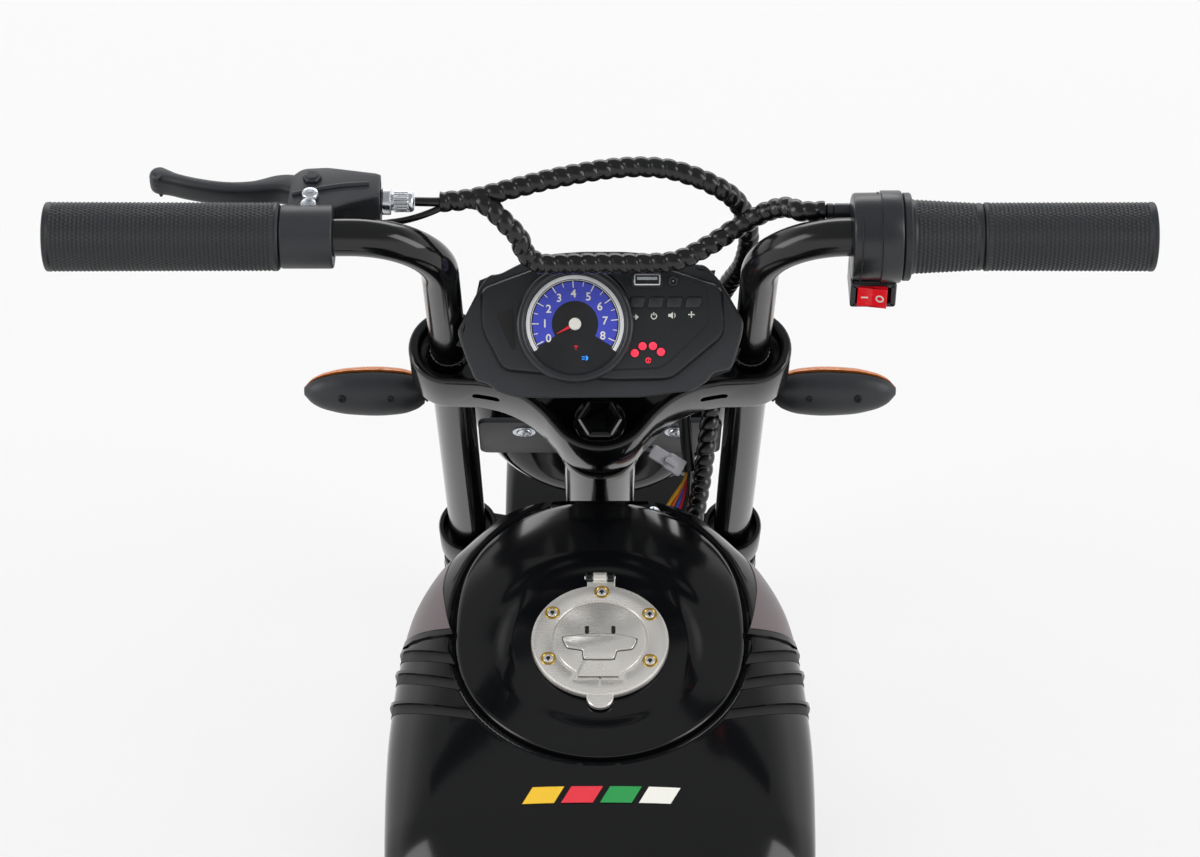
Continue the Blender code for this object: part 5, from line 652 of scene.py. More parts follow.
def make_yokes():
    """Upper yoke with its raised rim, dished platform and slots, and the lower one with its two cups."""
    dish = YOKE_HEIGHT - YOKE_DISH
    rows = [(2.2, 0.0), (0.9, 0.5), (0.2, 1.4), (0.0, 2.6), (0.0, YOKE_HEIGHT - 2.4), (0.3, YOKE_HEIGHT - 1.2),
            (1.0, YOKE_HEIGHT - 0.4), (2.0, YOKE_HEIGHT), (YOKE_RIM - 1.6, YOKE_HEIGHT),
            (YOKE_RIM - 0.6, YOKE_HEIGHT - 0.4), (YOKE_RIM - 0.1, YOKE_HEIGHT - 1.2),
            (YOKE_RIM, YOKE_HEIGHT - 2.4), (YOKE_RIM, dish + 1.6), (YOKE_RIM + 0.4, dish + 0.5),
            (YOKE_RIM + 1.4, dish)]
    upper = plated(yoke_outline(), rows, fork_place(0.0, YOKE_BOTTOM))
    piece = build_piece("upper_yoke_casting", "steering", [upper], ("enamel",),
                        ["upper_yoke"])
    cutters = []
    for side in (-1, 1):
        slot = rectangle(14.5, 5.5, 2.7, 6)
        at = place(fork_point(side * 60.0, YOKE_BOTTOM + YOKE_HEIGHT * 0.52, -YOKE_LOBE), X_AXIS, FORK_AHEAD)
        cutters.append(plated(slot, [(0.0, -8.0), (0.0, 12.0)], at))
    cut_away(piece, cutters)

    half = np.array(((0, -60), (14, -55), (24, -40), (40, -26), (76, -14.5), (76, 14.5), (40, 8), (0, 0)), float)
    outline = np.concatenate((half, half[1:-1][::-1] * (-1.0, 1.0)))
    bridge = plated(rounded(outline, 8.0, 5, True), edge_rows(0.0, 10.0, 1.5, 1.5), fork_place(0.0, 166.0))
    collar = [(12.9, 162), (18.0, 162), (19.0, 163), (19.0, 187), (18.0, 188), (12.9, 188)]
    shells = [bridge, turned_ring(rounded(collar, 0.5, 2), fork_place(0.0, 0.0, -STEM_BACK), 0, 64)]
    for side in (-1, 1):
        cup = [(11.4, 158), (16.0, 158), (17.5, 159.5), (17.5, 186.5), (16.8, 188), (14.8, 188), (14.2, 187),
               (14.2, 172), (11.4, 172)]
        shells.append(turned_ring(cup, fork_place(side * FORK_X), 0, 64))
    build_piece("lower_yoke_casting", "steering", shells, ("enamel",),
                ["lower_yoke"])


def make_stem_bolt():
    """The steering stem and its painted hexagon bolt with a chamfered head and a washer face."""
    rows = [(1.2, 0.3), (0.0, 1.0), (0.0, 4.9), (0.6, 5.6), (1.8, 6.1), (4.2, 6.3)]
    head = plated(rounded(circle(12.1, 6), 1.2, 3, True), rows, fork_place(0.0, YOKE_PLATFORM, -STEM_BACK))
    washer = turned_ring([(8.3, 0.3), (13.0, 0.3), (13.6, 0.7), (13.6, 1.4), (13.0, 1.8), (8.3, 1.8)],
                         fork_place(0.0, YOKE_PLATFORM - 0.2, -STEM_BACK), 0, 64)
    shaft = turned([(0.0, 157.0), (16.0, 157.0), (16.5, 157.6), (16.5, 161.5), (12.5, 161.7), (12.5, 422.5),
                    (8.0, 422.7), (8.0, YOKE_PLATFORM + 1.0), (0.0, YOKE_PLATFORM + 1.0)],
                   fork_place(0.0, 0.0, -STEM_BACK), 0, 64)
    build_piece("stem_and_bolt", "steering", [head, washer, shaft], ("enamel", "zinc"),
                ["steering_stem"])


def axle_nut(start, at):
    """A hexagon nut with chamfered corners that starts at a height on its axle."""
    rows = [(1.2, start), (0.0, start + 0.8), (0.0, start + 6.0), (1.4, start + 7.0)]
    return plated(rounded(circle(10.0, 6), 1.0, 3, True), rows, at)


def make_fork():
    """Painted fork tubes in moulded lower legs, with a lip at each leg's top, and the axle with its nuts."""
    for side, word in ((-1, "left"), (1, "right")):
        x = side * FORK_X
        at = fork_place(x)
        tube = turned([(0.0, 106.3), (11.0, 106.3), (11.0, 433.4), (10.6, 433.7), (0.0, 433.7)], at, 0, 64)
        build_piece("fork_tube_finished_" + word, "steering", [tube], ("enamel",),
                    ["fork_tube_" + word])
        profile = rounded([(11.3, 136), (16.5, 136), (16.5, 116), (14.5, 112), (14.5, 31), (16.5, 24),
                           (16.5, -16), (0.01, -16)], 1.6, 4)
        profile = np.concatenate((((0.0, 105.7), (11.3, 105.7)), profile, ((0.0, -16.0),)))
        ridge = [(16.4, 118), (17.0, 118.6), (17.0, 121.4), (16.4, 122)]
        shells = [turned(profile, at, 0, 72), turned_ring(ridge, at, 0, 72)]
        build_piece("fork_leg_finished_" + word, "steering", shells, ("enamel",),
                    ["fork_leg_" + word])
    shells = []
    start = FORK_X + 16.5 + 0.3
    for side in (-1, 1):
        at = lying_x(FRONT_AXLE, side)
        nut = axle_nut(start, at)
        washer = turned_ring([(6.1, start - 0.2), (11.4, start - 0.2), (11.4, start + 1.0),
                              (6.1, start + 1.0)], at)
        spacer = turned_ring([(6.1, 39.3), (8.6, 39.3), (9.0, 39.8), (9.0, 62.2), (8.6, 62.7), (6.1, 62.7)], at)
        shells += [nut, washer, spacer]
    rod = [(0.0, -105.1), (5.2, -105.1), (6.0, -104.3), (6.0, 104.3), (5.2, 105.1), (0.0, 105.1)]
    shells.append(turned(rod, lying_x(FRONT_AXLE), 0, 48))
    build_piece("front_axle_finished", "steering", shells, ("zinc",), ["front_axle"])


def make_handlebars():
    """Two bent steel bars: straight up the fork line, one bend outwards, and a wavy weld bead at the foot."""
    for side, word in ((-1, "left"), (1, "right")):
        x = side * FORK_X
        base = fork_point(x, YOKE_PLATFORM - 10.7)
        elbow = np.array((x, BAR_Y, BAR_Z))
        end = np.array((side * BAR_END, BAR_Y, BAR_Z))
        back = unit(base - elbow)
        out = unit(end - elbow)
        half = np.arccos(back.dot(out)) / 2
        reach = BAR_BEND / tan(half)
        centre = elbow + unit(back + out) * BAR_BEND / sin(half)
        first = elbow + back * reach - centre
        second = elbow + out * reach - centre
        span = np.arccos(unit(first).dot(unit(second)))
        share = np.linspace(0.0, 1.0, 28)[:, None]
        bend = centre + (first * np.sin((1 - share) * span) + second * np.sin(share * span)) / sin(span)
        path = resample(np.concatenate((base[None], bend, end[None])), 3.0)
        bar = swept(path, BAR_RADIUS, FORK_AHEAD, 0, 48)
        bead_profile = rounded([(8.0, 0.2), (11.6, 0.2), (11.3, 2.4), (9.9, 5.2), (8.0, 5.2)], 1.4, 4)
        bead = turned_ring(bead_profile, fork_place(x, YOKE_PLATFORM), 0, 96,
                           lambda p, a: 0.22 * np.sin(22 * a + 0.8 * np.sin(3 * a))[None, :] * (p[:, :1] > 9.0))
        build_piece("handlebar_finished_" + word, "steering", [bar, bead], ("enamel",),
                    ["handlebar_" + word])


KNURL_PITCH = 2.0
GRIP_END = 269.0


def knurled(start, end, inner, outer):
    """Rows of a knurled grip, one for each half of the knurl's pitch, on a cone between two radii."""
    rows = int((end - start) / (KNURL_PITCH / 2))
    height = np.linspace(start, end, rows)
    radius = inner + (outer - inner) * (height - start) / (end - start)
    return np.column_stack((radius, height))


def knurl_ripple(low, high):
    """Small pyramids between two heights: every other grid point of every other row stands, shifted by turns."""
    depth = setting_mm("knurl_depth")

    def ripple(profile, angle):
        row = np.arange(len(profile))[:, None]
        column = np.arange(len(angle))[None, :]
        column = np.where(column == len(angle) - 1, 0, column)
        inside = ((profile[:, 1:] > low) & (profile[:, 1:] < high)).astype(float)
        stands = (row % 2 == 0) & ((column + row // 2) % 2 == 0)
        return -depth * (1.0 - stands) * inside
    return ripple


def grip_body(side, foot, start, outer, low):
    """An outer grip: a foot, the knurled length and a rounded, closed end."""
    body = knurled(start, 266.4, 16.7, outer)
    end = rounded([(16.9, 266.6), (16.9, GRIP_END), (0.01, GRIP_END)], 2.2, 5)
    profile = np.concatenate((foot, body, end, ((0.0, GRIP_END),)))
    return turned(profile, lying_x(BAR_MIDDLE, side), 0, 108, knurl_ripple(low, 266.0))


def make_grips():
    """Left grip with a smooth end cap, the fixed outer part of the right one and the throttle's sleeve."""
    left = grip_body(-1, ((0.0, 155.2), (15.6, 155.2), (16.6, 156.2)), 157.4, 17.0, 158.0)
    dimple = headed(place((-GRIP_END, BAR_Y, BAR_Z), Y_AXIS, -X_AXIS), 5.0, 0.5, "hex", 0)
    build_piece("grip_left_rubber", "steering", [left, dimple], ("grip_rubber",),
                ["grip_left"], sharp=14.0)
    right = grip_body(1, ((0.0, 185.7), (15.9, 185.7), (16.7, 186.5)), 187.4, 16.9, 188.0)
    build_piece("grip_right_rubber", "steering", [right], ("grip_rubber",),
                ["grip_right"], sharp=14.0)
    flange = ((10.2, 146.3), (20.8, 146.3), (21.4, 146.9), (21.4, 149.7), (20.8, 150.3), (18.4, 150.6))
    body = knurled(151.8, 183.0, 18.2, 16.5)
    profile = np.concatenate((flange, body, ((16.4, 184.6), (15.8, 185.3), (10.2, 185.3))))
    sleeve = turned_ring(profile, lying_x(BAR_MIDDLE), 0, 108, knurl_ripple(152.0, 183.0))
    build_piece("throttle_sleeve_rubber", "throttle_sleeve", [sleeve], ("grip_rubber",),
                ["throttle_sleeve"], sharp=14.0)


ROCKER_PIVOT = np.array((133.0, 115.0, 656.0))
ROCKER_TILT = radians(-9.0)
LEVER_PIVOT = (-141.0, 160.0)
LEVER_TIP = (-217.8, 172.0)


def make_throttle_housing():
    """Two-part moulded housing with a raised band, a slanting parting line and a slot drawn in painted shade, its
    switch box and cable spout.
    """
    at = lying_x(BAR_MIDDLE)
    profile = [(9.8, 122.0), (19.6, 122.0), (20.7, 122.4), (21.3, 123.4), (21.5, 135.4), (22.5, 135.9),
               (22.5, 144.9), (22.0, 145.7), (21.2, 146.0), (9.8, 146.0)]
    body = turned_ring(profile, at, 0, 128)
    turn = np.radians(np.linspace(25.0, 335.0, 90))
    slant = 134.4 - 8.4 * np.clip((turn - radians(60.0)) / radians(150.0), 0.0, 1.0)
    seam = np.stack((slant, BAR_Y + 21.55 * np.sin(turn), BAR_Z + 21.55 * np.cos(turn)), axis=1)
    # The parting line is a thin dark tube in the recess finish: painted shade of the seam's groove
    line = swept(seam, 0.34, X_AXIS, 1, 8)
    rows = [(0.5, -21.5), (0.0, -21.0), (0.0, -0.6), (0.5, 0.0), (2.4, 0.0), (2.7, -0.4), (2.7, -9.6)]
    switch = plated(rectangle(22.3, 15.0, 1.6), rows, place((133.0, 112.5, 656.0), X_AXIS, -Y_AXIS))
    # The switch box's slot is a dark block: painted shade of its opening
    slot = block((19.0, 1.0, 0.8), place((133.0, 113.2, 664.2), X_AXIS, -Y_AXIS), 1, 0.4, 0.2)
    spout = turned([(0.0, 110.0), (3.0, 110.0), (4.0, 111.0), (4.0, 113.6), (3.4, 114.2), (4.0, 114.8),
                    (4.0, 125.0), (0.0, 125.0)], lying_x((0.0, 145.5, 682.0)), 0, 40)
    screws = [headed(place((x, BAR_Y - 5.5, BAR_Z - 21.6), X_AXIS, (0.0, -0.25, -0.97)), 2.6, 1.2, "cross", 2)
              for x in (126.5, 140.5)]
    build_piece("throttle_housing_moulding", "steering", [body, line, switch, slot, spout] + screws,
                ("panel_plastic", "recess", "zinc"), ["throttle_housing"])


def make_rocker():
    """Red rocker with its pressed side sunk and the marks for on and off in white."""
    tilt = ROCKER_TILT
    x_axis = np.array((cos(tilt), sin(tilt), 0.0))
    out = np.array((sin(tilt), -cos(tilt), 0.0))
    at = place(ROCKER_PIVOT, x_axis, Z_AXIS)
    outline = np.array(((-7.2, -4.7), (0.0, -3.7), (7.2, -4.7), (7.2, -2.3)))
    belly = arc((0.0, 0.0), 5.0, 20.0, 160.0, 12)
    outline = np.concatenate((outline, belly, ((-7.2, -2.3),)))
    body = plated(rounded(outline, 0.4, 2, True), edge_rows(-5.9, 5.9, 0.5, 0.5), at)
    shells = [body]
    slope = atan2(1.0, 7.2)
    for side in (-1, 1):
        lean = tilt - slope * side
        face_x = np.array((cos(lean), sin(lean), 0.0))
        normal = np.array((sin(lean), -cos(lean), 0.0))
        middle = ROCKER_PIVOT + x_axis * 3.7 * side + out * 4.3
        mark_at = place(middle, face_x, normal)
        if side < 0:
            shells.append(block((3.4, 0.75, 0.5), mark_at, 1, 0.3, 0.1))
        else:
            shells.append(turned_ring([(1.35, -0.25), (2.05, -0.25), (2.05, 0.25), (1.35, 0.25)], mark_at, 1, 40))
    build_piece("rocker_moulding", "switch_rocker", shells, ("rocker_red", "ink_white"),
                ["switch_rocker"])


def lever_outline():
    """Blade of the lever: a smooth centre line with a width that swells at the lug and at the ball end."""
    line = spline((LEVER_PIVOT, (-149, 163.5), (-158, 165), (-172, 162), (-186, 162), (-203, 166),
                   LEVER_TIP), 1.6)
    share = np.linspace(0.0, 1.0, len(line))
    width = monotone(((0, 7.9), (0.16, 6.6), (0.4, 3.9), (0.7, 3.6), (0.88, 3.7), (1.0, 5.1)), share)
    side = left_of(line) * width[:, None]
    tip = arc((0.0, 0.0), 5.1, 60.0, 268.0, 20) + line[-1]
    lug = arc((0.0, 0.0), 7.9, -78.0, 92.0, 18) + line[0]
    return np.concatenate((lug, (line - side)[1:-1], tip, (line + side)[-2:0:-1]))


def make_lever():
    """Cast lever with a full, rounded blade, a ball end and a machined boss round its pivot."""
    angle = np.radians(np.linspace(0.0, 90.0, 7))
    rows = [(2.6 * (1 - sin(a)), -6.0 + 3.6 * (1 - cos(a))) for a in angle]
    rows += [(2.6 * (1 - cos(a)), 6.0 - 3.6 * (1 - sin(a))) for a in angle]
    blade = plated(lever_outline(), rows, upright((0.0, 0.0, BAR_Z)))
    boss = turned([(0.0, -6.15), (6.2, -6.15), (6.6, -5.8), (6.6, 5.8), (6.2, 6.15), (0.0, 6.15)],
                  upright((*LEVER_PIVOT, BAR_Z)), 0, 48)
    tip = turned(arc((0.0, 0.0), 5.2, -90.0, 90.0, 20), upright((*LEVER_TIP, BAR_Z)), 0, 48)
    build_piece("brake_lever_casting", "brake_lever", [blade, boss, tip], ("satin_plastic",),
                ["brake_lever"])


def make_lever_bracket():
    """Clamp round the bar with two cheeks over the lever, its pivot screw, clamp screw and cable boss."""
    ring = rounded([(9.8, 129.2), (15.5, 129.2), (15.5, 154.7), (9.8, 154.7)], 1.2, 4)
    shells = [turned_ring(ring, lying_x(BAR_MIDDLE, -1), 0, 96)]
    arm = np.array(((-152.0, 136.5), (-131.5, 136.5), (-122.0, 141.5), (-107.5, 147.0), (-107.5, 164.0),
                    (-134.0, 169.0), (-146.0, 168.0), (-151.0, 162.5)))
    outline = rounded(arm, 3.0, 5, True)
    for low, high in ((6.4, 11.0), (-11.0, -6.4)):
        shells.append(plated(outline, edge_rows(low, high, 0.8, 0.8), upright((0.0, 0.0, BAR_Z))))
    back = np.array(((-131.0, 137.5), (-122.0, 142.5), (-107.5, 147.0), (-107.5, 164.0), (-117.8, 166.0),
                     (-117.8, 152.3), (-130.0, 148.3)))
    shells.append(plated(rounded(back, 1.5, 4, True), edge_rows(-10.6, 10.6, 0.6, 0.6), upright((0, 0, BAR_Z))))
    rib = spline(((-150.0, 147.0, 691.2), (-138.0, 151.0, 691.4), (-126.0, 154.0, 691.3), (-113.0, 155.5, 691.2)),
                 1.5)
    shells.append(swept(rib, 1.3, Z_AXIS, 0, 16))
    pivot_at = upright((*LEVER_PIVOT, BAR_Z + 11.0))
    nut = plated(rounded(circle(4.8, 6), 0.5, 2, True), [(0.4, 0.0), (0.0, 0.4), (0.0, 1.2), (0.6, 1.9)],
                 pivot_at)
    pin = turned([(0.0, 0.0), (3.0, 0.0), (3.0, 2.2), (2.4, 2.7), (0.0, 2.7)], pivot_at, 0, 32)
    clamp = headed(upright((-141.0, 145.6, BAR_Z + 12.2)), 4.2, 2.6, "hex", 1)
    lower = headed(upright((-141.5, 139.2, BAR_Z + 11.2)), 4.0, 2.2, "hex", 1)
    shells += [nut, pin, clamp, lower]
    build_piece("lever_bracket_casting", "steering", shells, ("satin_plastic", "zinc"),
                ["lever_bracket"])

    flutes = lambda p, a: (0.22 * np.cos(18 * a)[None, :] * (p[:, 1:] > 6.2) * (p[:, 1:] < 13.0))
    profile = [(0.0, 16.0), (3.9, 16.0), (4.9, 15.2), (5.2, 14.2), (5.2, 13.2), (4.9, 12.6), (5.0, 6.6),
               (4.6, 5.6), (4.4, 4.9), (6.2, 4.6), (6.6, 4.2), (6.6, 0.5), (6.1, 0.0), (0.0, 0.0)]
    profile = resample(np.array(profile), 0.5)
    profile[0, 0] = profile[-1, 0] = 0.0
    screw = turned(profile, lying_x((-107.2, 155.5, BAR_Z)), 0, 144, flutes)
    build_piece("cable_adjuster_nut", "steering", [screw], ("zinc",), ["cable_adjuster"])


# Cable routes
BRAKE_ROUTE = ((-90.9, 155.5, 680), (-76.9, 155.5, 680), (-62, 157, 681), (-45, 160, 684), (-20, 166, 687),
               (8, 172, 688), (30, 172, 688), (47, 170, 684), (60, 169, 677), (68, 171, 667.5), (73, 172.5, 655),
               (75, 175, 640), (73, 183, 617), (67.5, 194, 596))
BRAKE_END = ((63.5, 467.0, 24.5), (63.0, 452.3, 25.0))
DROP_START = ((63.0, 452.0, 25.0), (63.0, 438.0, 26.0), (62.5, 421.0, 26.5), (62.0, 409.0, 21.0),
              (61.0, 400.0, 8.0), (60.0, 394.0, -8.0))
DROP_END = ((57, 186, 480), (54, 174, 463), (50, 164, 449), (42, 153, 436), (30, 144, 426), (20, 135, 420),
            (16, 125, 415.3), (16, 112.3, 415.3))
THROTTLE_ROUTE = ((-46, 147, 673), (-40, 145, 666), (-37, 143, 658), (-30, 142, 652), (-18, 142.5, 651),
                  (0, 143, 651), (20, 143.5, 650.5), (38, 144, 652), (54, 151, 656), (68, 157, 662.5),
                  (81, 158, 671), (91, 152.5, 679), (99, 145.5, 682), (109.7, 145.5, 682))
SWITCH_LEAD_ROUTE = ((-111, 149.5, 671.0), (-104, 150.0, 671.2), (-94, 151.0, 672.5), (-84, 153.0, 675.0),
                     (-76, 155.0, 678.0))
SWITCH_LEAD_RADIUS = 1.7
BARE_CABLE_RADIUS = 2.3
WRAP_SIDES = 32


def wrapped(route, reference, start=0.0):
    """Spiral wrap: the radius is a core plus a rounded ridge that climbs one pitch in each turn.

    Before its start the cable is bare.
    """
    path = spline(route, 0.62)
    length = np.concatenate(((0.0,), np.cumsum(np.linalg.norm(np.diff(path, axis=0), axis=1))))
    angle = np.linspace(0.0, 2 * pi, WRAP_SIDES + 1)
    phase = length[:, None] / setting_mm("wrap_pitch") - angle[None, :] / (2 * pi)
    ridge = np.abs(np.sin(pi * phase)) ** 0.55
    wound = setting_mm("wrap_core") + setting_mm("wrap_ridge") * ridge
    radii = np.where((length >= start)[:, None], wound, BARE_CABLE_RADIUS)
    return swept(path, radii, reference, 0, WRAP_SIDES)


def make_harness():
    """Spiral-wrapped bundles: the brake cable's run, the throttle's loop and the drop down to the frame."""
    brake = [np.array(p, float) for p in BRAKE_ROUTE] + [fork_point(*p) for p in BRAKE_END]
    lead = swept(spline(SWITCH_LEAD_ROUTE, 1.0), SWITCH_LEAD_RADIUS, Z_AXIS, 0, 16)
    build_piece("brake_harness_wrap", "steering", [wrapped(brake, Y_AXIS, 12.0), lead], ("wrap",),
                ["brake_harness"], sharp=60.0)
    drop = [fork_point(*p) for p in DROP_START] + [np.array(p, float) for p in DROP_END]
    build_piece("harness_drop_wrap", ("steering", "frame"), [wrapped(drop, X_AXIS)], ("wrap",),
                ["harness_drop"], sharp=60.0)
    joined = ((-62.0, 156.5, 681.5), (-54.0, 152.0, 679.0)) + THROTTLE_ROUTE
    build_piece("throttle_harness_wrap", "steering", [wrapped(joined, Y_AXIS)], ("wrap",),
                ["throttle_harness"], sharp=60.0)


# Dash

DASH_RIM = ((-71.8, -3.5), (-69.2, 1.5), (-60.7, 18.1), (-55.7, 25.1), (-50.7, 25.1), (-39.1, 31.1),
            (-23.1, 35.6), (-8.5, 36.6), (12, 36.6), (30.1, 35.1), (47.7, 30.1), (52.7, 30.1), (60.2, 22.1),
            (66.2, 12), (72.3, 1.5), (71.2, -6.5), (66.2, -22.1), (56.7, -24.1), (54.7, -28.1), (46.7, -33.1),
            (20, -36.6), (-20, -36.9), (-42.6, -36.6), (-52.7, -33.6), (-55.7, -29.6), (-62.7, -28.1),
            (-68.2, -14.6))
DASH_PANEL = ((-59.7, 18.1), (-23.1, 31.6), (-9.5, 32.6), (22.1, 32.1), (61.2, 19.1), (62.2, -5.5),
              (35.6, -27.6), (7.5, -28.1), (-48.7, -23.1), (-59.2, -2.5))
DASH_GROOVE = ((8.0, 24.6), (12.5, 29.4), (26.1, 29.4), (53.7, 19.1), (54.7, 0.0), (31.1, -22.1), (0.5, -23.1))
BUTTON_CENTRES = tuple((32.6 + 9.4 * (i - 1.5), 10.8) for i in range(4))
USB_CENTRE = (23.6, 22.3)
JACK_CENTRE = (36.6, 21.6)
DIAL_FIRST = 208.7
DIAL_STEP = 28.98
LAMP_CENTRES = ((17.4, -14.5), (21.3, -11.0), (26.5, -10.9), (30.5, -13.9))
SIGN_PLACES = (17.5, 27.0, 36.2, 45.8)


def strip(line, width, low, high, at, material):
    """A band of even width along a flat line, raised between two heights."""
    side = left_of(line) * width / 2
    outline = anticlockwise(np.concatenate((line - side, (line + side)[::-1])))
    return plated(outline, [(0.0, low), (0.0, high - 0.05), (0.05, high)], at, material)


def band(inner, outer, start, end, low, high, at, material, steps=60):
    """Part of a flat ring between two radii and two angles in degrees, raised between two heights."""
    outline = np.concatenate((arc((0, 0), outer, start, end, steps), arc((0, 0), inner, end, start, steps)))
    return plated(outline, [(0.0, low), (0.0, high)], at, material)


def make_dash_housing():
    """Pebbled rim with a stepped edge, and a round-shouldered body behind it."""
    at = dash_place()
    rim = rounded(anticlockwise(DASH_RIM), 3.0, 4, True)
    rows = [(1.2, -6.0), (0.4, -5.6), (0.0, -4.8), (0.0, -1.2), (0.3, -0.4), (0.9, 0.0), (1.5, 0.15)]
    shells = [plated(rim, rows, at, 0)]
    body = inset(rim, 6.5)
    shells.append(plated(body, [(8.0, -32.0), (4.0, -31.0), (1.5, -28.0), (0.0, -22.0), (0.0, -5.8)], at, 0))
    build_piece("dash_rim_moulding", "steering", shells, ("grained_plastic",),
                ["dash_housing"])


def make_dash_panel():
    """Raised panel with its groove and left recess drawn in painted shade, round dial bezel, two sockets with their
    openings in painted shade, and the button frames in painted shade.
    """
    at = dash_place()
    top = DASH_TOP
    panel = rounded(anticlockwise(DASH_PANEL), 5.0, 5, True)
    rows = [(-0.8, -0.4), (-0.4, 0.6), (0.3, top - 1.0), (0.8, top - 0.3), (1.7, top)]
    shells = [plated(panel, rows, at, 0)]
    groove = resample(rounded(DASH_GROOVE, 5.0, 6), 0.8)
    # The groove is a dark strip in the recess finish: painted shade
    shells.append(strip(groove, 1.1, top - 0.2, top + 0.03, at, 1))
    shells.append(strip(groove + (0.5, 0.35), 0.35, top - 0.2, top + 0.16, at, 0))
    # The left recess is a dark plate standing just proud: painted shade, not a hollow
    recess = rounded(np.array(((-52.2, 5.0), (-43.4, 8.8), (-42.0, -13.0), (-44.7, -12.5))), 1.2, 4, True)
    shells.append(plated(anticlockwise(recess), [(0.0, top - 0.3), (0.0, top + 0.04)], at, 1))

    dial = dash_place(DIAL_U, 0.0)
    bezel = [(24.6, top - 1.0), (24.6, top + 1.0), (25.0, top + 3.6), (25.6, top + 4.6), (26.4, top + 5.2),
             (27.4, top + 5.5), (28.4, top + 5.2), (29.2, top + 4.4), (29.6, top + 3.2), (29.6, top - 1.0)]
    shells.append(turned_ring(bezel, dial, 0, 128))
    crescent = arc((0.0, 0.0), 31.2, 32.0, 128.0, 40)
    width = np.sin(np.linspace(0.0, pi, len(crescent))) ** 0.6 * 2.6 + 0.5
    grow = unit_rows(crescent)
    outline = np.concatenate((crescent - grow * 1.4, (crescent + grow * (width - 1.4)[:, None])[::-1]))
    shells.append(plated(anticlockwise(outline), edge_rows(top - 0.2, top + 2.2, 0.1, 0.5), dial, 0))

    usb = dash_place(*USB_CENTRE)
    shells.append(block((15.6, 8.0, 1.2), dash_place(*USB_CENTRE, top), 0, 1.6, 0.3))
    rows = [(0.0, top + 0.3), (0.0, top + 0.85), (0.15, top + 0.95), (0.65, top + 0.95), (0.75, top + 0.8),
            (0.75, top - 0.9)]
    shells.append(plated(rectangle(13.1, 5.6, 0.9), rows, usb, 2))
    # The USB opening is a dark block: painted shade
    shells.append(plated(rectangle(11.5, 4.0, 0.4), [(0.0, top - 1.0), (0.0, top + 0.66)], usb, 1))
    shells.append(plated(rectangle(10.2, 1.5, 0.2, centre=(0.0, 0.6)), [(0.0, top), (0.0, top + 0.9)], usb, 3))
    jack = dash_place(*JACK_CENTRE)
    shells.append(turned_ring([(1.5, top - 1.0), (1.5, top + 0.8), (1.9, top + 1.0), (2.4, top + 0.8),
                               (2.6, top + 0.2), (2.6, top - 1.0)], jack, 0, 48))
    # The jack's hole is a dark disc: painted shade
    shells.append(turned([(0.0, top - 0.5), (1.6, top - 0.5), (1.6, top + 0.25), (0.0, top + 0.25)], jack, 1, 32))
    shells.append(turned([(0.0, top), (0.45, top), (0.45, top + 0.7), (0.3, top + 0.85), (0.0, top + 0.85)],
                         jack, 2, 24))
    outline = rounded(((-4.3, -3.2), (3.5, -3.2), (4.6, 3.2), (-3.2, 3.2)), 1.1, 4, True)
    rows = [(0.0, top - 0.4), (0.0, top + 0.35), (0.25, top + 0.5), (0.55, top + 0.5), (0.65, top + 0.3)]
    # Each button sits in a dark frame: painted shade of the gap round it
    for u, v in BUTTON_CENTRES:
        shells.append(plated(outline, rows, dash_place(u, v), 1))
        shells.append(plated(inset(outline, 0.62), [(0.0, top - 0.4), (0.0, top + 0.1)], dash_place(u, v), 1))
    build_piece("dash_panel_moulding", "steering", shells,
                ("panel_plastic", "recess", "zinc", "zinc"), ["dash_panel"])


def ray_line(angle, inner, outer, width, low, high, at, material):
    """A short radial mark at an angle in degrees."""
    way = np.array((cos(radians(angle)), sin(radians(angle))))
    side = np.array((-way[1], way[0])) * width / 2
    outline = np.array((way * inner - side, way * outer - side, way * outer + side, way * inner + side))
    return plated(outline, [(0.0, low), (0.0, high)], at, material)


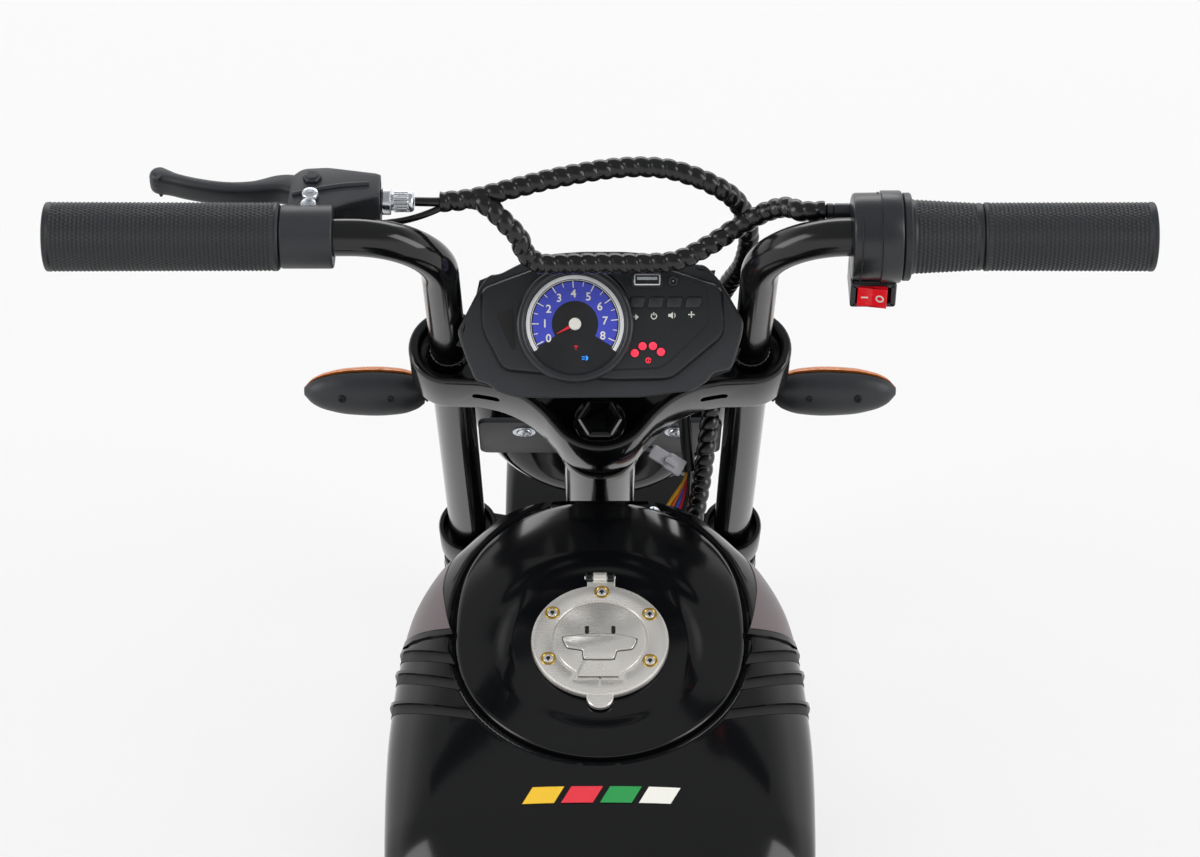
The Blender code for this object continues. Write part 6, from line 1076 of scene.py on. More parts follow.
def make_dial():
    """Printed gauge: silver ring, blue zone, ticks, numerals, needle and hub, under the bezel's lip."""
    at = dash_place(DIAL_U, 0.0)
    face = DASH_TOP + 2.6
    shells = [turned([(0.0, DASH_TOP - 0.4), (25.0, DASH_TOP - 0.4), (25.0, face), (0.0, face)], at, 0, 128)]
    shells.append(band(22.6, 24.5, -34.0, 214.0, face - 0.1, face + 0.28, at, 1, 90))
    shells.append(band(21.9, 22.2, -33.0, 213.0, face - 0.1, face + 0.14, at, 1, 90))
    shells.append(band(11.6, 21.2, -31.0, 211.0, face - 0.1, face + 0.12, at, 2, 90))
    for index in range(9):
        angle = DIAL_FIRST - DIAL_STEP * index
        shells.append(ray_line(angle, 18.1, 21.6, 0.5, face, face + 0.2, at, 3))
        spot = 15.1 * np.array((cos(radians(angle)), sin(radians(angle))))
        shells.append(lettering(str(index), 5.6, dash_place(DIAL_U + spot[0], spot[1], face + 0.16), 3, 0.12))
        if index < 8:
            shells.append(ray_line(angle - DIAL_STEP / 2, 19.1, 21.3, 0.35, face, face + 0.2, at, 3))
    needle = np.array(((3.2, -0.75), (10.3, -0.12), (10.3, 0.12), (3.2, 0.75)))
    turn = radians(208.0)
    spin = np.array(((cos(turn), sin(turn)), (-sin(turn), cos(turn))))
    shells.append(plated(needle @ spin, [(0.0, face + 0.3), (0.0, face + 0.8)], at, 4))
    hub = [(0.0, face - 0.1), (3.1, face - 0.1), (3.1, face + 0.9), (2.7, face + 1.3), (0.0, face + 1.3)]
    shells.append(turned(hub, at, 3, 48))
    low_mark = dash_place(DIAL_U + 0.5, -12.2)
    shells.append(band(0.9, 1.5, 40.0, 140.0, face, face + 0.2, low_mark, 4, 12))
    shells.append(ray_line(90.0, -0.6, 0.6, 0.5, face, face + 0.2, low_mark, 4))
    lamp = dash_place(DIAL_U + 5.4, -17.0)
    shells.append(band(0.2, 1.2, -90.0, 90.0, face, face + 0.2, lamp, 5, 12))
    for row in (-0.7, 0.0, 0.7):
        mark = np.array(((-2.0, row - 0.13), (-0.5, row - 0.13), (-0.5, row + 0.13), (-2.0, row + 0.13)))
        shells.append(plated(mark, [(0.0, face), (0.0, face + 0.2)], lamp, 5))
    build_piece("dial_print", "steering", shells,
                ("ink_dark", "silver", "ink_blue", "ink_white", "ink_red", "lamp_blue"))


def make_dash_lamps():
    """Four round lamp windows, each ringed with painted shade, a small warning mark and the simple signs under the
    buttons.
    """
    top = DASH_TOP
    shells = []
    for u, v in LAMP_CENTRES:
        at = dash_place(u, v)
        shells.append(turned([(0.0, top - 0.4), (2.0, top - 0.4), (2.0, top + 0.1), (1.2, top + 0.5),
                              (0.0, top + 0.6)], at, 0, 32))
        # A dark ring round each window in the recess finish: painted shade
        shells.append(turned_ring([(2.0, top - 0.3), (2.0, top + 0.2), (2.5, top + 0.2), (2.6, top - 0.3)],
                                  at, 2, 32))
    mark = dash_place(24.2, -18.1)
    shells.append(band(1.0, 1.4, 0.0, 340.0, top - 0.1, top + 0.08, mark, 0, 30))
    shells.append(ray_line(90.0, -0.6, 0.6, 0.4, top - 0.1, top + 0.08, mark, 0))
    skip, power, sound, plus = [dash_place(u, 3.6 + 0.4 * index) for index, u in enumerate(SIGN_PLACES)]
    low = top - 0.1
    high = top + 0.08
    for outline, at in ((((-1.8, -1.5), (0.0, 0.0), (-1.8, 1.5)), skip),
                        (((0.2, -1.5), (2.0, 0.0), (0.2, 1.5)), skip),
                        (((-2.0, -0.7), (-1.0, -0.7), (0.3, -1.7), (0.3, 1.7), (-1.0, 0.7), (-2.0, 0.7)), sound),
                        (((-1.6, -0.3), (1.6, -0.3), (1.6, 0.3), (-1.6, 0.3)), plus),
                        (((-0.3, -1.6), (0.3, -1.6), (0.3, 1.6), (-0.3, 1.6)), plus)):
        shells.append(plated(outline, [(0.0, low), (0.0, high)], at, 1))
    shells.append(band(1.1, 1.6, 120.0, 420.0, low, high, power, 1, 24))
    shells.append(ray_line(90.0, 0.4, 2.0, 0.5, low, high, power, 1))
    shells.append(band(1.2, 1.6, -50.0, 50.0, low, high, sound, 1, 12))
    build_piece("dash_lamps", "steering", shells, ("lamp_red", "ink_white", "recess"))


def make_buttons():
    """Four slanted push buttons with crowned tops."""
    outline = rounded(((-4.2, -2.6), (3.0, -2.6), (4.2, 2.6), (-3.0, 2.6)), 0.9, 4, True)
    rows = [(0.3, -0.6), (0.0, -0.2), (0.0, 5.0), (0.15, 5.3), (0.4, 5.45)]
    for number, (u, v) in enumerate(BUTTON_CENTRES, 1):
        button = "dash_button_%d" % number
        build_piece("button_cap_%d" % number, button, [plated(outline, rows, dash_place(u, v), 0)],
                    ("satin_plastic",), [button])


# Tank, cover and cap

def tank_section(y, turn):
    """Point of the tank at a place along it: a superellipse arch for turns above zero, the skirt below."""
    width = monotone(TANK_WIDTHS, y)
    top = monotone(TANK_TOP, y)
    side = monotone(TANK_SIDES, y)
    power = 2.0 / TANK_POWER
    drop = np.clip(-turn, 0.0, 1.0)
    drop = np.where(turn > pi, turn - pi, drop)
    arch = np.clip(turn, 0.0, pi)
    x = -width * np.sign(np.cos(arch)) * np.abs(np.cos(arch)) ** power * (1 - TANK_TUCK * drop ** 2)
    z = side + (top - side) * np.sin(arch) ** power - TANK_SKIRT * drop
    return np.stack(np.broadcast_arrays(x, y, z), axis=-1)


def cover_share(x, y):
    """How far out a point lies towards the cover's edge: 0 at its centre and 1 on the edge."""
    ahead = y >= COVER_WIDE_Y
    power = np.where(ahead, 2.6, 2.0)
    run = np.where(ahead, (y - COVER_WIDE_Y) / (COVER_FRONT - COVER_WIDE_Y),
                   (COVER_WIDE_Y - y) / (COVER_WIDE_Y - COVER_REAR))
    return (np.abs(x / COVER_HALF) ** power + np.abs(run) ** power) ** (1.0 / power)


def top_height(x, y):
    """Finished height of the tank's top, blended to the cap's flat seat near the cap."""
    top = monotone(TANK_TOP, y)
    side = monotone(TANK_SIDES, y)
    share = np.minimum(np.abs(x) / monotone(TANK_WIDTHS, y), 1.0)
    height = side + (top - side) * (1.0 - share ** TANK_POWER) ** (1.0 / TANK_POWER)
    near = eased((54.0 - np.hypot(x, y - CAP_Y)) / 10.0)
    plane = monotone(TANK_TOP, CAP_Y) + (y - CAP_Y) * tan(CAP_SLOPE)
    return height + (plane - height) * near


def patch(corners, lift, rows=24, cols=16, thickness=1.0, material=0, mirror=False):
    """A four-cornered piece of the tank's skin, lifted along its normals and given body."""
    corners = np.asarray(corners, float)
    u = np.linspace(0.0, 1.0, cols)[None, :, None]
    v = np.linspace(0.0, 1.0, rows)[:, None, None]
    at = (corners[0] * (1 - u) + corners[1] * u) * (1 - v) + (corners[3] * (1 - u) + corners[2] * u) * v
    points = tank_section(at[..., 0], at[..., 1])
    if mirror:
        points = points * (-1.0, 1.0, 1.0)
    normal = grid_normals(points)
    out = np.sign(np.sum(normal * (points - TANK_MIDDLE), axis=2, keepdims=True))
    return two_sided(points + normal * out * lift, -thickness * float(out.mean()), material)


def make_tank():
    """Glossy tank shell: arched sections with a tucked skirt, sunk under the cover, with a rolled lower edge."""
    y = np.linspace(TANK_REAR, TANK_FRONT, 130)[:, None]
    arch = np.concatenate((np.linspace(-1.0, -0.04, 16), np.linspace(0.0, pi, 150),
                           np.linspace(pi + 0.04, pi + 1.0, 16)))[None, :]
    points = tank_section(y, arch)
    lean = np.clip((points[..., 1] - 100.0) / 42.0, 0.0, 1.0)
    points[..., 1] -= lean * 9.0 * np.clip((430.0 - points[..., 2]) / 40.0, -0.4, 1.0) * 0.5
    share = cover_share(points[..., 0], points[..., 1])
    above = (points[..., 2] > monotone(TANK_SIDES, points[..., 1])).astype(float)
    seat = top_height(points[..., 0], points[..., 1])
    sunk = eased((1.06 - share) / 0.07) * above
    points[..., 2] = points[..., 2] * (1 - sunk) + (seat - 3.8) * sunk
    normal = grid_normals(points)
    normal *= np.sign(np.sum(normal * (points - TANK_MIDDLE), axis=2, keepdims=True))
    inner = points - normal * TANK_WALL
    hole = np.hypot(points[..., 0], points[..., 1] - CAP_Y)
    push = np.clip((33.0 - hole) / 4.0, 0.0, 1.0)
    points[..., 2] -= push * 2.0
    inner[..., 2] -= push * 0.2
    shell = grid(ring_closed(np.concatenate((points, inner[:, ::-1]), axis=1)), 0, True, True)
    piece = build_piece("tank_skin", "frame", [shell], ("gloss_shell",),
                        ["tank_shell"], sharp=50.0)
    well = [(0.0, -30.0), (33.0, -30.0), (33.0, 12.0), (0.0, 12.0)]
    cut_away(piece, [turned(well, upright((0.0, CAP_Y, CAP_Z)), 0, 64)])
    front = rectangle(70.0, 120.0, 12.0, 6)
    cut_away(piece, [plated(front, [(0.0, -30.0), (0.0, 30.0)], place((0.0, 138.0, 374.0), X_AXIS, -Y_AXIS))])


def make_tank_details():
    """Side windows, ridges, slanting vents laid as painted shade and fins, as pieces of the tank's own skin on both
    sides.
    """
    shells = []
    window = ((127.0, 0.47), (62.0, 0.80), (78.0, -0.10), (112.0, 0.20))
    ridge = ((60.5, 0.82), (57.0, 0.84), (74.0, -0.16), (77.0, -0.11))
    vents = (((79.4, -0.26), (45.5, 0.825), (38.0, 0.87), (79.0, -0.44)),
             ((76.6, -0.55), (27.6, 0.881), (20.5, 0.92), (74.5, -0.70)),
             ((60.0, -0.80), (6.4, 0.99), (0.0, 1.03), (56.0, -0.92)))
    fins = (((80.0, -0.20), (47.0, 0.81), (45.5, 0.825), (79.6, -0.25)),
            ((77.5, -0.49), (29.5, 0.87), (27.6, 0.881), (76.8, -0.54)),
            ((61.5, -0.75), (8.4, 0.98), (6.4, 0.99), (60.2, -0.79)))
    for mirror in (False, True):
        shells.append(patch(window, 0.5, 30, 30, 1.6, 1, mirror))
        shells.append(patch(ridge, 1.5, 6, 30, 2.4, 0, mirror))
        # The vents are dark sheets in the recess finish: painted shade between the fins
        for corners in vents:
            shells.append(patch(corners, 0.25, 8, 40, 1.2, 2, mirror))
        for corners in fins:
            shells.append(patch(corners, 1.5, 5, 40, 2.4, 0, mirror))
    build_piece("tank_side_details", "frame", shells, ("gloss_shell", "window", "recess"))


COVER_EARS = ((-23.4211, 138.0), (28.1579, 137.5))
STRIPE_COUNT = 4
STRIPE_LEFT = -38.0
STRIPE_PITCH = 19.0
STRIPE_WIDTH = 15.5
STRIPE_SLANT = 5.0
STRIPE_TOP = -43.5
STRIPE_HEIGHT = 9.0


def make_cover():
    """Tank cover: a crowned plate from the cap's hole to its superellipse edge, with a step, ears and stripes."""
    angle = np.linspace(0.0, 2 * pi, 193)[:-1]
    reach = np.where(np.sin(angle) >= 0, COVER_FRONT - COVER_WIDE_Y, COVER_WIDE_Y - COVER_REAR)
    power = np.where(np.sin(angle) >= 0, 2.6, 2.0)
    scale = (np.abs(np.cos(angle)) ** power + np.abs(np.sin(angle)) ** power) ** (-1.0 / power)
    edge = np.stack((COVER_HALF * np.cos(angle) * scale, COVER_WIDE_Y + reach * np.sin(angle) * scale), axis=1)
    from_cap = edge - (0.0, CAP_Y)
    bearing = np.arctan2(from_cap[:, 1], from_cap[:, 0])
    hole = np.stack((31.0 * np.cos(bearing), CAP_Y + 31.0 * np.sin(bearing)), axis=1)
    share = np.concatenate(((0.0, 0.006, 0.02), np.linspace(0.05, 0.95, 56), (0.975, 0.988, 0.996, 1.0)))
    drop = np.concatenate(((0.6, 0.25, 0.0), np.zeros(56), (0.12, 0.4, 0.8, 1.5)))
    flat = hole[None] * (1 - share[:, None, None]) + edge[None] * share[:, None, None]
    height = top_height(flat[..., 0], flat[..., 1]) - drop[:, None]
    arc_away = np.hypot(flat[..., 0], flat[..., 1] - CAP_Y) - 58.0
    ahead = np.clip((flat[..., 1] - CAP_Y - 22.0) / 14.0, 0.0, 1.0)
    height = height + ahead * 0.9 / (1.0 + np.exp(-np.clip(arc_away / 1.1, -30, 30))) - 0.9 * ahead
    points = np.concatenate((flat, height[..., None]), axis=-1)
    under = points.copy()
    under[..., 2] = top_height(flat[..., 0], flat[..., 1]) - 2.9
    loop = np.concatenate((points, under[::-1], points[:1]))
    shells = [grid(ring_closed(loop), 0)]
    for x, y in COVER_EARS:
        ear = [(0.0, -3.0), (6.4, -3.0), (6.4, 1.0), (5.6, 1.8), (0.0, 1.9)]
        shells.append(turned(ear, upright((x, y, 482.0)), 0, 40))
        shells.append(headed(upright((x, y, 483.7)), 3.6, 1.7, "cross", 1))
    across, down = np.meshgrid(np.linspace(0.0, 1.0, 16), np.linspace(0.0, 1.0, 8))
    for index in range(STRIPE_COUNT):
        x = STRIPE_LEFT + index * STRIPE_PITCH + STRIPE_WIDTH * across + STRIPE_SLANT * (1.0 - down)
        y = STRIPE_TOP - STRIPE_HEIGHT * down
        sheet = np.stack((x, y, top_height(x, y) + 0.28), axis=-1)
        shells.append(two_sided(sheet, -0.3, 2 + index))
    build_piece("tank_cover_moulding", "frame", shells,
                ("gloss_shell", "zinc", "ink_yellow", "ink_red", "ink_green", "ink_white"),
                ["tank_cover"], sharp=40.0)


CAP_AHEAD = np.array((0.0, cos(CAP_SLOPE), sin(CAP_SLOPE)))
CAP_NORMAL = np.array((0.0, -sin(CAP_SLOPE), cos(CAP_SLOPE)))
CAP_BASE = np.array((0.0, CAP_Y, CAP_Z)) + CAP_NORMAL * 0.5
CAP_HINGE = CAP_BASE + CAP_AHEAD * 39.5 + CAP_NORMAL * 3.2


def cap_place(x=0.0, ahead=0.0, rise=0.0):
    return place(CAP_BASE + X_AXIS * x + CAP_AHEAD * ahead + CAP_NORMAL * rise, X_AXIS, CAP_NORMAL)


KEY_COVER = ((-19.1, -0.1), (-17.8, 0.9), (-6.9, 2.6), (-0.1, 2.9), (7.2, 2.5), (17.6, 0.2), (18.6, -1.5),
             (16.3, -6.6), (8.2, -7.7), (7.4, -11.7), (6.1, -13.0), (-7.4, -13.0), (-8.4, -11.7), (-8.5, -7.3),
             (-16.5, -5.9))
CAP_SCREWS = ((0.9, 29.6), (-24.3, 16.3), (25.3, 15.4), (-26.1, -12.4), (25.2, -13.8))


def keyhole(radius, left, right, foot, steps=240):
    """A circle joined with a box below its middle: at each angle the farther of the two edges."""
    angle = np.linspace(0.0, 2 * pi, steps, endpoint=False)
    way = np.stack((np.cos(angle), np.sin(angle)), axis=1)
    across = np.where(way[:, 0] > 0, right, left) / np.where(np.abs(way[:, 0]) < 1e-6, 1e-6, way[:, 0])
    down = np.where(way[:, 1] < -1e-6, foot / np.minimum(way[:, 1], -1e-6), 0.0)
    reach = np.maximum(radius, np.minimum(across, down))
    return way * reach[:, None]


def make_cap():
    """Bright filler cap: a keyhole groove, five ringed screws with painted-shade sockets, a key cover over painted
    shade of its thin gap, two painted-shade slots and fold, tab and knuckle.
    """
    profile = [(0.0, 0.1), (34.2, 0.1), (35.0, 0.8), (35.0, 2.3), (34.7, 3.0), (34.0, 3.3), (0.0, 3.3)]
    shells = [turned(profile, cap_place(), 0, 128)]
    outer = keyhole(24.6, -13.1, 11.6, -25.5)
    rim = unit_rows(outer)
    rows = [(rim * 34.3, 3.2), (rim * 34.0, 3.7), (rim * 33.2, 4.0), (rim * 31.0, 4.05),
            (outer + rim * 0.35, 4.05), (outer, 3.85), (outer, 3.2), (rim * 34.3, 3.2)]
    ring = np.stack([np.column_stack((xy, np.full(len(xy), height))) for xy, height in rows])
    shells.append(grid(put(ring_closed(ring), cap_place()), 0))
    inner = keyhole(23.1, -11.7, 10.2, -24.6)
    shells.append(plated(inner, [(0.0, 3.2), (0.0, 3.85), (0.3, 4.05)], cap_place(), 0))
    tab = arc((0.0, -35.0), 6.8, 180.0, 360.0, 24)
    tab = np.concatenate((tab, ((6.8, -31.0), (-6.8, -31.0))))
    shells.append(plated(tab, edge_rows(0.6, 3.3, 0.4, 0.9), cap_place(), 0))
    neck = rectangle(14.4, 7.0, 0.8, 3, (0.6, 35.6))
    shells.append(plated(neck, edge_rows(0.8, 3.3, 0.4, 0.5), cap_place(), 0))
    knuckle = turned_ring([(1.5, -3.5), (2.4, -3.5), (2.8, -3.1), (2.8, 3.1), (2.4, 3.5), (1.5, 3.5)],
                          place(CAP_HINGE, CAP_NORMAL, X_AXIS), 0, 40)
    shells.append(knuckle)
    for x, ahead in CAP_SCREWS:
        shells.append(turned_ring([(2.6, 3.6), (3.9, 3.6), (3.9, 4.5), (3.5, 4.7), (2.9, 4.5), (2.6, 4.2)],
                                  cap_place(x, ahead), 1, 40))
        shells.append(headed(cap_place(x, ahead, 3.6), 2.7, 1.1, "cross", 0, 0.25))
        # A dark hexagon in each screw's middle: painted shade of its socket
        shells.append(plated(circle(1.15, 6), [(0.0, 4.0), (0.0, 4.72), (0.2, 4.74)], cap_place(x, ahead), 2))
    cover = rounded(np.array(KEY_COVER), 1.0, 3, True)
    # A dark plate just larger than the key cover: painted shade of the gap round it
    shells.append(plated(inset(cover, -0.55), [(0.0, 3.9), (0.0, 4.16)], cap_place(), 3))
    shells.append(plated(cover, [(0.0, 4.0), (0.0, 4.6), (0.25, 4.8)], cap_place(), 0))
    # Two dark slots in the recess finish: painted shade
    for x in (-6.6, 6.8):
        shells.append(plated(rectangle(2.1, 4.9, 1.0, 4), [(0.0, 3.9), (0.0, 4.18)], cap_place(x, 5.6), 2))
    # The fold is a thin dark strip on the cap: painted shade of the crease
    fold = rounded(np.array(((-11.0, -24.2), (9.4, -24.2), (9.4, -23.4), (-11.0, -23.4))), 0.3, 2, True)
    shells.append(plated(fold, [(0.0, 4.0), (0.0, 4.12)], cap_place(), 3))
    build_piece("filler_cap", "cap_lid", shells, ("cap_chrome", "brass", "recess", "cap_gap"),
                ["cap_lid"])


def make_cap_hinge():
    """The hinge's pin in its two ears, each on a small foot."""
    at = place(CAP_HINGE, CAP_NORMAL, X_AXIS)
    shells = [turned([(0.0, -8.0), (0.9, -8.0), (1.2, -7.7), (1.2, 7.7), (0.9, 8.0), (0.0, 8.0)], at, 1, 32)]
    for side in (-1, 1):
        ear = [(1.2, 3.85), (2.5, 3.85), (2.8, 4.1), (2.8, 6.9), (2.5, 7.2), (1.2, 7.2)]
        shells.append(turned_ring(ear, place(CAP_HINGE, CAP_NORMAL, X_AXIS * side), 0, 40))
        foot = place(CAP_HINGE + X_AXIS * side * 5.5 - CAP_NORMAL * 1.8, X_AXIS, CAP_NORMAL)
        shells.append(block((3.3, 5.4, 3.3), foot, 0, 0.5, 0.3))
    build_piece("cap_hinge_ears", "frame", shells, ("enamel", "zinc"), ["cap_hinge"])


# Lamps, fenders and running gear

def lofted(sections, material=0):
    """A closed body through rings of points, capped flat at both ends."""
    return grid(ring_closed(np.asarray(sections, float)), material, True, True)


HEADLIGHT_PLACE = place((0.0, 0.0, 432.0), X_AXIS, Y_AXIS)


def make_headlight():
    """Turned lamp bowl with a bright rim, a faceted reflector, and a bulged lens with its bulb."""
    at = HEADLIGHT_PLACE
    outer = rounded([(42.0, 262.0), (59.0, 264.5), (69.0, 275.0), (78.0, 292.0), (79.0, 306.0)], 9.0, 6)
    bowl = [(0.0, 262.0)] + outer.tolist() + [(76.5, 306.0), (72.0, 292.0), (56.0, 270.0), (0.0, 266.0)]
    rim = rounded([(74.5, 303.0), (79.0, 303.0), (79.0, 318.0), (75.2, 318.0), (74.0, 310.0)], 2.2, 4)
    share = np.linspace(0.02, 1.0, 30)
    reflector = np.column_stack((72.0 * share, 278.0 + 30.0 * share ** 2))
    reflector = np.concatenate((((0.0, 278.0),), reflector, ((71.4, 309.5), (0.0, 276.5))))
    ribs = lambda p, a: 0.35 * np.cos(40 * a)[None, :] * (p[:, :1] > 12.0) * (p[:, :1] < 71.0)
    shells = [turned(bowl, at, 0, 96), turned_ring(rim, at, 1, 128), turned(reflector, at, 2, 160, ribs)]
    build_piece("headlight_bowl", "steering", shells, ("gloss_shell", "cap_chrome", "reflector"),
                ["headlight_shell"])
    share = np.linspace(0.0, 1.0, 24)
    front = np.column_stack((75.2 * share, 314.0 + 12.0 * (1 - share ** 2)))
    back = np.column_stack((75.2 * share[::-1], 311.5 + 11.5 * (1 - share[::-1] ** 2)))
    lens = turned(np.concatenate((front, back)), at, 0, 128)
    bulb = turned(arc((0.0, 284.0), 6.0, -90.0, 90.0, 12), at, 1, 40)
    build_piece("headlight_glass", "steering", [lens, bulb], ("clear_lens", "ink_white"),
                ["headlight_lens"])


def make_headlight_bracket():
    """Plate between the fork tubes with a boss to the lamp, and two screws on washers."""
    plate = fork_point(0.0, 323.0, 3.5)
    shells = [plated(rectangle(136.0, 46.0, 6.0), edge_rows(-1.5, 1.5, 0.5, 0.5),
                     place(plate, X_AXIS, FORK_AHEAD))]
    start = plate[1] - 1.0
    shells.append(turned([(0.0, start), (18.0, start), (18.0, 261.7), (0.0, 261.7)], HEADLIGHT_PLACE, 0, 64))
    for x in (-42.5, 42.5):
        screw = place(fork_point(x, 333.0, 1.9), X_AXIS, -FORK_AHEAD)
        shells.append(headed(screw, 4.4, 2.4, "cross", 1))
        shells.append(turned_ring([(4.2, -0.2), (6.4, -0.2), (6.4, 0.6), (4.2, 0.6)], screw, 1, 40))
    build_piece("headlight_bracket_pressing", "steering", shells, ("satin_plastic", "zinc"),
                ["headlight_bracket"])


def make_indicators():
    """Teardrop indicator bodies split by a thin gap from their orange lenses, with a core of painted shade behind
    the gap, on ribbed rubber stalks.
    """
    centre = fork_point(0.0, 396.0)
    for side, word in ((-1, "left"), (1, "right")):
        share = np.linspace(0.0, 1.0, 40)
        scale = monotone(((0.0, 0.50), (0.06, 0.72), (0.2, 0.93), (0.4, 1.0), (0.62, 0.95), (0.82, 0.76),
                          (0.93, 0.52), (1.0, 0.16)), share)
        x = side * (95.0 + 65.0 * share)
        shells = []
        for start, end, kind in ((94.0, 266.0, 0), (-82.0, 82.0, 1)):
            angle = np.radians(np.linspace(start, end, 40))[None, :]
            y = centre[1] + 12.0 * scale[:, None] * np.cos(angle)
            z = centre[2] + 14.4 * scale[:, None] * np.sin(angle)
            shells.append(lofted(np.stack(np.broadcast_arrays(x[:, None], y, z), axis=-1), kind))
        # A dark core in the recess finish fills the body: painted shade seen through the gap to the lens
        core = np.radians(np.linspace(0.0, 360.0, 41)[:-1])[None, :]
        y = centre[1] + 10.6 * scale[:, None] * np.cos(core)
        z = centre[2] + 13.0 * scale[:, None] * np.sin(core)
        shells.append(lofted(np.stack(np.broadcast_arrays(x[:, None] * 0.999, y, z), axis=-1), 2))
        stalk = resample(np.array(((5.4, 90.8), (5.4, 99.0))), 0.4)
        ribs = lambda p, a: 0.5 * np.cos(2 * pi * p[:, 1:] / 2.4) * np.ones_like(a)[None, :]
        shells.append(turned(stalk, lying_x((0.0, centre[1], centre[2]), side), 3, 48, ribs))
        for offset in (18.0, 44.0):
            spot = (side * (95.0 + offset), centre[1] - 11.0, centre[2] + 4.0)
            shells.append(headed(place(spot, X_AXIS, (0.0, -0.93, 0.36)), 2.2, 0.9, "cross", 2))
        build_piece("indicator_lamp_" + word, "steering", shells,
                    ("satin_plastic", "orange_lens", "recess", "grip_rubber"),
                    ["indicator_" + word])


FENDER_RADIUS = 150.0
FENDER_THICKNESS = 2.4
FENDER_ROWS = 90


def fender_shell(centre, start, end):
    """Arched sheet: rounded across, with its edges turned in, round part of a circle about the axle."""
    half = spline(((-56, 14), (-56, 9), (-54.5, 5.5), (-49, 3.2), (-36, 1.6), (0, 0)), 2.2)
    across = np.concatenate((half, half[-2::-1] * (-1.0, 1.0)))
    angle = np.radians(np.linspace(start, end, FENDER_ROWS))[:, None]
    reach = FENDER_RADIUS - across[None, :, 1]
    fade = np.minimum(np.arange(FENDER_ROWS), np.arange(FENDER_ROWS)[::-1])[:, None]
    reach = reach - 1.6 * np.clip(1 - fade / 2.0, 0, 1)
    x = np.broadcast_to(across[None, :, 0], reach.shape)
    points = np.stack((x, centre[1] + reach * np.cos(angle), centre[2] + reach * np.sin(angle)), axis=-1)
    probe = (FENDER_ROWS // 2, 20)
    outward = np.sign(np.sum(grid_normals(points)[probe] * (points[probe] - centre)))
    return two_sided(points, float(FENDER_THICKNESS * outward))


def make_fenders():
    """Glossy fenders, the front one on tabs to the fork legs, the rear one on a strut with the tail lamp."""
    shells = [fender_shell(FRONT_AXLE, 35.0, 128.0)]
    for side in (-1, 1):
        tab = place(fork_point(side * 58.6, 134.0), X_AXIS, FORK_UP)
        shells.append(block((8.2, 8.0, 30.0), tab, 0, 1.2, 0.8))
        shells.append(headed(place(fork_point(side * 57.0, 138.0), FORK_UP, X_AXIS * side), 3.4, 1.6, "hex", 1))
    build_piece("front_fender_moulding", "steering", shells, ("gloss_shell", "zinc"),
                ["front_fender"])
    shells = [fender_shell(REAR_AXLE, 62.0, 165.0)]
    shells.append(block((36.0, 8.0, 113.0), upright((0.0, -430.0, 337.5)), 0, 1.5, 0.8))
    build_piece("rear_fender_moulding", "frame", shells, ("gloss_shell",),
                ["rear_fender"])
    lamp = block((70.0, 30.0, 21.0), place((0.0, -448.2, 397.0), X_AXIS, -Y_AXIS), 0, 8.0, 3.5)
    base = block((72.0, 31.5, 5.0), place((0.0, -440.3, 397.0), X_AXIS, -Y_AXIS), 1, 9.0, 1.0)
    build_piece("tail_lamp_lens", "frame", [lamp, base], ("red_lens", "satin_plastic"),
                ["tail_lamp"])


def tread(half_width, blocks, depth):
    """Ripple of a tyre: slanting grooves to both shoulders and a wavy middle groove, sunk with soft edges."""
    def ripple(profile, angle):
        across = profile[:, 1:]
        turn = angle[None, :] * blocks / (2 * pi)
        lean = 0.55 * np.abs(across) / half_width + np.where(across > 0, 0.5, 0.0)
        phase = np.mod(turn + lean, 1.0)
        cross_groove = np.clip((0.13 - np.abs(phase - 0.5)) / 0.05, 0.0, 1.0) * (np.abs(across) > 4.0)
        wave = across - 2.2 * np.sin(angle[None, :] * blocks / 2)
        middle = np.clip((1.7 - np.abs(wave)) / 0.6, 0.0, 1.0)
        outer = np.clip((profile[:, :1] - (profile[:, 0].max() - 19.0)) / 3.0, 0.0, 1.0)
        return -depth * np.maximum(cross_groove, middle) * outer
    return ripple


def tyre_profile(radius, half, seat, seat_half, crown):
    """Section of a tyre: a crowned tread, round shoulders and bulged walls that narrow to the bead."""
    side = spline(((seat, seat_half), (seat + 4, seat_half + 3.5), (seat + 14, half - 0.6),
                   (seat + 22, half), (radius - crown - 3, half - 2.0), (radius - crown + 3, half - 6.5),
                   (radius - 3.2, half * 0.62), (radius - 0.8, half * 0.3), (radius, 0.0)), 1.1)
    both = np.concatenate((side, side[-2::-1] * (1.0, -1.0)))
    return np.concatenate((both, ((seat + 1.5, -seat_half + 4), (seat + 1.5, seat_half - 4))))


TYRE_RADIUS = 145.0
TYRE_HALF = 31.0
RIM_HALF = 23.0
TREAD_BLOCKS = 36
SPOKES = 5


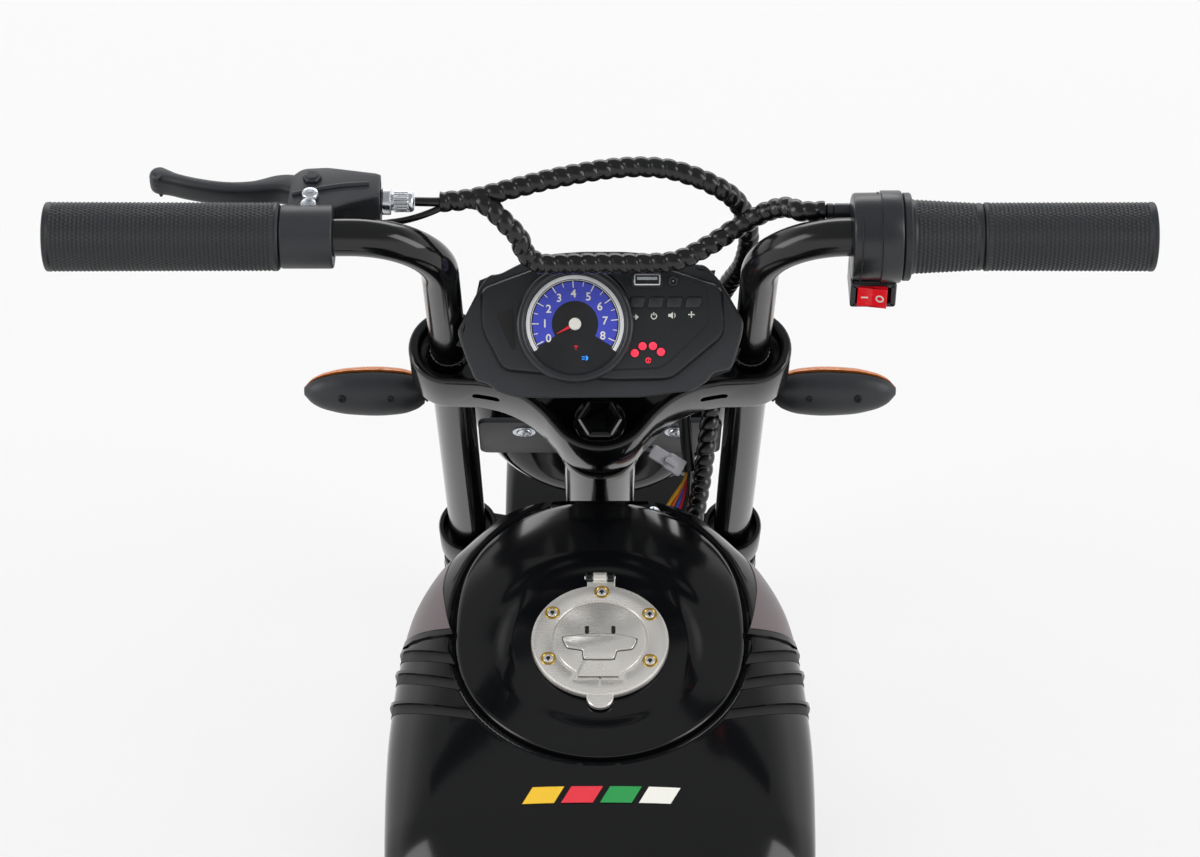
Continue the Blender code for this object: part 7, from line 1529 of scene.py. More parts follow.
def make_wheel(prefix, body, centre):
    """Grooved tyre on a five-spoke rim with lips and pockets of painted shade, a turned hub, a bearing on each side
    and a valve.
    """
    at = lying_x(centre)
    section = tyre_profile(TYRE_RADIUS, TYRE_HALF, 103.0, RIM_HALF, 9.0)
    tyre = turned_ring(section, at, 0, 432, tread(TYRE_HALF, TREAD_BLOCKS, setting_mm("tread_depth")))
    lines = [turned_ring([(r, side * (h - 0.4)), (r + 1.2, side * (h - 0.4)), (r + 1.2, side * (h + 0.25)),
                          (r, side * (h + 0.25))], at, 0, 160)
             for side in (-1, 1) for r, h in ((117.0, 29.6), (121.5, 30.6))]
    build_piece(prefix + "_tyre_rubber", body, [tyre] + lines, ("tyre",),
                [prefix + "_tyre"])
    half = RIM_HALF
    ring = rounded([(102.7, half), (102.7, -half), (98.4, -half), (95.0, -half + 8), (93.0, 0.0),
                    (95.0, half - 8), (98.4, half)], 1.8, 4, True)
    shells = [turned_ring(ring, at, 0, 160)]
    hub = rounded([(6.4, 39.0), (18.0, 39.0), (24.0, 30.0), (24.0, -30.0), (18.0, -39.0), (6.4, -39.0)], 2.0, 4)
    shells.append(turned_ring(hub, at, 0, 96))
    for side in (-1, 1):
        bearing = [(7.0, 38.6), (14.0, 38.6), (14.0, 39.2), (13.0, 39.3), (11.6, 39.0), (9.4, 39.0), (8.4, 39.3),
                   (7.0, 39.2)]
        shells.append(turned_ring(bearing, lying_x(centre, side), 1, 64))
    outline = ((17.0, -15.0), (30.0, -9.5), (58.0, -8.2), (84.0, -9.0), (97.5, -14.0),
               (97.5, 14.0), (84.0, 9.0), (58.0, 8.2), (30.0, 9.5), (17.0, 15.0))
    spoke = anticlockwise(rounded(outline, 7.0, 5, True))
    pocket = rounded(((-24.0, -4.0), (22.0, -3.6), (22.0, 3.6), (-24.0, 4.0)), 2.4, 4, True)
    for index in range(SPOKES):
        angle = 2 * pi * index / SPOKES + pi / 2
        way = np.array((0.0, cos(angle), sin(angle)))
        shells.append(plated(spoke, edge_rows(-7.0, 7.0, 2.6, 2.6), place(centre, way, X_AXIS)))
        for side in (-1, 1):
            at_side = place(centre + way * 57.0, way, X_AXIS * side)
            # The spokes' pockets are dark plates in the recess finish: painted shade, not hollows
            shells.append(plated(pocket, [(1.0, 6.8), (0.4, 7.1), (0.0, 7.15)], at_side, 2))
    valve = place(centre + (9.0, 30.0, -86.0), Y_AXIS, (0.0, -0.30, 0.86))
    shells.append(turned([(0.0, -10.0), (2.6, -10.0), (2.6, 8.0), (3.4, 9.0), (3.4, 15.0), (2.6, 16.5),
                          (0.0, 16.5)], valve, 2, 32))
    build_piece(prefix + "_rim_moulding", body, shells, ("rim", "zinc", "recess"),
                [prefix + "_rim"])


def make_wheels():
    """Two like wheels, each on its own axle."""
    make_wheel("front", "front_wheel", FRONT_AXLE)
    make_wheel("rear", "rear_wheel", REAR_AXLE)


def bent(points, radius):
    """A tube's centre line with rounded bends and evenly spaced points."""
    return resample(rounded(points, radius, 10), 3.0)


STABILISER_RADIUS = 56.0


def make_stabilisers():
    """Small moulded wheels with a ribbed tread on bent steel arms, with tabs at the axle and dome nuts."""
    for side, word in ((-1, "left"), (1, "right")):
        at = lying_x((side * 178.0, -AXLE_Y, STABILISER_RADIUS))
        table = [(5.4, 17.0), (20.0, 17.0), (22.5, 15.5), (24.0, 11.0), (41.0, 11.0), (43.5, 15.5), (46.0, 17.0),
                 (53.0, 16.6), (55.4, 14.5), (56.0, 10.0)]
        side_line = resample(rounded(table, 1.6, 4), 1.0)
        tread_line = resample(((56.0, 10.0), (56.0, -10.0)), 1.0)[1:-1]
        profile = np.concatenate((side_line, tread_line, side_line[::-1] * (1.0, -1.0)))

        def ribs(p, a):
            grooved = (np.abs(np.mod(p[:, 1:] + 2.0, 4.0) - 2.0) < 0.7) * (p[:, :1] > 55.0)
            return -1.0 * grooved * np.ones_like(a)[None, :]

        wheel = turned_ring(profile, at, 0, 128, ribs)
        build_piece("stabiliser_roller_" + word, "stabiliser_wheel_" + word, [wheel], ("tyre",),
                    ["stabiliser_wheel_" + word])
        top = REAR_AXLE + X_AXIS * side * 97.3
        path = [top + X_AXIS * side * 3.5 - Z_AXIS * 14.0, top + X_AXIS * side * 8.0 - Z_AXIS * 44.0,
                (side * 147.0, -AXLE_Y, STABILISER_RADIUS), (side * 160.7, -AXLE_Y, STABILISER_RADIUS)]
        shells = [swept(bent(path, 16.0), 8.0, Y_AXIS, 0, 40)]
        tab = [(6.4, -5.0), (17.0, -5.0), (18.0, -4.0), (18.0, 4.0), (17.0, 5.0), (6.4, 5.0)]
        shells.append(turned_ring(tab, lying_x(top, side), 0, 64))
        at = lying_x((0.0, -AXLE_Y, STABILISER_RADIUS), side)
        shells.append(turned([(0.0, 150.0), (5.0, 150.0), (5.0, 196.5), (0.0, 196.5)], at, 1, 40))
        rows = [(1.0, 195.4), (0.0, 196.0), (0.0, 200.6), (1.2, 201.4), (4.0, 202.0)]
        shells.append(plated(rounded(circle(9.0, 6), 0.9, 3, True), rows, at, 1))
        build_piece("stabiliser_arm_tube_" + word, "frame", shells, ("enamel", "zinc"),
                    ["stabiliser_arm_" + word])


SEAT_JOINT = np.array((0.0, -160.0, 368.0))


def make_frame():
    """Welded tube frame: head tube with cups, backbone, cradle, stays and rails, with beads at the joints."""
    stem = fork_place(0.0, 0.0, -STEM_BACK)
    head = [(12.9, 188.4), (20.4, 188.4), (21.2, 189.2), (21.2, 196.4), (20.4, 197.3), (19.0, 197.6),
            (19.0, 413.4), (20.4, 413.7), (21.2, 414.6), (21.2, 421.8), (20.4, 422.6), (12.9, 422.6)]
    shells = [turned_ring(head, stem, 0, 96)]
    stem_low = put((0, 0, 225.0), stem)
    stem_high = put((0, 0, 325.0), stem)
    top = SEAT_JOINT
    backbone = [stem_high, (0, 104.0, 386.0), top]
    cradle = [stem_low, (0, 198.0, 262.0), (0, 158.0, 116.0), (0, -112.0, 116.0), (0, -160.0, 225.0), top]
    shells.append(swept(bent(backbone, 60.0), 15.0, X_AXIS, 0, 48))
    shells.append(swept(bent(cradle, 45.0), 13.0, X_AXIS, 0, 48))
    crosses = (((0, -120, 116), 81.7, 13.0), ((0, -160, 368), 60.0, 11.0), ((0, 151, 156), 65.7, 6.0),
               ((0, -142, 200), 65.7, 6.0), ((0, -430, 401), 60.0, 7.0),
               ((0, 72, 388.1), 86.6, 6.0), ((0, -84, 377.5), 85.5, 6.0))
    for spot, reach, radius in crosses:
        rod = [(0.0, -reach), (radius - 0.8, -reach), (radius, -reach + 0.8), (radius, reach - 0.8),
               (radius - 0.8, reach), (0.0, reach)]
        shells.append(turned(rod, lying_x(spot), 0, 40))
    for side in (-1, 1):
        drop = REAR_AXLE + X_AXIS * side * 88.0
        low = bent([(side * 60.0, -120, 116), (side * 88.0, -190, 122), drop], 30.0)
        shells.append(swept(low, 10.0, X_AXIS, 0, 36))
        rail_start = np.array((side * 57.0, -160.0, 368.0))
        rail_end = np.array((side * 60.0, -440.0, 402.0))
        shells.append(swept(resample((rail_start, rail_end), 8.0), 10.0, X_AXIS, 0, 36))
        stay_top = rail_start + (rail_end - rail_start) * (158.0 / 280.0) - Z_AXIS * 2
        shells.append(swept(resample((drop, stay_top), 8.0), 9.0, X_AXIS, 0, 36))
        ear = [(6.4, 84.0), (19.0, 84.0), (20.0, 85.0), (20.0, 91.0), (19.0, 92.0), (6.4, 92.0)]
        shells.append(turned_ring(ear, lying_x(REAR_AXLE, side), 0, 64))
    for spot, way, radius in ((stem_high, (0, -0.8, -0.5), 16.2), (stem_low, (0, -0.1, -1.0), 14.4)):
        bead = rounded([(radius - 3, 17.0), (radius + 0.8, 19.5), (radius - 1.2, 22.5),
                        (radius - 3, 22.5)], 1.0, 3)
        shells.append(turned_ring(bead, place(spot, X_AXIS, way), 0, 96,
                                  lambda p, a: 0.3 * np.sin(26 * a)[None, :] * (p[:, :1] > radius - 2.0)))
    build_piece("frame_tubes", "frame", shells, ("enamel",), ["main_frame"])


def make_rear_axle():
    """Rear axle with its nuts and the spacers beside the hub."""
    shells = []
    end = 83.7
    for side in (-1, 1):
        at = lying_x(REAR_AXLE, side)
        shells.append(axle_nut(102.6, at))
        start = 39.3 if side > 0 else 69.6
        shells.append(turned_ring([(6.1, start), (8.6, start), (9.0, start + 0.5), (9.0, end - 0.5), (8.6, end),
                                   (6.1, end)], at, 0, 48))
    rod = [(0.0, -111.6), (5.2, -111.6), (6.0, -110.8), (6.0, 110.8), (5.2, 111.6), (0.0, 111.6)]
    shells.append(turned(rod, lying_x(REAR_AXLE), 0, 48))
    build_piece("rear_axle_finished", "frame", shells, ("zinc",), ["rear_axle"])


def make_gear_motor():
    """Ribbed gear case round the axle with six screws, a web and the motor's can."""
    case = rounded([(6.4, 40.6), (43.0, 40.6), (46.0, 43.5), (46.0, 63.6), (43.0, 66.6), (6.4, 66.6)], 2.5, 4)
    shells = [turned_ring(case, lying_x(REAR_AXLE, -1), 0, 192,
                          lambda p, a: -0.8 * (np.cos(24 * a)[None, :] > 0.6) * (p[:, :1] > 45.0))]
    can = rounded([(0.01, 40.6), (20.0, 40.6), (20.0, 72.6), (0.01, 72.6)], 2.0, 4)
    shells.append(turned(can, lying_x(REAR_AXLE + (0.0, 36.0, 45.2), -1), 1, 96))
    web = place(REAR_AXLE + (-53.6, 18.0, 22.6), (0.0, 0.62, 0.78), X_AXIS)
    shells.append(block((50.0, 38.0, 25.6), web, 0, 4.0, 1.5))
    for turn in np.linspace(0.0, 2 * pi, 6, endpoint=False):
        spot = REAR_AXLE + (-66.4, 40.0 * cos(turn), 40.0 * sin(turn))
        shells.append(headed(place(spot, Y_AXIS, -X_AXIS), 3.0, 1.5, "cross", 2))
    build_piece("gear_motor_case", "frame", shells, ("satin_plastic", "enamel", "zinc"),
                ["gear_motor"])


def peg_ribs(profile, angle):
    """Ripple of a footpeg: a groove 1.6 wide in every 5 of its length."""
    along = profile[:, 1:]
    return -0.9 * (np.mod(along, 5.0) < 1.6) * (along > 98) * (along < 145) * np.ones_like(angle)[None, :]


def make_footpegs():
    """Ribbed rubber pegs with a flange at the frame and a rounded end."""
    profile = np.concatenate((((0.0, 82.2), (13.0, 82.2), (13.0, 92.0), (11.0, 96.0)),
                              resample(((11.0, 96.0), (11.0, 146.0)), 0.7),
                              ((11.0, 147.5), (13.0, 150.0), (13.0, 154.5), (11.8, 156.0), (0.0, 156.0))))
    for side, word in ((-1, "left"), (1, "right")):
        peg = turned(profile, lying_x((0.0, -120.0, 116.0), side), 0, 64, peg_ribs)
        build_piece("footpeg_rubber_" + word, "frame", [peg], ("grip_rubber",),
                    ["footpeg_" + word])


def make_boxes():
    """Battery case with its lid's seam, and the control box under the tank."""
    pack = block((98.0, 151.0, 101.0), upright((0.0, 18.0, 179.8)), 0, 4.0, 3.0)
    rim = block((98.2, 151.2, 4.0), upright((0.0, 18.0, 214.0)), 0, 4.0, 1.0)
    build_piece("battery_case_moulding", "frame", [pack, rim], ("battery",),
                ["battery_pack"])
    box = block((56.0, 82.0, 22.0), upright((0.0, 71.0, 415.3)), 0, 3.0, 1.6)
    build_piece("control_box_moulding", "frame", [box], ("satin_plastic",),
                ["control_box"])


COVER_OUTLINE = ((-150, 150), (-165, 205), (-150, 262), (-96, 318), (-20, 338), (60, 336), (120, 312), (152, 262),
                 (163, 190), (150, 132), (96, 112), (-30, 112), (-92, 140))


# Place along Y and Z of each screw, and how far the cover's edge lies from its middle on that side
COVER_SCREWS = ((-118.0, 205.0, 150.0), (120.0, 205.0, 150.0), (0.0, 318.0, 108.0))
LOUVRES = 6


def cover_crown(reach):
    """Outer face of a side cover: it bows out by 10 towards the middle, with a step, a bead and a flat rim."""
    crown = 70.0 + 10.0 * (1.0 - reach ** 3)
    step = -1.6 / (1.0 + np.exp((reach - 0.80) / 0.006)) * (reach < 0.9)
    bead = 0.9 * np.exp(-((reach - 0.90) / 0.016) ** 2)
    return crown + step * (reach > 0.5) - 1.6 * (reach <= 0.5) + bead


def make_side_covers():
    """Bowed gloss covers with an outer band, a stepped middle, louvres and three screws each."""
    ring = rounded(np.array(COVER_OUTLINE, float), 22.0, 6, True)
    middle = ring.mean(axis=0)
    share = np.concatenate((np.linspace(0.995, 0.93, 10), np.linspace(0.925, 0.86, 16),
                            np.linspace(0.84, 0.76, 24), np.linspace(0.72, 0.02, 18)))
    for side, word in ((-1, "left"), (1, "right")):
        rows = [np.column_stack((np.full(len(ring), side * 66.0), ring)),
                np.column_stack((np.full(len(ring), side * 68.6), ring))]
        for reach, x in zip(share, cover_crown(share)):
            x = x - 1.2 * np.clip((reach - 0.975) / 0.02, 0.0, 1.0)
            flat = middle + (ring - middle) * reach
            rows.append(np.column_stack((np.full(len(ring), side * x), flat)))
        shells = [lofted(rows, 0)]
        for index in range(LOUVRES):
            z = 178.0 + 15.0 * index
            start = np.array((-66.0 + 7.0 * index, z))
            end = np.array((64.0 + 2.0 * index, z + 10.0))
            line = resample(np.stack((start, end)), 6.0)
            reach = np.linalg.norm(line - middle, axis=1) / 150.0
            x = cover_crown(np.clip(reach, 0.02, 0.7)) - 0.4
            across = np.radians(np.linspace(0.0, 180.0, 9))
            high = 2.2 * np.sin(across) * (1.0 - 0.5 * np.cos(across) * 0.5)
            wide = 4.4 * np.cos(across)
            taper = np.clip(np.minimum(np.arange(len(line)), np.arange(len(line))[::-1]) / 2.0, 0.0, 1.0) ** 0.5
            points = np.stack(np.broadcast_arrays(
                side * (x[:, None] + high[None, :] * taper[:, None]), line[:, :1] + 0.0 * wide[None, :],
                line[:, 1:] + wide[None, :] * np.maximum(taper, 0.25)[:, None]), axis=-1)
            shells.append(grid(ring_closed(points), 1, True, True))
            # Under each louvre a dark strip in the recess finish: painted shade
            under = points.copy()
            under[..., 2] -= 5.2
            under[..., 0] = side * (x[:, None] + 0.35 * high[None, :] / 2.2)
            shells.append(grid(ring_closed(under), 2, True, True))
        for y, z, spread in COVER_SCREWS:
            near = min(np.linalg.norm(np.array((y, z)) - middle) / spread, 0.95)
            x = float(cover_crown(near))
            shells.append(headed(place((side * (x - 0.4), y, z), Y_AXIS, X_AXIS * side), 4.2, 2.0, "cross", 3))
            shells.append(turned_ring([(4.0, -1.0), (5.6, -1.0), (5.6, 0.7), (5.0, 1.0), (4.0, 0.8)],
                                      place((side * (x - 0.2), y, z), Y_AXIS, X_AXIS * side), 1, 48))
        build_piece("side_cover_panel_" + word, "frame", shells,
                    ("gloss_shell", "satin_plastic", "recess", "zinc"),
                    ["side_cover_" + word])


def make_socket():
    """Charging socket's cup under the filler cap, with its flange, a threaded barrel and its pins."""
    at = place(CAP_BASE - CAP_NORMAL * 2.0, X_AXIS, CAP_NORMAL)
    cup = [(0.0, -28.0), (27.0, -28.0), (29.0, -26.0), (29.0, -5.2), (35.6, -5.0), (36.0, -4.6), (36.0, -3.0),
           (27.4, -2.6), (26.6, -3.4), (26.5, -24.5), (25.5, -25.5), (0.0, -25.5)]
    shells = [turned(cup, at, 0, 96)]
    barrel = np.concatenate((((0.0, -25.8), (9.4, -25.8)), resample(((9.4, -24.8), (9.4, -15.0)), 0.3),
                             ((7.6, -15.0), (7.6, -22.0), (0.0, -22.0))))
    shells.append(turned(barrel, at, 1, 64, lambda p, a: 0.3 * np.sin(2 * pi * p[:, 1:] / 1.4 + a[None, :])))
    for index in range(3):
        turn = 2 * pi * index / 3 + pi / 2
        pin = place(put((3.8 * cos(turn), 3.8 * sin(turn), -22.0), at), X_AXIS, CAP_NORMAL)
        shells.append(turned([(0.0, -0.3), (1.0, -0.3), (1.0, 4.6), (0.6, 5.2), (0.0, 5.2)], pin, 1, 24))
    build_piece("charge_socket_cup", "frame", shells, ("satin_plastic", "zinc"),
                ["charge_socket"])


# Seat, dash bracket and wiring

SEAT_SLOPE = radians(-6.92)
SEAT_ALONG = np.array((0.0, cos(SEAT_SLOPE), sin(SEAT_SLOPE)))
SEAT_NORMAL = np.array((0.0, -sin(SEAT_SLOPE), cos(SEAT_SLOPE)))
SEAT_BASE = SEAT_JOINT + SEAT_ALONG * 2.0 + SEAT_NORMAL * 15.5
SEAT_FLOOR = 6.4
# Place along the seat, then half width, height of the edge seam and height of the middle
SEAT_STATIONS = ((-3.0, 40.0, 24.0, 27.0), (-8.0, 50.0, 33.0, 38.0), (-20.0, 59.0, 41.0, 50.0),
                 (-60.0, 71.0, 47.0, 58.0), (-105.0, 83.0, 48.0, 60.0), (-150.0, 90.0, 50.0, 60.0),
                 (-195.0, 92.0, 53.0, 62.0), (-242.0, 89.0, 60.0, 72.0), (-275.0, 83.0, 61.0, 73.0),
                 (-290.0, 74.0, 56.0, 66.0), (-299.0, 60.0, 44.0, 50.0))
SEAT_CHANNELS = (-62.0, -104.0, -146.0, -188.0)
CHANNEL_BOW = 9.0
CHANNEL_DEPTH = 4.2
SEAM_DEPTH = 1.6
SEAT_SHRINK = 5.0
SEAT_SIM_FRAMES = 20
SEAT_PRESSURE = 4.0
SEAT_CLOTH = dict(quality=6, mass=0.25, tension_stiffness=22.0, compression_stiffness=22.0, shear_stiffness=8.0,
                  bending_stiffness=1.5, use_pressure=True, uniform_pressure_force=SEAT_PRESSURE,
                  vertex_group_mass="held")
VOXEL = 5.0
# Share of the half width at which the edge seam runs, and the part of a section's turn that its side takes
SEAM_SHARE = 0.90
SIDE_TURN = (0.10, 0.36)


def seat_place():
    return place(SEAT_BASE, X_AXIS, SEAT_NORMAL)


def seat_table(column, y):
    table = np.array(SEAT_STATIONS)[::-1]
    return monotone(table[:, (0, column)], y)


def seat_section(y, turn):
    """Point of the seat's cover at a place along it; turn 0 to 1 goes floor, side, crown, side.

    The side leans in above and below its widest place, and the crown is a cosine between the edge seams.
    """
    half = seat_table(1, y)
    edge = seat_table(2, y)
    middle = seat_table(3, y)
    start, end = SIDE_TURN
    first = turn < 0.5
    on_top = (turn > end) & (turn < 1.0 - end)
    on_floor = (turn <= start) | (turn >= 1.0 - start)
    up = np.clip((turn - start) / (end - start), 0.0, 1.0)
    down = np.clip((1.0 - start - turn) / (end - start), 0.0, 1.0)
    rise = np.where(first, up, down)
    over = np.clip((turn - end) / (1.0 - 2 * end), 0.0, 1.0)
    bulge = half * (0.955 + 0.045 * np.sin(pi * np.clip(rise * 1.1, 0, 1)) - 0.055 * rise ** 3)
    x_side = np.where(first, bulge, -bulge)
    under = np.clip(turn / start, 0.0, 1.0)
    under_other = np.clip((1.0 - turn) / start, 0.0, 1.0)
    x_floor = np.where(first, half * 0.955 * under, -half * 0.955 * under_other)
    top_half = half * SEAM_SHARE
    x_top = top_half * np.cos(pi * over)
    crown = edge + (middle - edge) * np.sqrt(np.clip(1.0 - (x_top / top_half) ** 2, 0.0, 1.0)) ** 1.3
    z = np.where(on_top, crown, SEAT_FLOOR + (edge - SEAT_FLOOR) * rise)
    x = np.where(on_floor, x_floor, np.where(on_top, x_top, x_side))
    return x, np.where(on_floor, SEAT_FLOOR, z)


def seat_surface():
    """The whole cover as a grid, drawn in by a shrink that the simulation's swelling makes good."""
    y = np.concatenate((np.linspace(-3.0, -20.0, 10), np.linspace(-26.0, -278.0, 60),
                        np.linspace(-282.0, -299.0, 10)))[:, None]
    turn = np.linspace(0.0, 1.0, 121)[None, :]
    x, z = seat_section(y, turn)
    x = x * (1.0 - SEAT_SHRINK / 92.0)
    z = SEAT_FLOOR + (z - SEAT_FLOOR) * (1.0 - SEAT_SHRINK / 60.0)
    return np.stack(np.broadcast_arrays(x, y, z), axis=-1)


def vertex_values(mesh, name):
    """One triple of numbers for each vertex, such as its place or its normal."""
    values = np.zeros(len(mesh.vertices) * 3)
    mesh.vertices.foreach_get(name, values)
    return values.reshape(-1, 3)


def swell(piece):
    """Lets a closed cover fill like a cushion: cloth with inner pressure, its floor held still and moves capped."""
    rest = vertex_values(piece.data, "co")
    height = (rest / MM - SEAT_BASE) @ SEAT_NORMAL
    held = piece.vertex_groups.new(name="held")
    held.add(np.flatnonzero(height < SEAT_FLOOR + 4.0).tolist(), 1.0, "REPLACE")
    cloth = piece.modifiers.new("fill", "CLOTH")
    for name, value in SEAT_CLOTH.items():
        setattr(cloth.settings, name, value)
    cloth.settings.effector_weights.gravity = 0.0
    cloth.collision_settings.use_collision = False
    cloth.point_cache.frame_start = 1
    cloth.point_cache.frame_end = SEAT_SIM_FRAMES
    scene = bpy.context.scene
    for step in range(1, SEAT_SIM_FRAMES + 1):
        scene.frame_set(step)
    shaped = piece.evaluated_get(bpy.context.evaluated_depsgraph_get())
    move = vertex_values(shaped.to_mesh(), "co") - rest
    shaped.to_mesh_clear()
    length = np.linalg.norm(move, axis=1)[:, None]
    limit = setting_mm("seat_swell") * MM
    move = move * (np.tanh(length / limit) * limit / np.maximum(length, 1e-9))
    piece.modifiers.remove(cloth)
    piece.vertex_groups.clear()
    piece.data.vertices.foreach_set("co", (rest + move).ravel())
    scene.frame_set(1)


def applied(piece, kind, **settings):
    """Adds a modifier and makes its result the piece's mesh."""
    modifier = piece.modifiers.new("shape", kind)
    for name, value in settings.items():
        setattr(modifier, name, value)
    mesh = bpy.data.meshes.new_from_object(piece.evaluated_get(bpy.context.evaluated_depsgraph_get()))
    old = piece.data
    piece.modifiers.remove(modifier)
    piece.data = mesh
    mesh.name = old.name
    bpy.data.meshes.remove(old)


def make_seat():
    """Vinyl cushion filled by simulation, with cross channels and an edge seam pressed in, and its trim."""
    cover = make_mesh("seat_cover", [grid(put(seat_surface(), seat_place()), 0, True, True)], sharp=180.0)
    piece = bpy.data.objects.new("seat_cover", cover)
    bpy.context.scene.collection.objects.link(piece)
    applied(piece, "REMESH", mode="VOXEL", voxel_size=VOXEL * MM, use_smooth_shade=True)
    swell(piece)
    applied(piece, "SUBSURF", levels=1, render_levels=1)
    points = vertex_values(piece.data, "co") / MM
    normals = vertex_values(piece.data, "normal")
    x, y, z = ((points - SEAT_BASE) @ np.array((X_AXIS, SEAT_ALONG, SEAT_NORMAL)).T).T
    half = seat_table(1, y)
    edge = seat_table(2, y)
    on_top = np.clip((z - edge + 3.0) / 6.0, 0.0, 1.0)
    press = np.zeros(len(points))
    for channel in SEAT_CHANNELS:
        bow = channel + CHANNEL_BOW * (np.abs(x) / half) ** 2
        press = np.maximum(press, np.exp(-((y - bow) / 3.4) ** 2) * on_top)
    seam = np.exp(-((np.abs(x) - half * SEAM_SHARE) ** 2 + (z - edge) ** 2) / 30.0)
    move = CHANNEL_DEPTH * press + SEAM_DEPTH * seam
    tuck = np.clip(1.0 - (z - SEAT_FLOOR) / 10.0, 0.0, 1.0) ** 2 * 2.5
    outward = np.sign(x)[:, None] * X_AXIS
    points = points - normals * move[:, None] - outward * tuck[:, None]
    flat = (points - SEAT_BASE) @ SEAT_NORMAL
    points = points + SEAT_NORMAL * np.maximum(SEAT_FLOOR - flat, 0.0)[:, None]
    piece.data.vertices.foreach_set("co", (points * MM).ravel())
    piece.data.polygons.foreach_set("use_smooth", np.ones(len(piece.data.polygons), bool))
    piece.data.materials.clear()
    piece.data.materials.append(finished("vinyl"))
    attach(piece, "frame")
    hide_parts("seat_cushion")
    make_seat_trim(piece)


def make_seat_pan():
    """Moulded pan under the cushion, with three flat lugs."""
    at = seat_place()
    outline = rounded(((-58, 0), (58, 0), (72, -60), (92, -150), (88, -272), (62, -302), (-62, -302),
                       (-88, -272), (-92, -150), (-72, -60)), 16.0, 5, True)
    pan = plated(outline, edge_rows(0.0, 6.0, 1.2, 1.2), at)
    lip = [plated(rectangle(40.0, 12.0, 3.0, centre=(0.0, y)), edge_rows(-3.0, 0.2, 0.8, 0.2), at, 0)
           for y in (-40.0, -130.0, -220.0)]
    build_piece("seat_pan_moulding", "frame", [pan] + lip, ("satin_plastic",),
                ["seat_pan"])


def on_cover(piece, local):
    """Points of the finished cover nearest to places given in the seat's frame, with their normals."""
    found = [piece.closest_point_on_mesh(Vector(p)) for p in put(local, seat_place()) * MM]
    spots = np.array([tuple(hit[1]) for hit in found]) / MM
    normals = np.array([tuple(hit[2]) for hit in found])
    return spots, normals


def make_seat_trim(piece):
    """Piping along the edge seam, and thread stitches beside it and in each cross channel."""
    y = np.concatenate((np.linspace(-6.0, -24.0, 10), np.linspace(-30.0, -276.0, 50),
                        np.linspace(-280.0, -297.0, 10)))
    sides = np.column_stack((seat_table(1, y) * SEAM_SHARE, y, seat_table(2, y)))
    share = np.linspace(-1.0, 1.0, 14)[1:-1]
    across = np.ones_like(share)
    front = np.column_stack((share * sides[0, 0], across * -4.0, across * (seat_table(2, -5.0) + 1.5)))
    back = np.column_stack((-share * sides[-1, 0], across * -299.0, across * (seat_table(2, -298.0) + 1.0)))
    loop = np.concatenate((sides, back, sides[::-1] * (-1, 1, 1), front))
    spots, normals = on_cover(piece, loop)
    smooth = spots + normals * 0.9
    for _ in range(3):
        smooth = (np.roll(smooth, 1, axis=0) + smooth * 2 + np.roll(smooth, -1, axis=0)) / 4
    closed = resample(np.concatenate((smooth, smooth[:1])), 4.0)
    stitches = []
    for channel in SEAT_CHANNELS:
        share = np.linspace(-0.86, 0.86, 29)
        along = channel + CHANNEL_BOW * share ** 2
        height = np.full(len(share), seat_table(3, channel) - 3.0)
        stitches.append(np.column_stack((share * seat_table(1, channel), along, height)))
    seam_row = np.column_stack((seat_table(1, y) * 0.83, y, seat_table(3, y)))
    for side in (-1, 1):
        stitches.append(resample(seam_row * (side, 1, 1), 6.0)[2:-2])
    shells = [swept(closed, setting_mm("piping_radius"), SEAT_NORMAL, 0, 12, caps=False)]
    pill = rounded(rectangle(setting_mm("stitch_length"), 0.9, 0.4, 2), 0.2, 1, True)
    for row in stitches:
        spots, normals = on_cover(piece, row)
        for spot, normal, along in zip(spots, normals, unit_rows(np.gradient(spots, axis=0))):
            at = place(spot + normal * 0.15, along, normal)
            shells.append(plated(pill, [(0.0, -0.3), (0.0, 0.15), (0.25, 0.4)], at, 1))
    build_piece("seat_trim", "frame", shells, ("vinyl", "thread"))


DASH_BACK = 31.3


def make_dash_bracket():
    """Pressed bracket from the upper yoke's platform up to the dash's back, with a stiffening bead."""
    foot_start = fork_point(0.0, YOKE_PLATFORM + 0.4, -STEM_BACK + 21.5)
    foot = foot_start + FORK_AHEAD * 14.0
    high = dash_place(0.0, 6.0, -DASH_BACK).origin
    line = resample(rounded((foot_start, foot, foot + FORK_UP * 26.0, high), 6.0, 6), 2.0)
    across = np.linspace(-20.0, 20.0, 21)
    bead = 1.2 * np.exp(-(across / 4.0) ** 2)
    way = unit_rows(np.gradient(line, axis=0))
    out = np.cross(np.broadcast_to(X_AXIS, way.shape), way)
    surface = line[:, None] + X_AXIS * across[None, :, None] + out[:, None] * bead[None, :, None]
    shells = [two_sided(surface, 2.6)]
    shells.append(block((40.0, 22.0, 3.0), dash_place(0.0, -5.0, -DASH_BACK - 1.5), 0, 2.0, 0.6))
    for x in (-12.0, 12.0):
        screw = place(dash_place(x, -8.0, -DASH_BACK - 3.0).origin, X_AXIS, -DASH_NORMAL)
        shells.append(headed(screw, 3.6, 2.0, "cross", 1))
    build_piece("dash_bracket_pressing", "steering", shells, ("enamel", "zinc"),
                ["dash_bracket"])


SLEEVE_ROUTE = ((34, 163, 592), (35, 180, 583), (37, 205, 570), (39, 222, 548), (42, 226, 522), (45, 211, 496),
                (47.5, 193, 477), (49, 184.5, 468.5))
LEAD_ROUTE = ((47.5, 193, 477), (48.4, 187, 471), (47, 180, 465), (43, 171, 456.5), (36, 161, 446),
              (27, 149, 434), (17, 138, 425), (10, 126, 419), (8, 111, 417))
LEAD_COLOURS = ("wire_yellow", "wire_orange", "wire_blue", "wire_red", "wire_black", "wire_white")
SLEEVE_RADIUS = 3.4
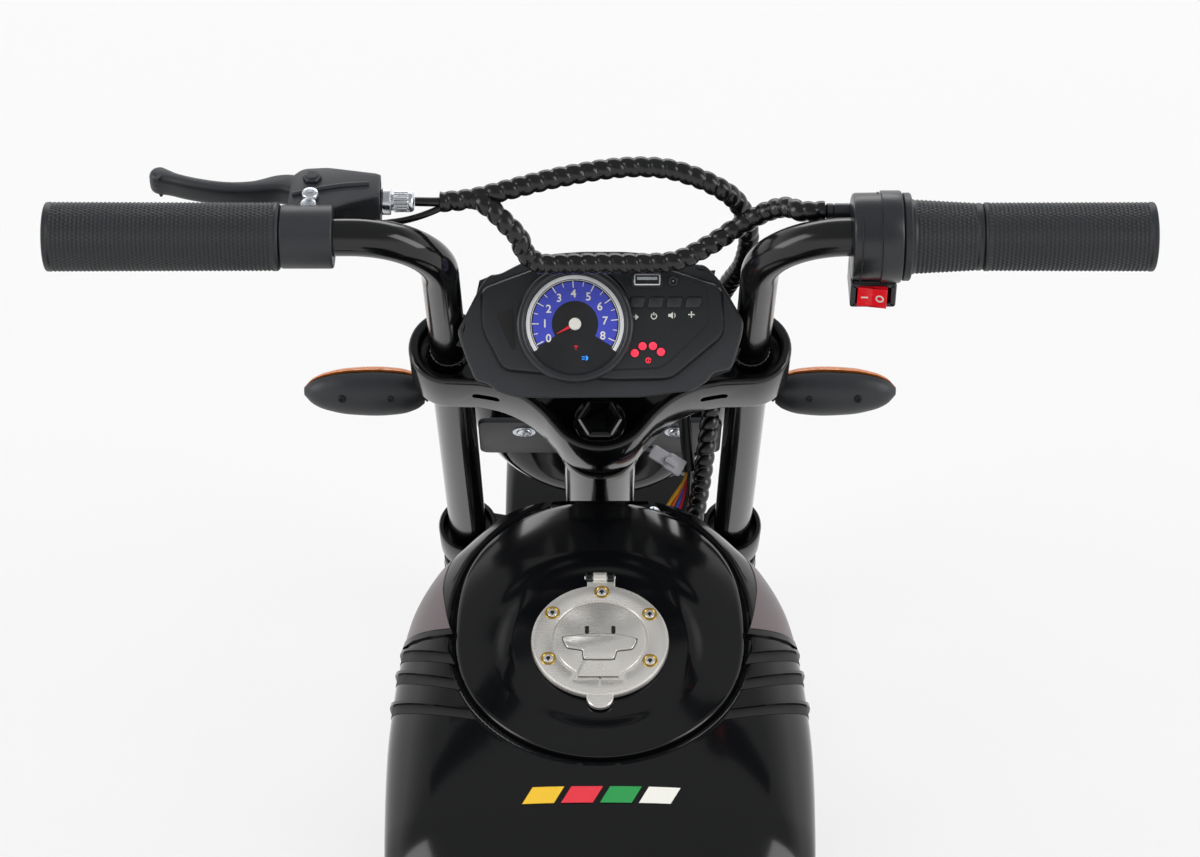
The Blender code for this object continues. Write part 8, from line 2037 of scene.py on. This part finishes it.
# Connector body: size of each block, its place along and above the body's middle, and its rounding
CONNECTOR_BLOCKS = (((11.0, 7.6, 6.0), (-4.6, 0.0, 0.0), 0.7, 0.5),
                    ((9.6, 9.2, 7.4), (5.0, 0.0, 0.0), 0.7, 0.5),
                    ((7.0, 3.0, 1.6), (2.0, 0.0, 4.2), 0.5, 0.4),
                    ((1.4, 8.4, 6.8), (0.0, 0.0, 0.0), 0.4, 0.3))


def make_wiring():
    """Sleeved dash leads with a tie, and a nylon connector beside them with its short tails."""
    sleeve = swept(spline(SLEEVE_ROUTE, 2.0), SLEEVE_RADIUS, X_AXIS, 0, 28)
    tie = turned_ring([(3.3, -2.0), (4.0, -2.0), (4.0, 2.0), (3.3, 2.0)],
                      place((45.0, 211.0, 496.0), X_AXIS, (2.5, -18.0, -19.0)), 1, 36)
    body_at = place((36.3, 188.0, 474.0), (0.86, -0.33, -0.40), (0.1, -0.73, 0.68))
    shells = [sleeve, tie]
    for measure, middle, corner, edge in CONNECTOR_BLOCKS:
        shells.append(block(measure, Place(put(middle, body_at), body_at.axes), 2, corner, edge))
    for side in (-1.9, 1.9):
        tail = put(((-9.0, side, 0.0), (-14.0, side, -1.0)), body_at)
        path = spline(np.concatenate((((20.0, 214.0, 486.0), (21.0, 205.0, 482.0)), tail[::-1])), 1.5)
        shells.append(swept(path, 1.0, Z_AXIS, 1, 12))
        lead = put(((9.0, side, 0.0), (12.0, side, 0.0)), body_at)
        path = spline(np.concatenate((lead, ((47.0, 186.5, 468.0), (48.6, 188.0, 471.5)))), 1.0)
        shells.append(swept(path, 0.9, Z_AXIS, 2, 12))
    build_piece("dash_leads_sleeve", "steering", shells, ("wire_black", "satin_plastic", "nylon"))


def make_leads():
    """Bare wires that fan out of the sleeve, sag a little and dip under the tank's nose."""
    route = np.array(LEAD_ROUTE, float)
    shells = []
    share = np.linspace(0.0, 1.0, len(route))
    fan = monotone(((0.0, 0.75), (0.2, 0.9), (0.4, 2.3), (0.75, 2.3), (1.0, 2.1)), share)
    for index in range(len(LEAD_COLOURS)):
        lane = index - (len(LEAD_COLOURS) - 1) / 2
        turn = 2 * pi * index / len(LEAD_COLOURS)
        near = np.clip(1.0 - share / 0.35, 0.0, 1.0)[:, None]
        bundle = np.array((cos(turn) * 1.7, sin(turn) * 1.2, -sin(turn) * 1.2))
        sag = np.sin(pi * share)[:, None] * (0.0, 0.5 * sin(2.1 * index), 0.9 * cos(1.7 * index))
        path = route + X_AXIS * (lane * fan)[:, None] * (1 - near) + bundle * near + sag
        shells.append(swept(spline(path, 1.6), setting_mm("lead_radius"), Z_AXIS, index, 14))
    build_piece("dash_leads", ("steering", "frame"), shells, LEAD_COLOURS)


# Studio

# The photograph's camera in metres and degrees, with its focal length in pixels of the full picture
CAMERA_PLACE = (0.0, -1.0733, 1.6735)
CAMERA_DOWN = 43.0
FOCAL_PIXELS = 3208.0
PICTURE_WIDTH = 1200.0
SENSOR_WIDTH = 36.0
FLOOR_WIDTH = 80.0
WHITE = (1.0, 1.0, 1.0, 1.0)
# Name of each lamp, its place, what it points at, its width and height in metres and its power in watts
LAMPS = (("lamp_over", (0.0, 0.3, 3.2), (0.0, 0.1, 0.4), 2.6, 2.0, 60.0),
         ("lamp_left", (-2.4, -0.5, 1.9), (0.0, 0.0, 0.5), 1.1, 2.2, 42.0),
         ("lamp_right", (2.4, -0.5, 1.9), (0.0, 0.0, 0.5), 1.1, 2.2, 42.0),
         ("lamp_front", (0.0, 3.0, 1.7), (0.0, 0.2, 0.5), 2.4, 1.0, 34.0))


def direct_rays(tree):
    """Light Path's outputs, and the share of rays that come from the camera or through glass."""
    path = add_node(tree, "ShaderNodeLightPath").outputs
    direct = add_node(tree, "ShaderNodeMath", {0: path["Is Camera Ray"], 1: path["Is Transmission Ray"]},
                      operation="MAXIMUM")
    return path, direct.outputs[0]


def studio_world(settings):
    """Plain pale surroundings: white to the camera and at the horizon of reflections, darker overhead."""
    world = bpy.data.worlds.new("studio")
    bpy.context.scene.world = world
    world.use_nodes = True
    tree = world.node_tree
    tree.nodes.clear()
    path, direct = direct_rays(tree)
    way = add_node(tree, "ShaderNodeTexCoord").outputs["Generated"]
    height = add_node(tree, "ShaderNodeSeparateXYZ", {"Vector": way}).outputs["Z"]
    overhead = add_node(tree, "ShaderNodeMapRange", {0: height, 1: 0.30, 2: 0.72, 3: 1.0,
                                                     4: settings.overhead})
    mirrored = add_node(tree, "ShaderNodeMath", {0: path["Is Glossy Ray"], 1: overhead.outputs[0]},
                        operation="MULTIPLY")
    bright = add_node(tree, "ShaderNodeMath", {0: direct, 1: mirrored.outputs[0]}, operation="MAXIMUM")
    strength = add_node(tree, "ShaderNodeMath", {0: bright.outputs[0], 1: settings.fill}, operation="MAXIMUM")
    soft = add_node(tree, "ShaderNodeBackground", {"Color": WHITE, "Strength": strength.outputs[0]})
    add_node(tree, "ShaderNodeOutputWorld", {"Surface": soft.outputs["Background"]})


def floor_paint(settings):
    """Matt pale paint with faint clouds, which nears plain white far out, and only to direct and mirrored rays."""
    paint = bpy.data.materials.new("floor_paint")
    paint.use_nodes = True
    tree = paint.node_tree
    tree.nodes.clear()
    at = add_node(tree, "ShaderNodeTexCoord").outputs["Object"]
    cloud = add_node(tree, "ShaderNodeTexNoise", {"Vector": at, "Scale": 0.6, "Detail": 2.0}).outputs["Fac"]
    shade = add_node(tree, "ShaderNodeMapRange", {0: cloud, 1: 0.3, 2: 0.7, 3: settings.floor_grey - 0.01,
                                                  4: settings.floor_grey + 0.01}).outputs[0]
    rgb = add_node(tree, "ShaderNodeCombineColor", {"Red": shade, "Green": shade, "Blue": shade})
    shader = add_node(tree, "ShaderNodeBsdfPrincipled", {"Base Color": rgb.outputs["Color"], "Roughness": 0.9,
                                                         "Specular IOR Level": 0.1})
    path, direct = direct_rays(tree)
    seen = add_node(tree, "ShaderNodeMath", {0: direct, 1: path["Is Glossy Ray"]}, operation="MAXIMUM")
    reach = add_node(tree, "ShaderNodeVectorMath", {0: at}, operation="LENGTH").outputs["Value"]
    far = add_node(tree, "ShaderNodeMapRange", {0: reach, 1: 0.9, 2: 2.4, 3: 0.6, 4: 1.0}).outputs[0]
    share = add_node(tree, "ShaderNodeMath", {0: far, 1: seen.outputs[0]}, operation="MULTIPLY")
    white = add_node(tree, "ShaderNodeEmission", {"Color": WHITE, "Strength": 1.0})
    mixed = add_node(tree, "ShaderNodeMixShader", {0: share.outputs[0], 1: shader.outputs["BSDF"],
                                                   2: white.outputs["Emission"]})
    add_node(tree, "ShaderNodeOutputMaterial", {"Surface": mixed.outputs["Shader"]})
    return paint


def make_lamp(name, where, target, width, height, power):
    """A rectangular softbox turned towards its target."""
    data = bpy.data.lights.new(name, "AREA")
    data.shape = "RECTANGLE"
    data.size = width
    data.size_y = height
    data.energy = power
    lamp = bpy.data.objects.new(name, data)
    bpy.context.scene.collection.objects.link(lamp)
    lamp.location = where
    lamp.rotation_euler = (Vector(target) - Vector(where)).to_track_quat("-Z", "Y").to_euler()
    return lamp


def make_camera():
    """The camera at the photograph's place, looking down at its angle."""
    data = bpy.data.cameras.new("photo_camera")
    data.sensor_width = SENSOR_WIDTH
    data.lens = FOCAL_PIXELS / PICTURE_WIDTH * SENSOR_WIDTH
    data.clip_end = 60.0
    camera = bpy.data.objects.new("photo_camera", data)
    bpy.context.scene.collection.objects.link(camera)
    camera.location = CAMERA_PLACE
    camera.rotation_euler = (radians(90.0 - CAMERA_DOWN), 0.0, 0.0)
    bpy.context.scene.camera = camera
    return camera


def make_stage(settings):
    """Floor, surroundings, softbox lamps and the camera."""
    studio_world(settings)
    bpy.ops.mesh.primitive_plane_add(size=FLOOR_WIDTH, location=(0.0, 0.0, 0.0))
    floor = bpy.context.object
    floor.name = "studio_floor"
    floor.data.materials.append(floor_paint(settings))
    lamps = [make_lamp(*kind[:-1], kind[-1] * settings.light) for kind in LAMPS]
    # The one overhead would lie as a grey patch on the tank, so reflections leave it out
    lamps[0].visible_glossy = False
    camera = make_camera()
    bpy.context.scene.view_settings.view_transform = "Standard"


# Add-on: settings, operators and panel

class MotorcycleSizes(bpy.types.PropertyGroup):
    """Sizes of relief, soft forms and leads"""
    wrap_pitch: FloatProperty(name="Wrap pitch", description="Climb of the spiral wrap in one turn",
                              default=0.0068, min=0.003, max=0.02, subtype="DISTANCE", unit="LENGTH")
    wrap_core: FloatProperty(name="Wrap core", description="Radius of the spiral wrap between its turns",
                             default=0.0041, min=0.003, max=0.0045, subtype="DISTANCE", unit="LENGTH")
    wrap_ridge: FloatProperty(name="Wrap ridge", description="Height of each turn of the spiral wrap",
                              default=0.00115, min=0.0, max=0.0012, subtype="DISTANCE", unit="LENGTH")
    knurl_depth: FloatProperty(name="Knurl depth", description="Depth between the grips' small pyramids",
                               default=0.0005, min=0.0, max=0.001, subtype="DISTANCE", unit="LENGTH")
    tread_depth: FloatProperty(name="Tread depth", description="Depth of the tyres' grooves",
                               default=0.003, min=0.0, max=0.006, subtype="DISTANCE", unit="LENGTH")
    seat_swell: FloatProperty(name="Seat swell", description="Farthest that the filled cushion may move out",
                              default=0.007, min=0.001, max=0.016, subtype="DISTANCE", unit="LENGTH")
    piping_radius: FloatProperty(name="Piping radius", description="Half the thickness of the seat's piping",
                                 default=0.0019, min=0.001, max=0.004, subtype="DISTANCE", unit="LENGTH")
    stitch_length: FloatProperty(name="Stitch length", description="Length of one stitch on the seat",
                                 default=0.0036, min=0.002, max=0.005, subtype="DISTANCE", unit="LENGTH")
    lead_radius: FloatProperty(name="Lead radius", description="Half the thickness of a bare wire",
                               default=0.001, min=0.0005, max=0.0015, subtype="DISTANCE", unit="LENGTH")


def colour_of(name):
    """The linear colour of a finish in the table."""
    return colour(FINISHES[name]["code"])


class MotorcycleColours(bpy.types.PropertyGroup):
    """Colours of the finishes with the same names"""
    enamel: FloatVectorProperty(name="Enamel", description="Paint of the frame, fork and bars", size=4,
                                default=colour_of("enamel"), min=0.0, max=1.0, subtype="COLOR")
    gloss_shell: FloatVectorProperty(name="Gloss shell", description="Tank, fenders and lamp bowl", size=4,
                                     default=colour_of("gloss_shell"), min=0.0, max=1.0, subtype="COLOR")
    vinyl: FloatVectorProperty(name="Vinyl", description="Leathercloth of the seat", size=4,
                               default=colour_of("vinyl"), min=0.0, max=1.0, subtype="COLOR")
    grip_rubber: FloatVectorProperty(name="Grips", description="Rubber of the grips and footpegs", size=4,
                                     default=colour_of("grip_rubber"), min=0.0, max=1.0, subtype="COLOR")
    rim: FloatVectorProperty(name="Rims", description="Moulded wheel rims", size=4,
                             default=colour_of("rim"), min=0.0, max=1.0, subtype="COLOR")
    ink_blue: FloatVectorProperty(name="Dial", description="Printed zone of the dial", size=4,
                                  default=colour_of("ink_blue"), min=0.0, max=1.0, subtype="COLOR")
    ink_yellow: FloatVectorProperty(name="First stripe", description="Leftmost stripe of the tank cover", size=4,
                                    default=colour_of("ink_yellow"), min=0.0, max=1.0, subtype="COLOR")
    ink_green: FloatVectorProperty(name="Third stripe", description="Third stripe of the tank cover", size=4,
                                   default=colour_of("ink_green"), min=0.0, max=1.0, subtype="COLOR")


class MotorcycleStudio(bpy.types.PropertyGroup):
    """Levels of the studio's light"""
    light: FloatProperty(name="Light", description="Strength of all studio lamps", default=0.62, min=0.0,
                         subtype="FACTOR", max=2.0)
    overhead: FloatProperty(name="Overhead", description="Brightness of the ceiling in reflections",
                            default=0.14, min=0.0, max=1.0, subtype="FACTOR")
    fill: FloatProperty(name="Fill", description="Strength of the surroundings as a lamp", default=0.36, min=0.0,
                        max=1.0, subtype="FACTOR")
    floor_grey: FloatProperty(name="Floor", description="Brightness of the floor paint", default=0.86, min=0.0,
                              max=1.0, subtype="FACTOR")


def setting_mm(name):
    """A size setting in millimetres, rounded to a ten-thousandth."""
    return round(getattr(bpy.context.scene.motorcycle_sizes, name) / MM, 4)


def made(*makers):
    """Runs makers in order; an error in one of them stops the operator."""
    for maker in makers:
        maker()
    return {"FINISHED"}


class MOTORCYCLE_OT_yokes(bpy.types.Operator):
    """Yokes, stem bolt, fork legs and front axle"""
    bl_idname = "motorcycle.yokes"
    bl_label = "Yokes and fork"

    def execute(self, context):
        return made(make_yokes, make_stem_bolt, make_fork)


class MOTORCYCLE_OT_bars(bpy.types.Operator):
    """Bent bars, knurled grips and the throttle sleeve"""
    bl_idname = "motorcycle.bars"
    bl_label = "Handlebars and grips"

    def execute(self, context):
        return made(make_handlebars, make_grips)


class MOTORCYCLE_OT_controls(bpy.types.Operator):
    """Throttle housing, rocker, brake lever, its bracket and its cable adjuster"""
    bl_idname = "motorcycle.controls"
    bl_label = "Controls"

    def execute(self, context):
        return made(make_throttle_housing, make_rocker, make_lever, make_lever_bracket)


class MOTORCYCLE_OT_harness(bpy.types.Operator):
    """Spiral-wrapped bundles"""
    bl_idname = "motorcycle.harness"
    bl_label = "Harness"

    def execute(self, context):
        return made(make_harness)


class MOTORCYCLE_OT_dash(bpy.types.Operator):
    """Rim, panel, dial, lamp windows, signs and buttons"""
    bl_idname = "motorcycle.dash"
    bl_label = "Dash"

    def execute(self, context):
        return made(make_dash_housing, make_dash_panel, make_dial, make_dash_lamps, make_buttons)


class MOTORCYCLE_OT_tank(bpy.types.Operator):
    """Tank shell with its windows and vents, cover and filler cap"""
    bl_idname = "motorcycle.tank"
    bl_label = "Tank"

    def execute(self, context):
        return made(make_tank, make_tank_details, make_cover, make_cap, make_cap_hinge)


class MOTORCYCLE_OT_lamps(bpy.types.Operator):
    """Headlight, its bracket and the indicators"""
    bl_idname = "motorcycle.lamps"
    bl_label = "Lamps"

    def execute(self, context):
        return made(make_headlight, make_headlight_bracket, make_indicators)


class MOTORCYCLE_OT_fenders(bpy.types.Operator):
    """Front and rear fenders and the tail lamp"""
    bl_idname = "motorcycle.fenders"
    bl_label = "Fenders"

    def execute(self, context):
        return made(make_fenders)


class MOTORCYCLE_OT_wheels(bpy.types.Operator):
    """Tyres, rims and hubs"""
    bl_idname = "motorcycle.wheels"
    bl_label = "Wheels"

    def execute(self, context):
        return made(make_wheels)


class MOTORCYCLE_OT_stabilisers(bpy.types.Operator):
    """Stabiliser wheels on their arms"""
    bl_idname = "motorcycle.stabilisers"
    bl_label = "Stabilisers"

    def execute(self, context):
        return made(make_stabilisers)


class MOTORCYCLE_OT_frame(bpy.types.Operator):
    """Welded frame tubes"""
    bl_idname = "motorcycle.frame"
    bl_label = "Frame"

    def execute(self, context):
        return made(make_frame)


class MOTORCYCLE_OT_running_gear(bpy.types.Operator):
    """Rear axle, gear motor, footpegs, battery, control box, side covers and charging socket"""
    bl_idname = "motorcycle.running_gear"
    bl_label = "Running gear"

    def execute(self, context):
        return made(make_rear_axle, make_gear_motor, make_footpegs, make_boxes, make_side_covers, make_socket)


class MOTORCYCLE_OT_seat(bpy.types.Operator):
    """Filled cushion with its piping and stitches, and its pan"""
    bl_idname = "motorcycle.seat"
    bl_label = "Seat"

    def execute(self, context):
        return made(make_seat, make_seat_pan)


class MOTORCYCLE_OT_wiring(bpy.types.Operator):
    """Dash bracket, sleeve, connector and bare leads"""
    bl_idname = "motorcycle.wiring"
    bl_label = "Wiring"

    def execute(self, context):
        return made(make_dash_bracket, make_wiring, make_leads)


class MOTORCYCLE_OT_stage(bpy.types.Operator):
    """Floor, lamps, surroundings and camera"""
    bl_idname = "motorcycle.stage"
    bl_label = "Studio"

    def execute(self, context):
        make_stage(context.scene.motorcycle_studio)
        return {"FINISHED"}


OPERATORS = (MOTORCYCLE_OT_yokes, MOTORCYCLE_OT_bars, MOTORCYCLE_OT_controls, MOTORCYCLE_OT_harness,
             MOTORCYCLE_OT_dash, MOTORCYCLE_OT_tank, MOTORCYCLE_OT_lamps, MOTORCYCLE_OT_fenders,
             MOTORCYCLE_OT_wheels, MOTORCYCLE_OT_stabilisers, MOTORCYCLE_OT_frame, MOTORCYCLE_OT_running_gear,
             MOTORCYCLE_OT_seat, MOTORCYCLE_OT_wiring, MOTORCYCLE_OT_stage)
SETTINGS = {"motorcycle_sizes": MotorcycleSizes, "motorcycle_colours": MotorcycleColours,
            "motorcycle_studio": MotorcycleStudio}


class MOTORCYCLE_PT_panel(bpy.types.Panel):
    """Lists the settings and the operators"""
    bl_idname = "MOTORCYCLE_PT_panel"
    bl_label = "Motorcycle"
    bl_space_type = "VIEW_3D"
    bl_region_type = "UI"
    bl_category = "Motorcycle"

    def draw(self, context):
        column = self.layout.column()
        for group, kind in SETTINGS.items():
            for name in kind.__annotations__:
                column.prop(getattr(context.scene, group), name)
        for item in OPERATORS:
            column.operator(item.bl_idname)


CLASSES = (*SETTINGS.values(), *OPERATORS, MOTORCYCLE_PT_panel)


def register():
    """Makes the settings, the operators and the panel known to Blender."""
    for item in CLASSES:
        bpy.utils.register_class(item)
    for group, kind in SETTINGS.items():
        setattr(bpy.types.Scene, group, PointerProperty(type=kind))


def unregister():
    """Takes them away again."""
    for group in SETTINGS:
        delattr(bpy.types.Scene, group)
    for item in reversed(CLASSES):
        bpy.utils.unregister_class(item)


def main():
    register()
    for item in OPERATORS:
        section, name = item.bl_idname.split(".")
        getattr(getattr(bpy.ops, section), name)()


if __name__ == "__main__":
    main()
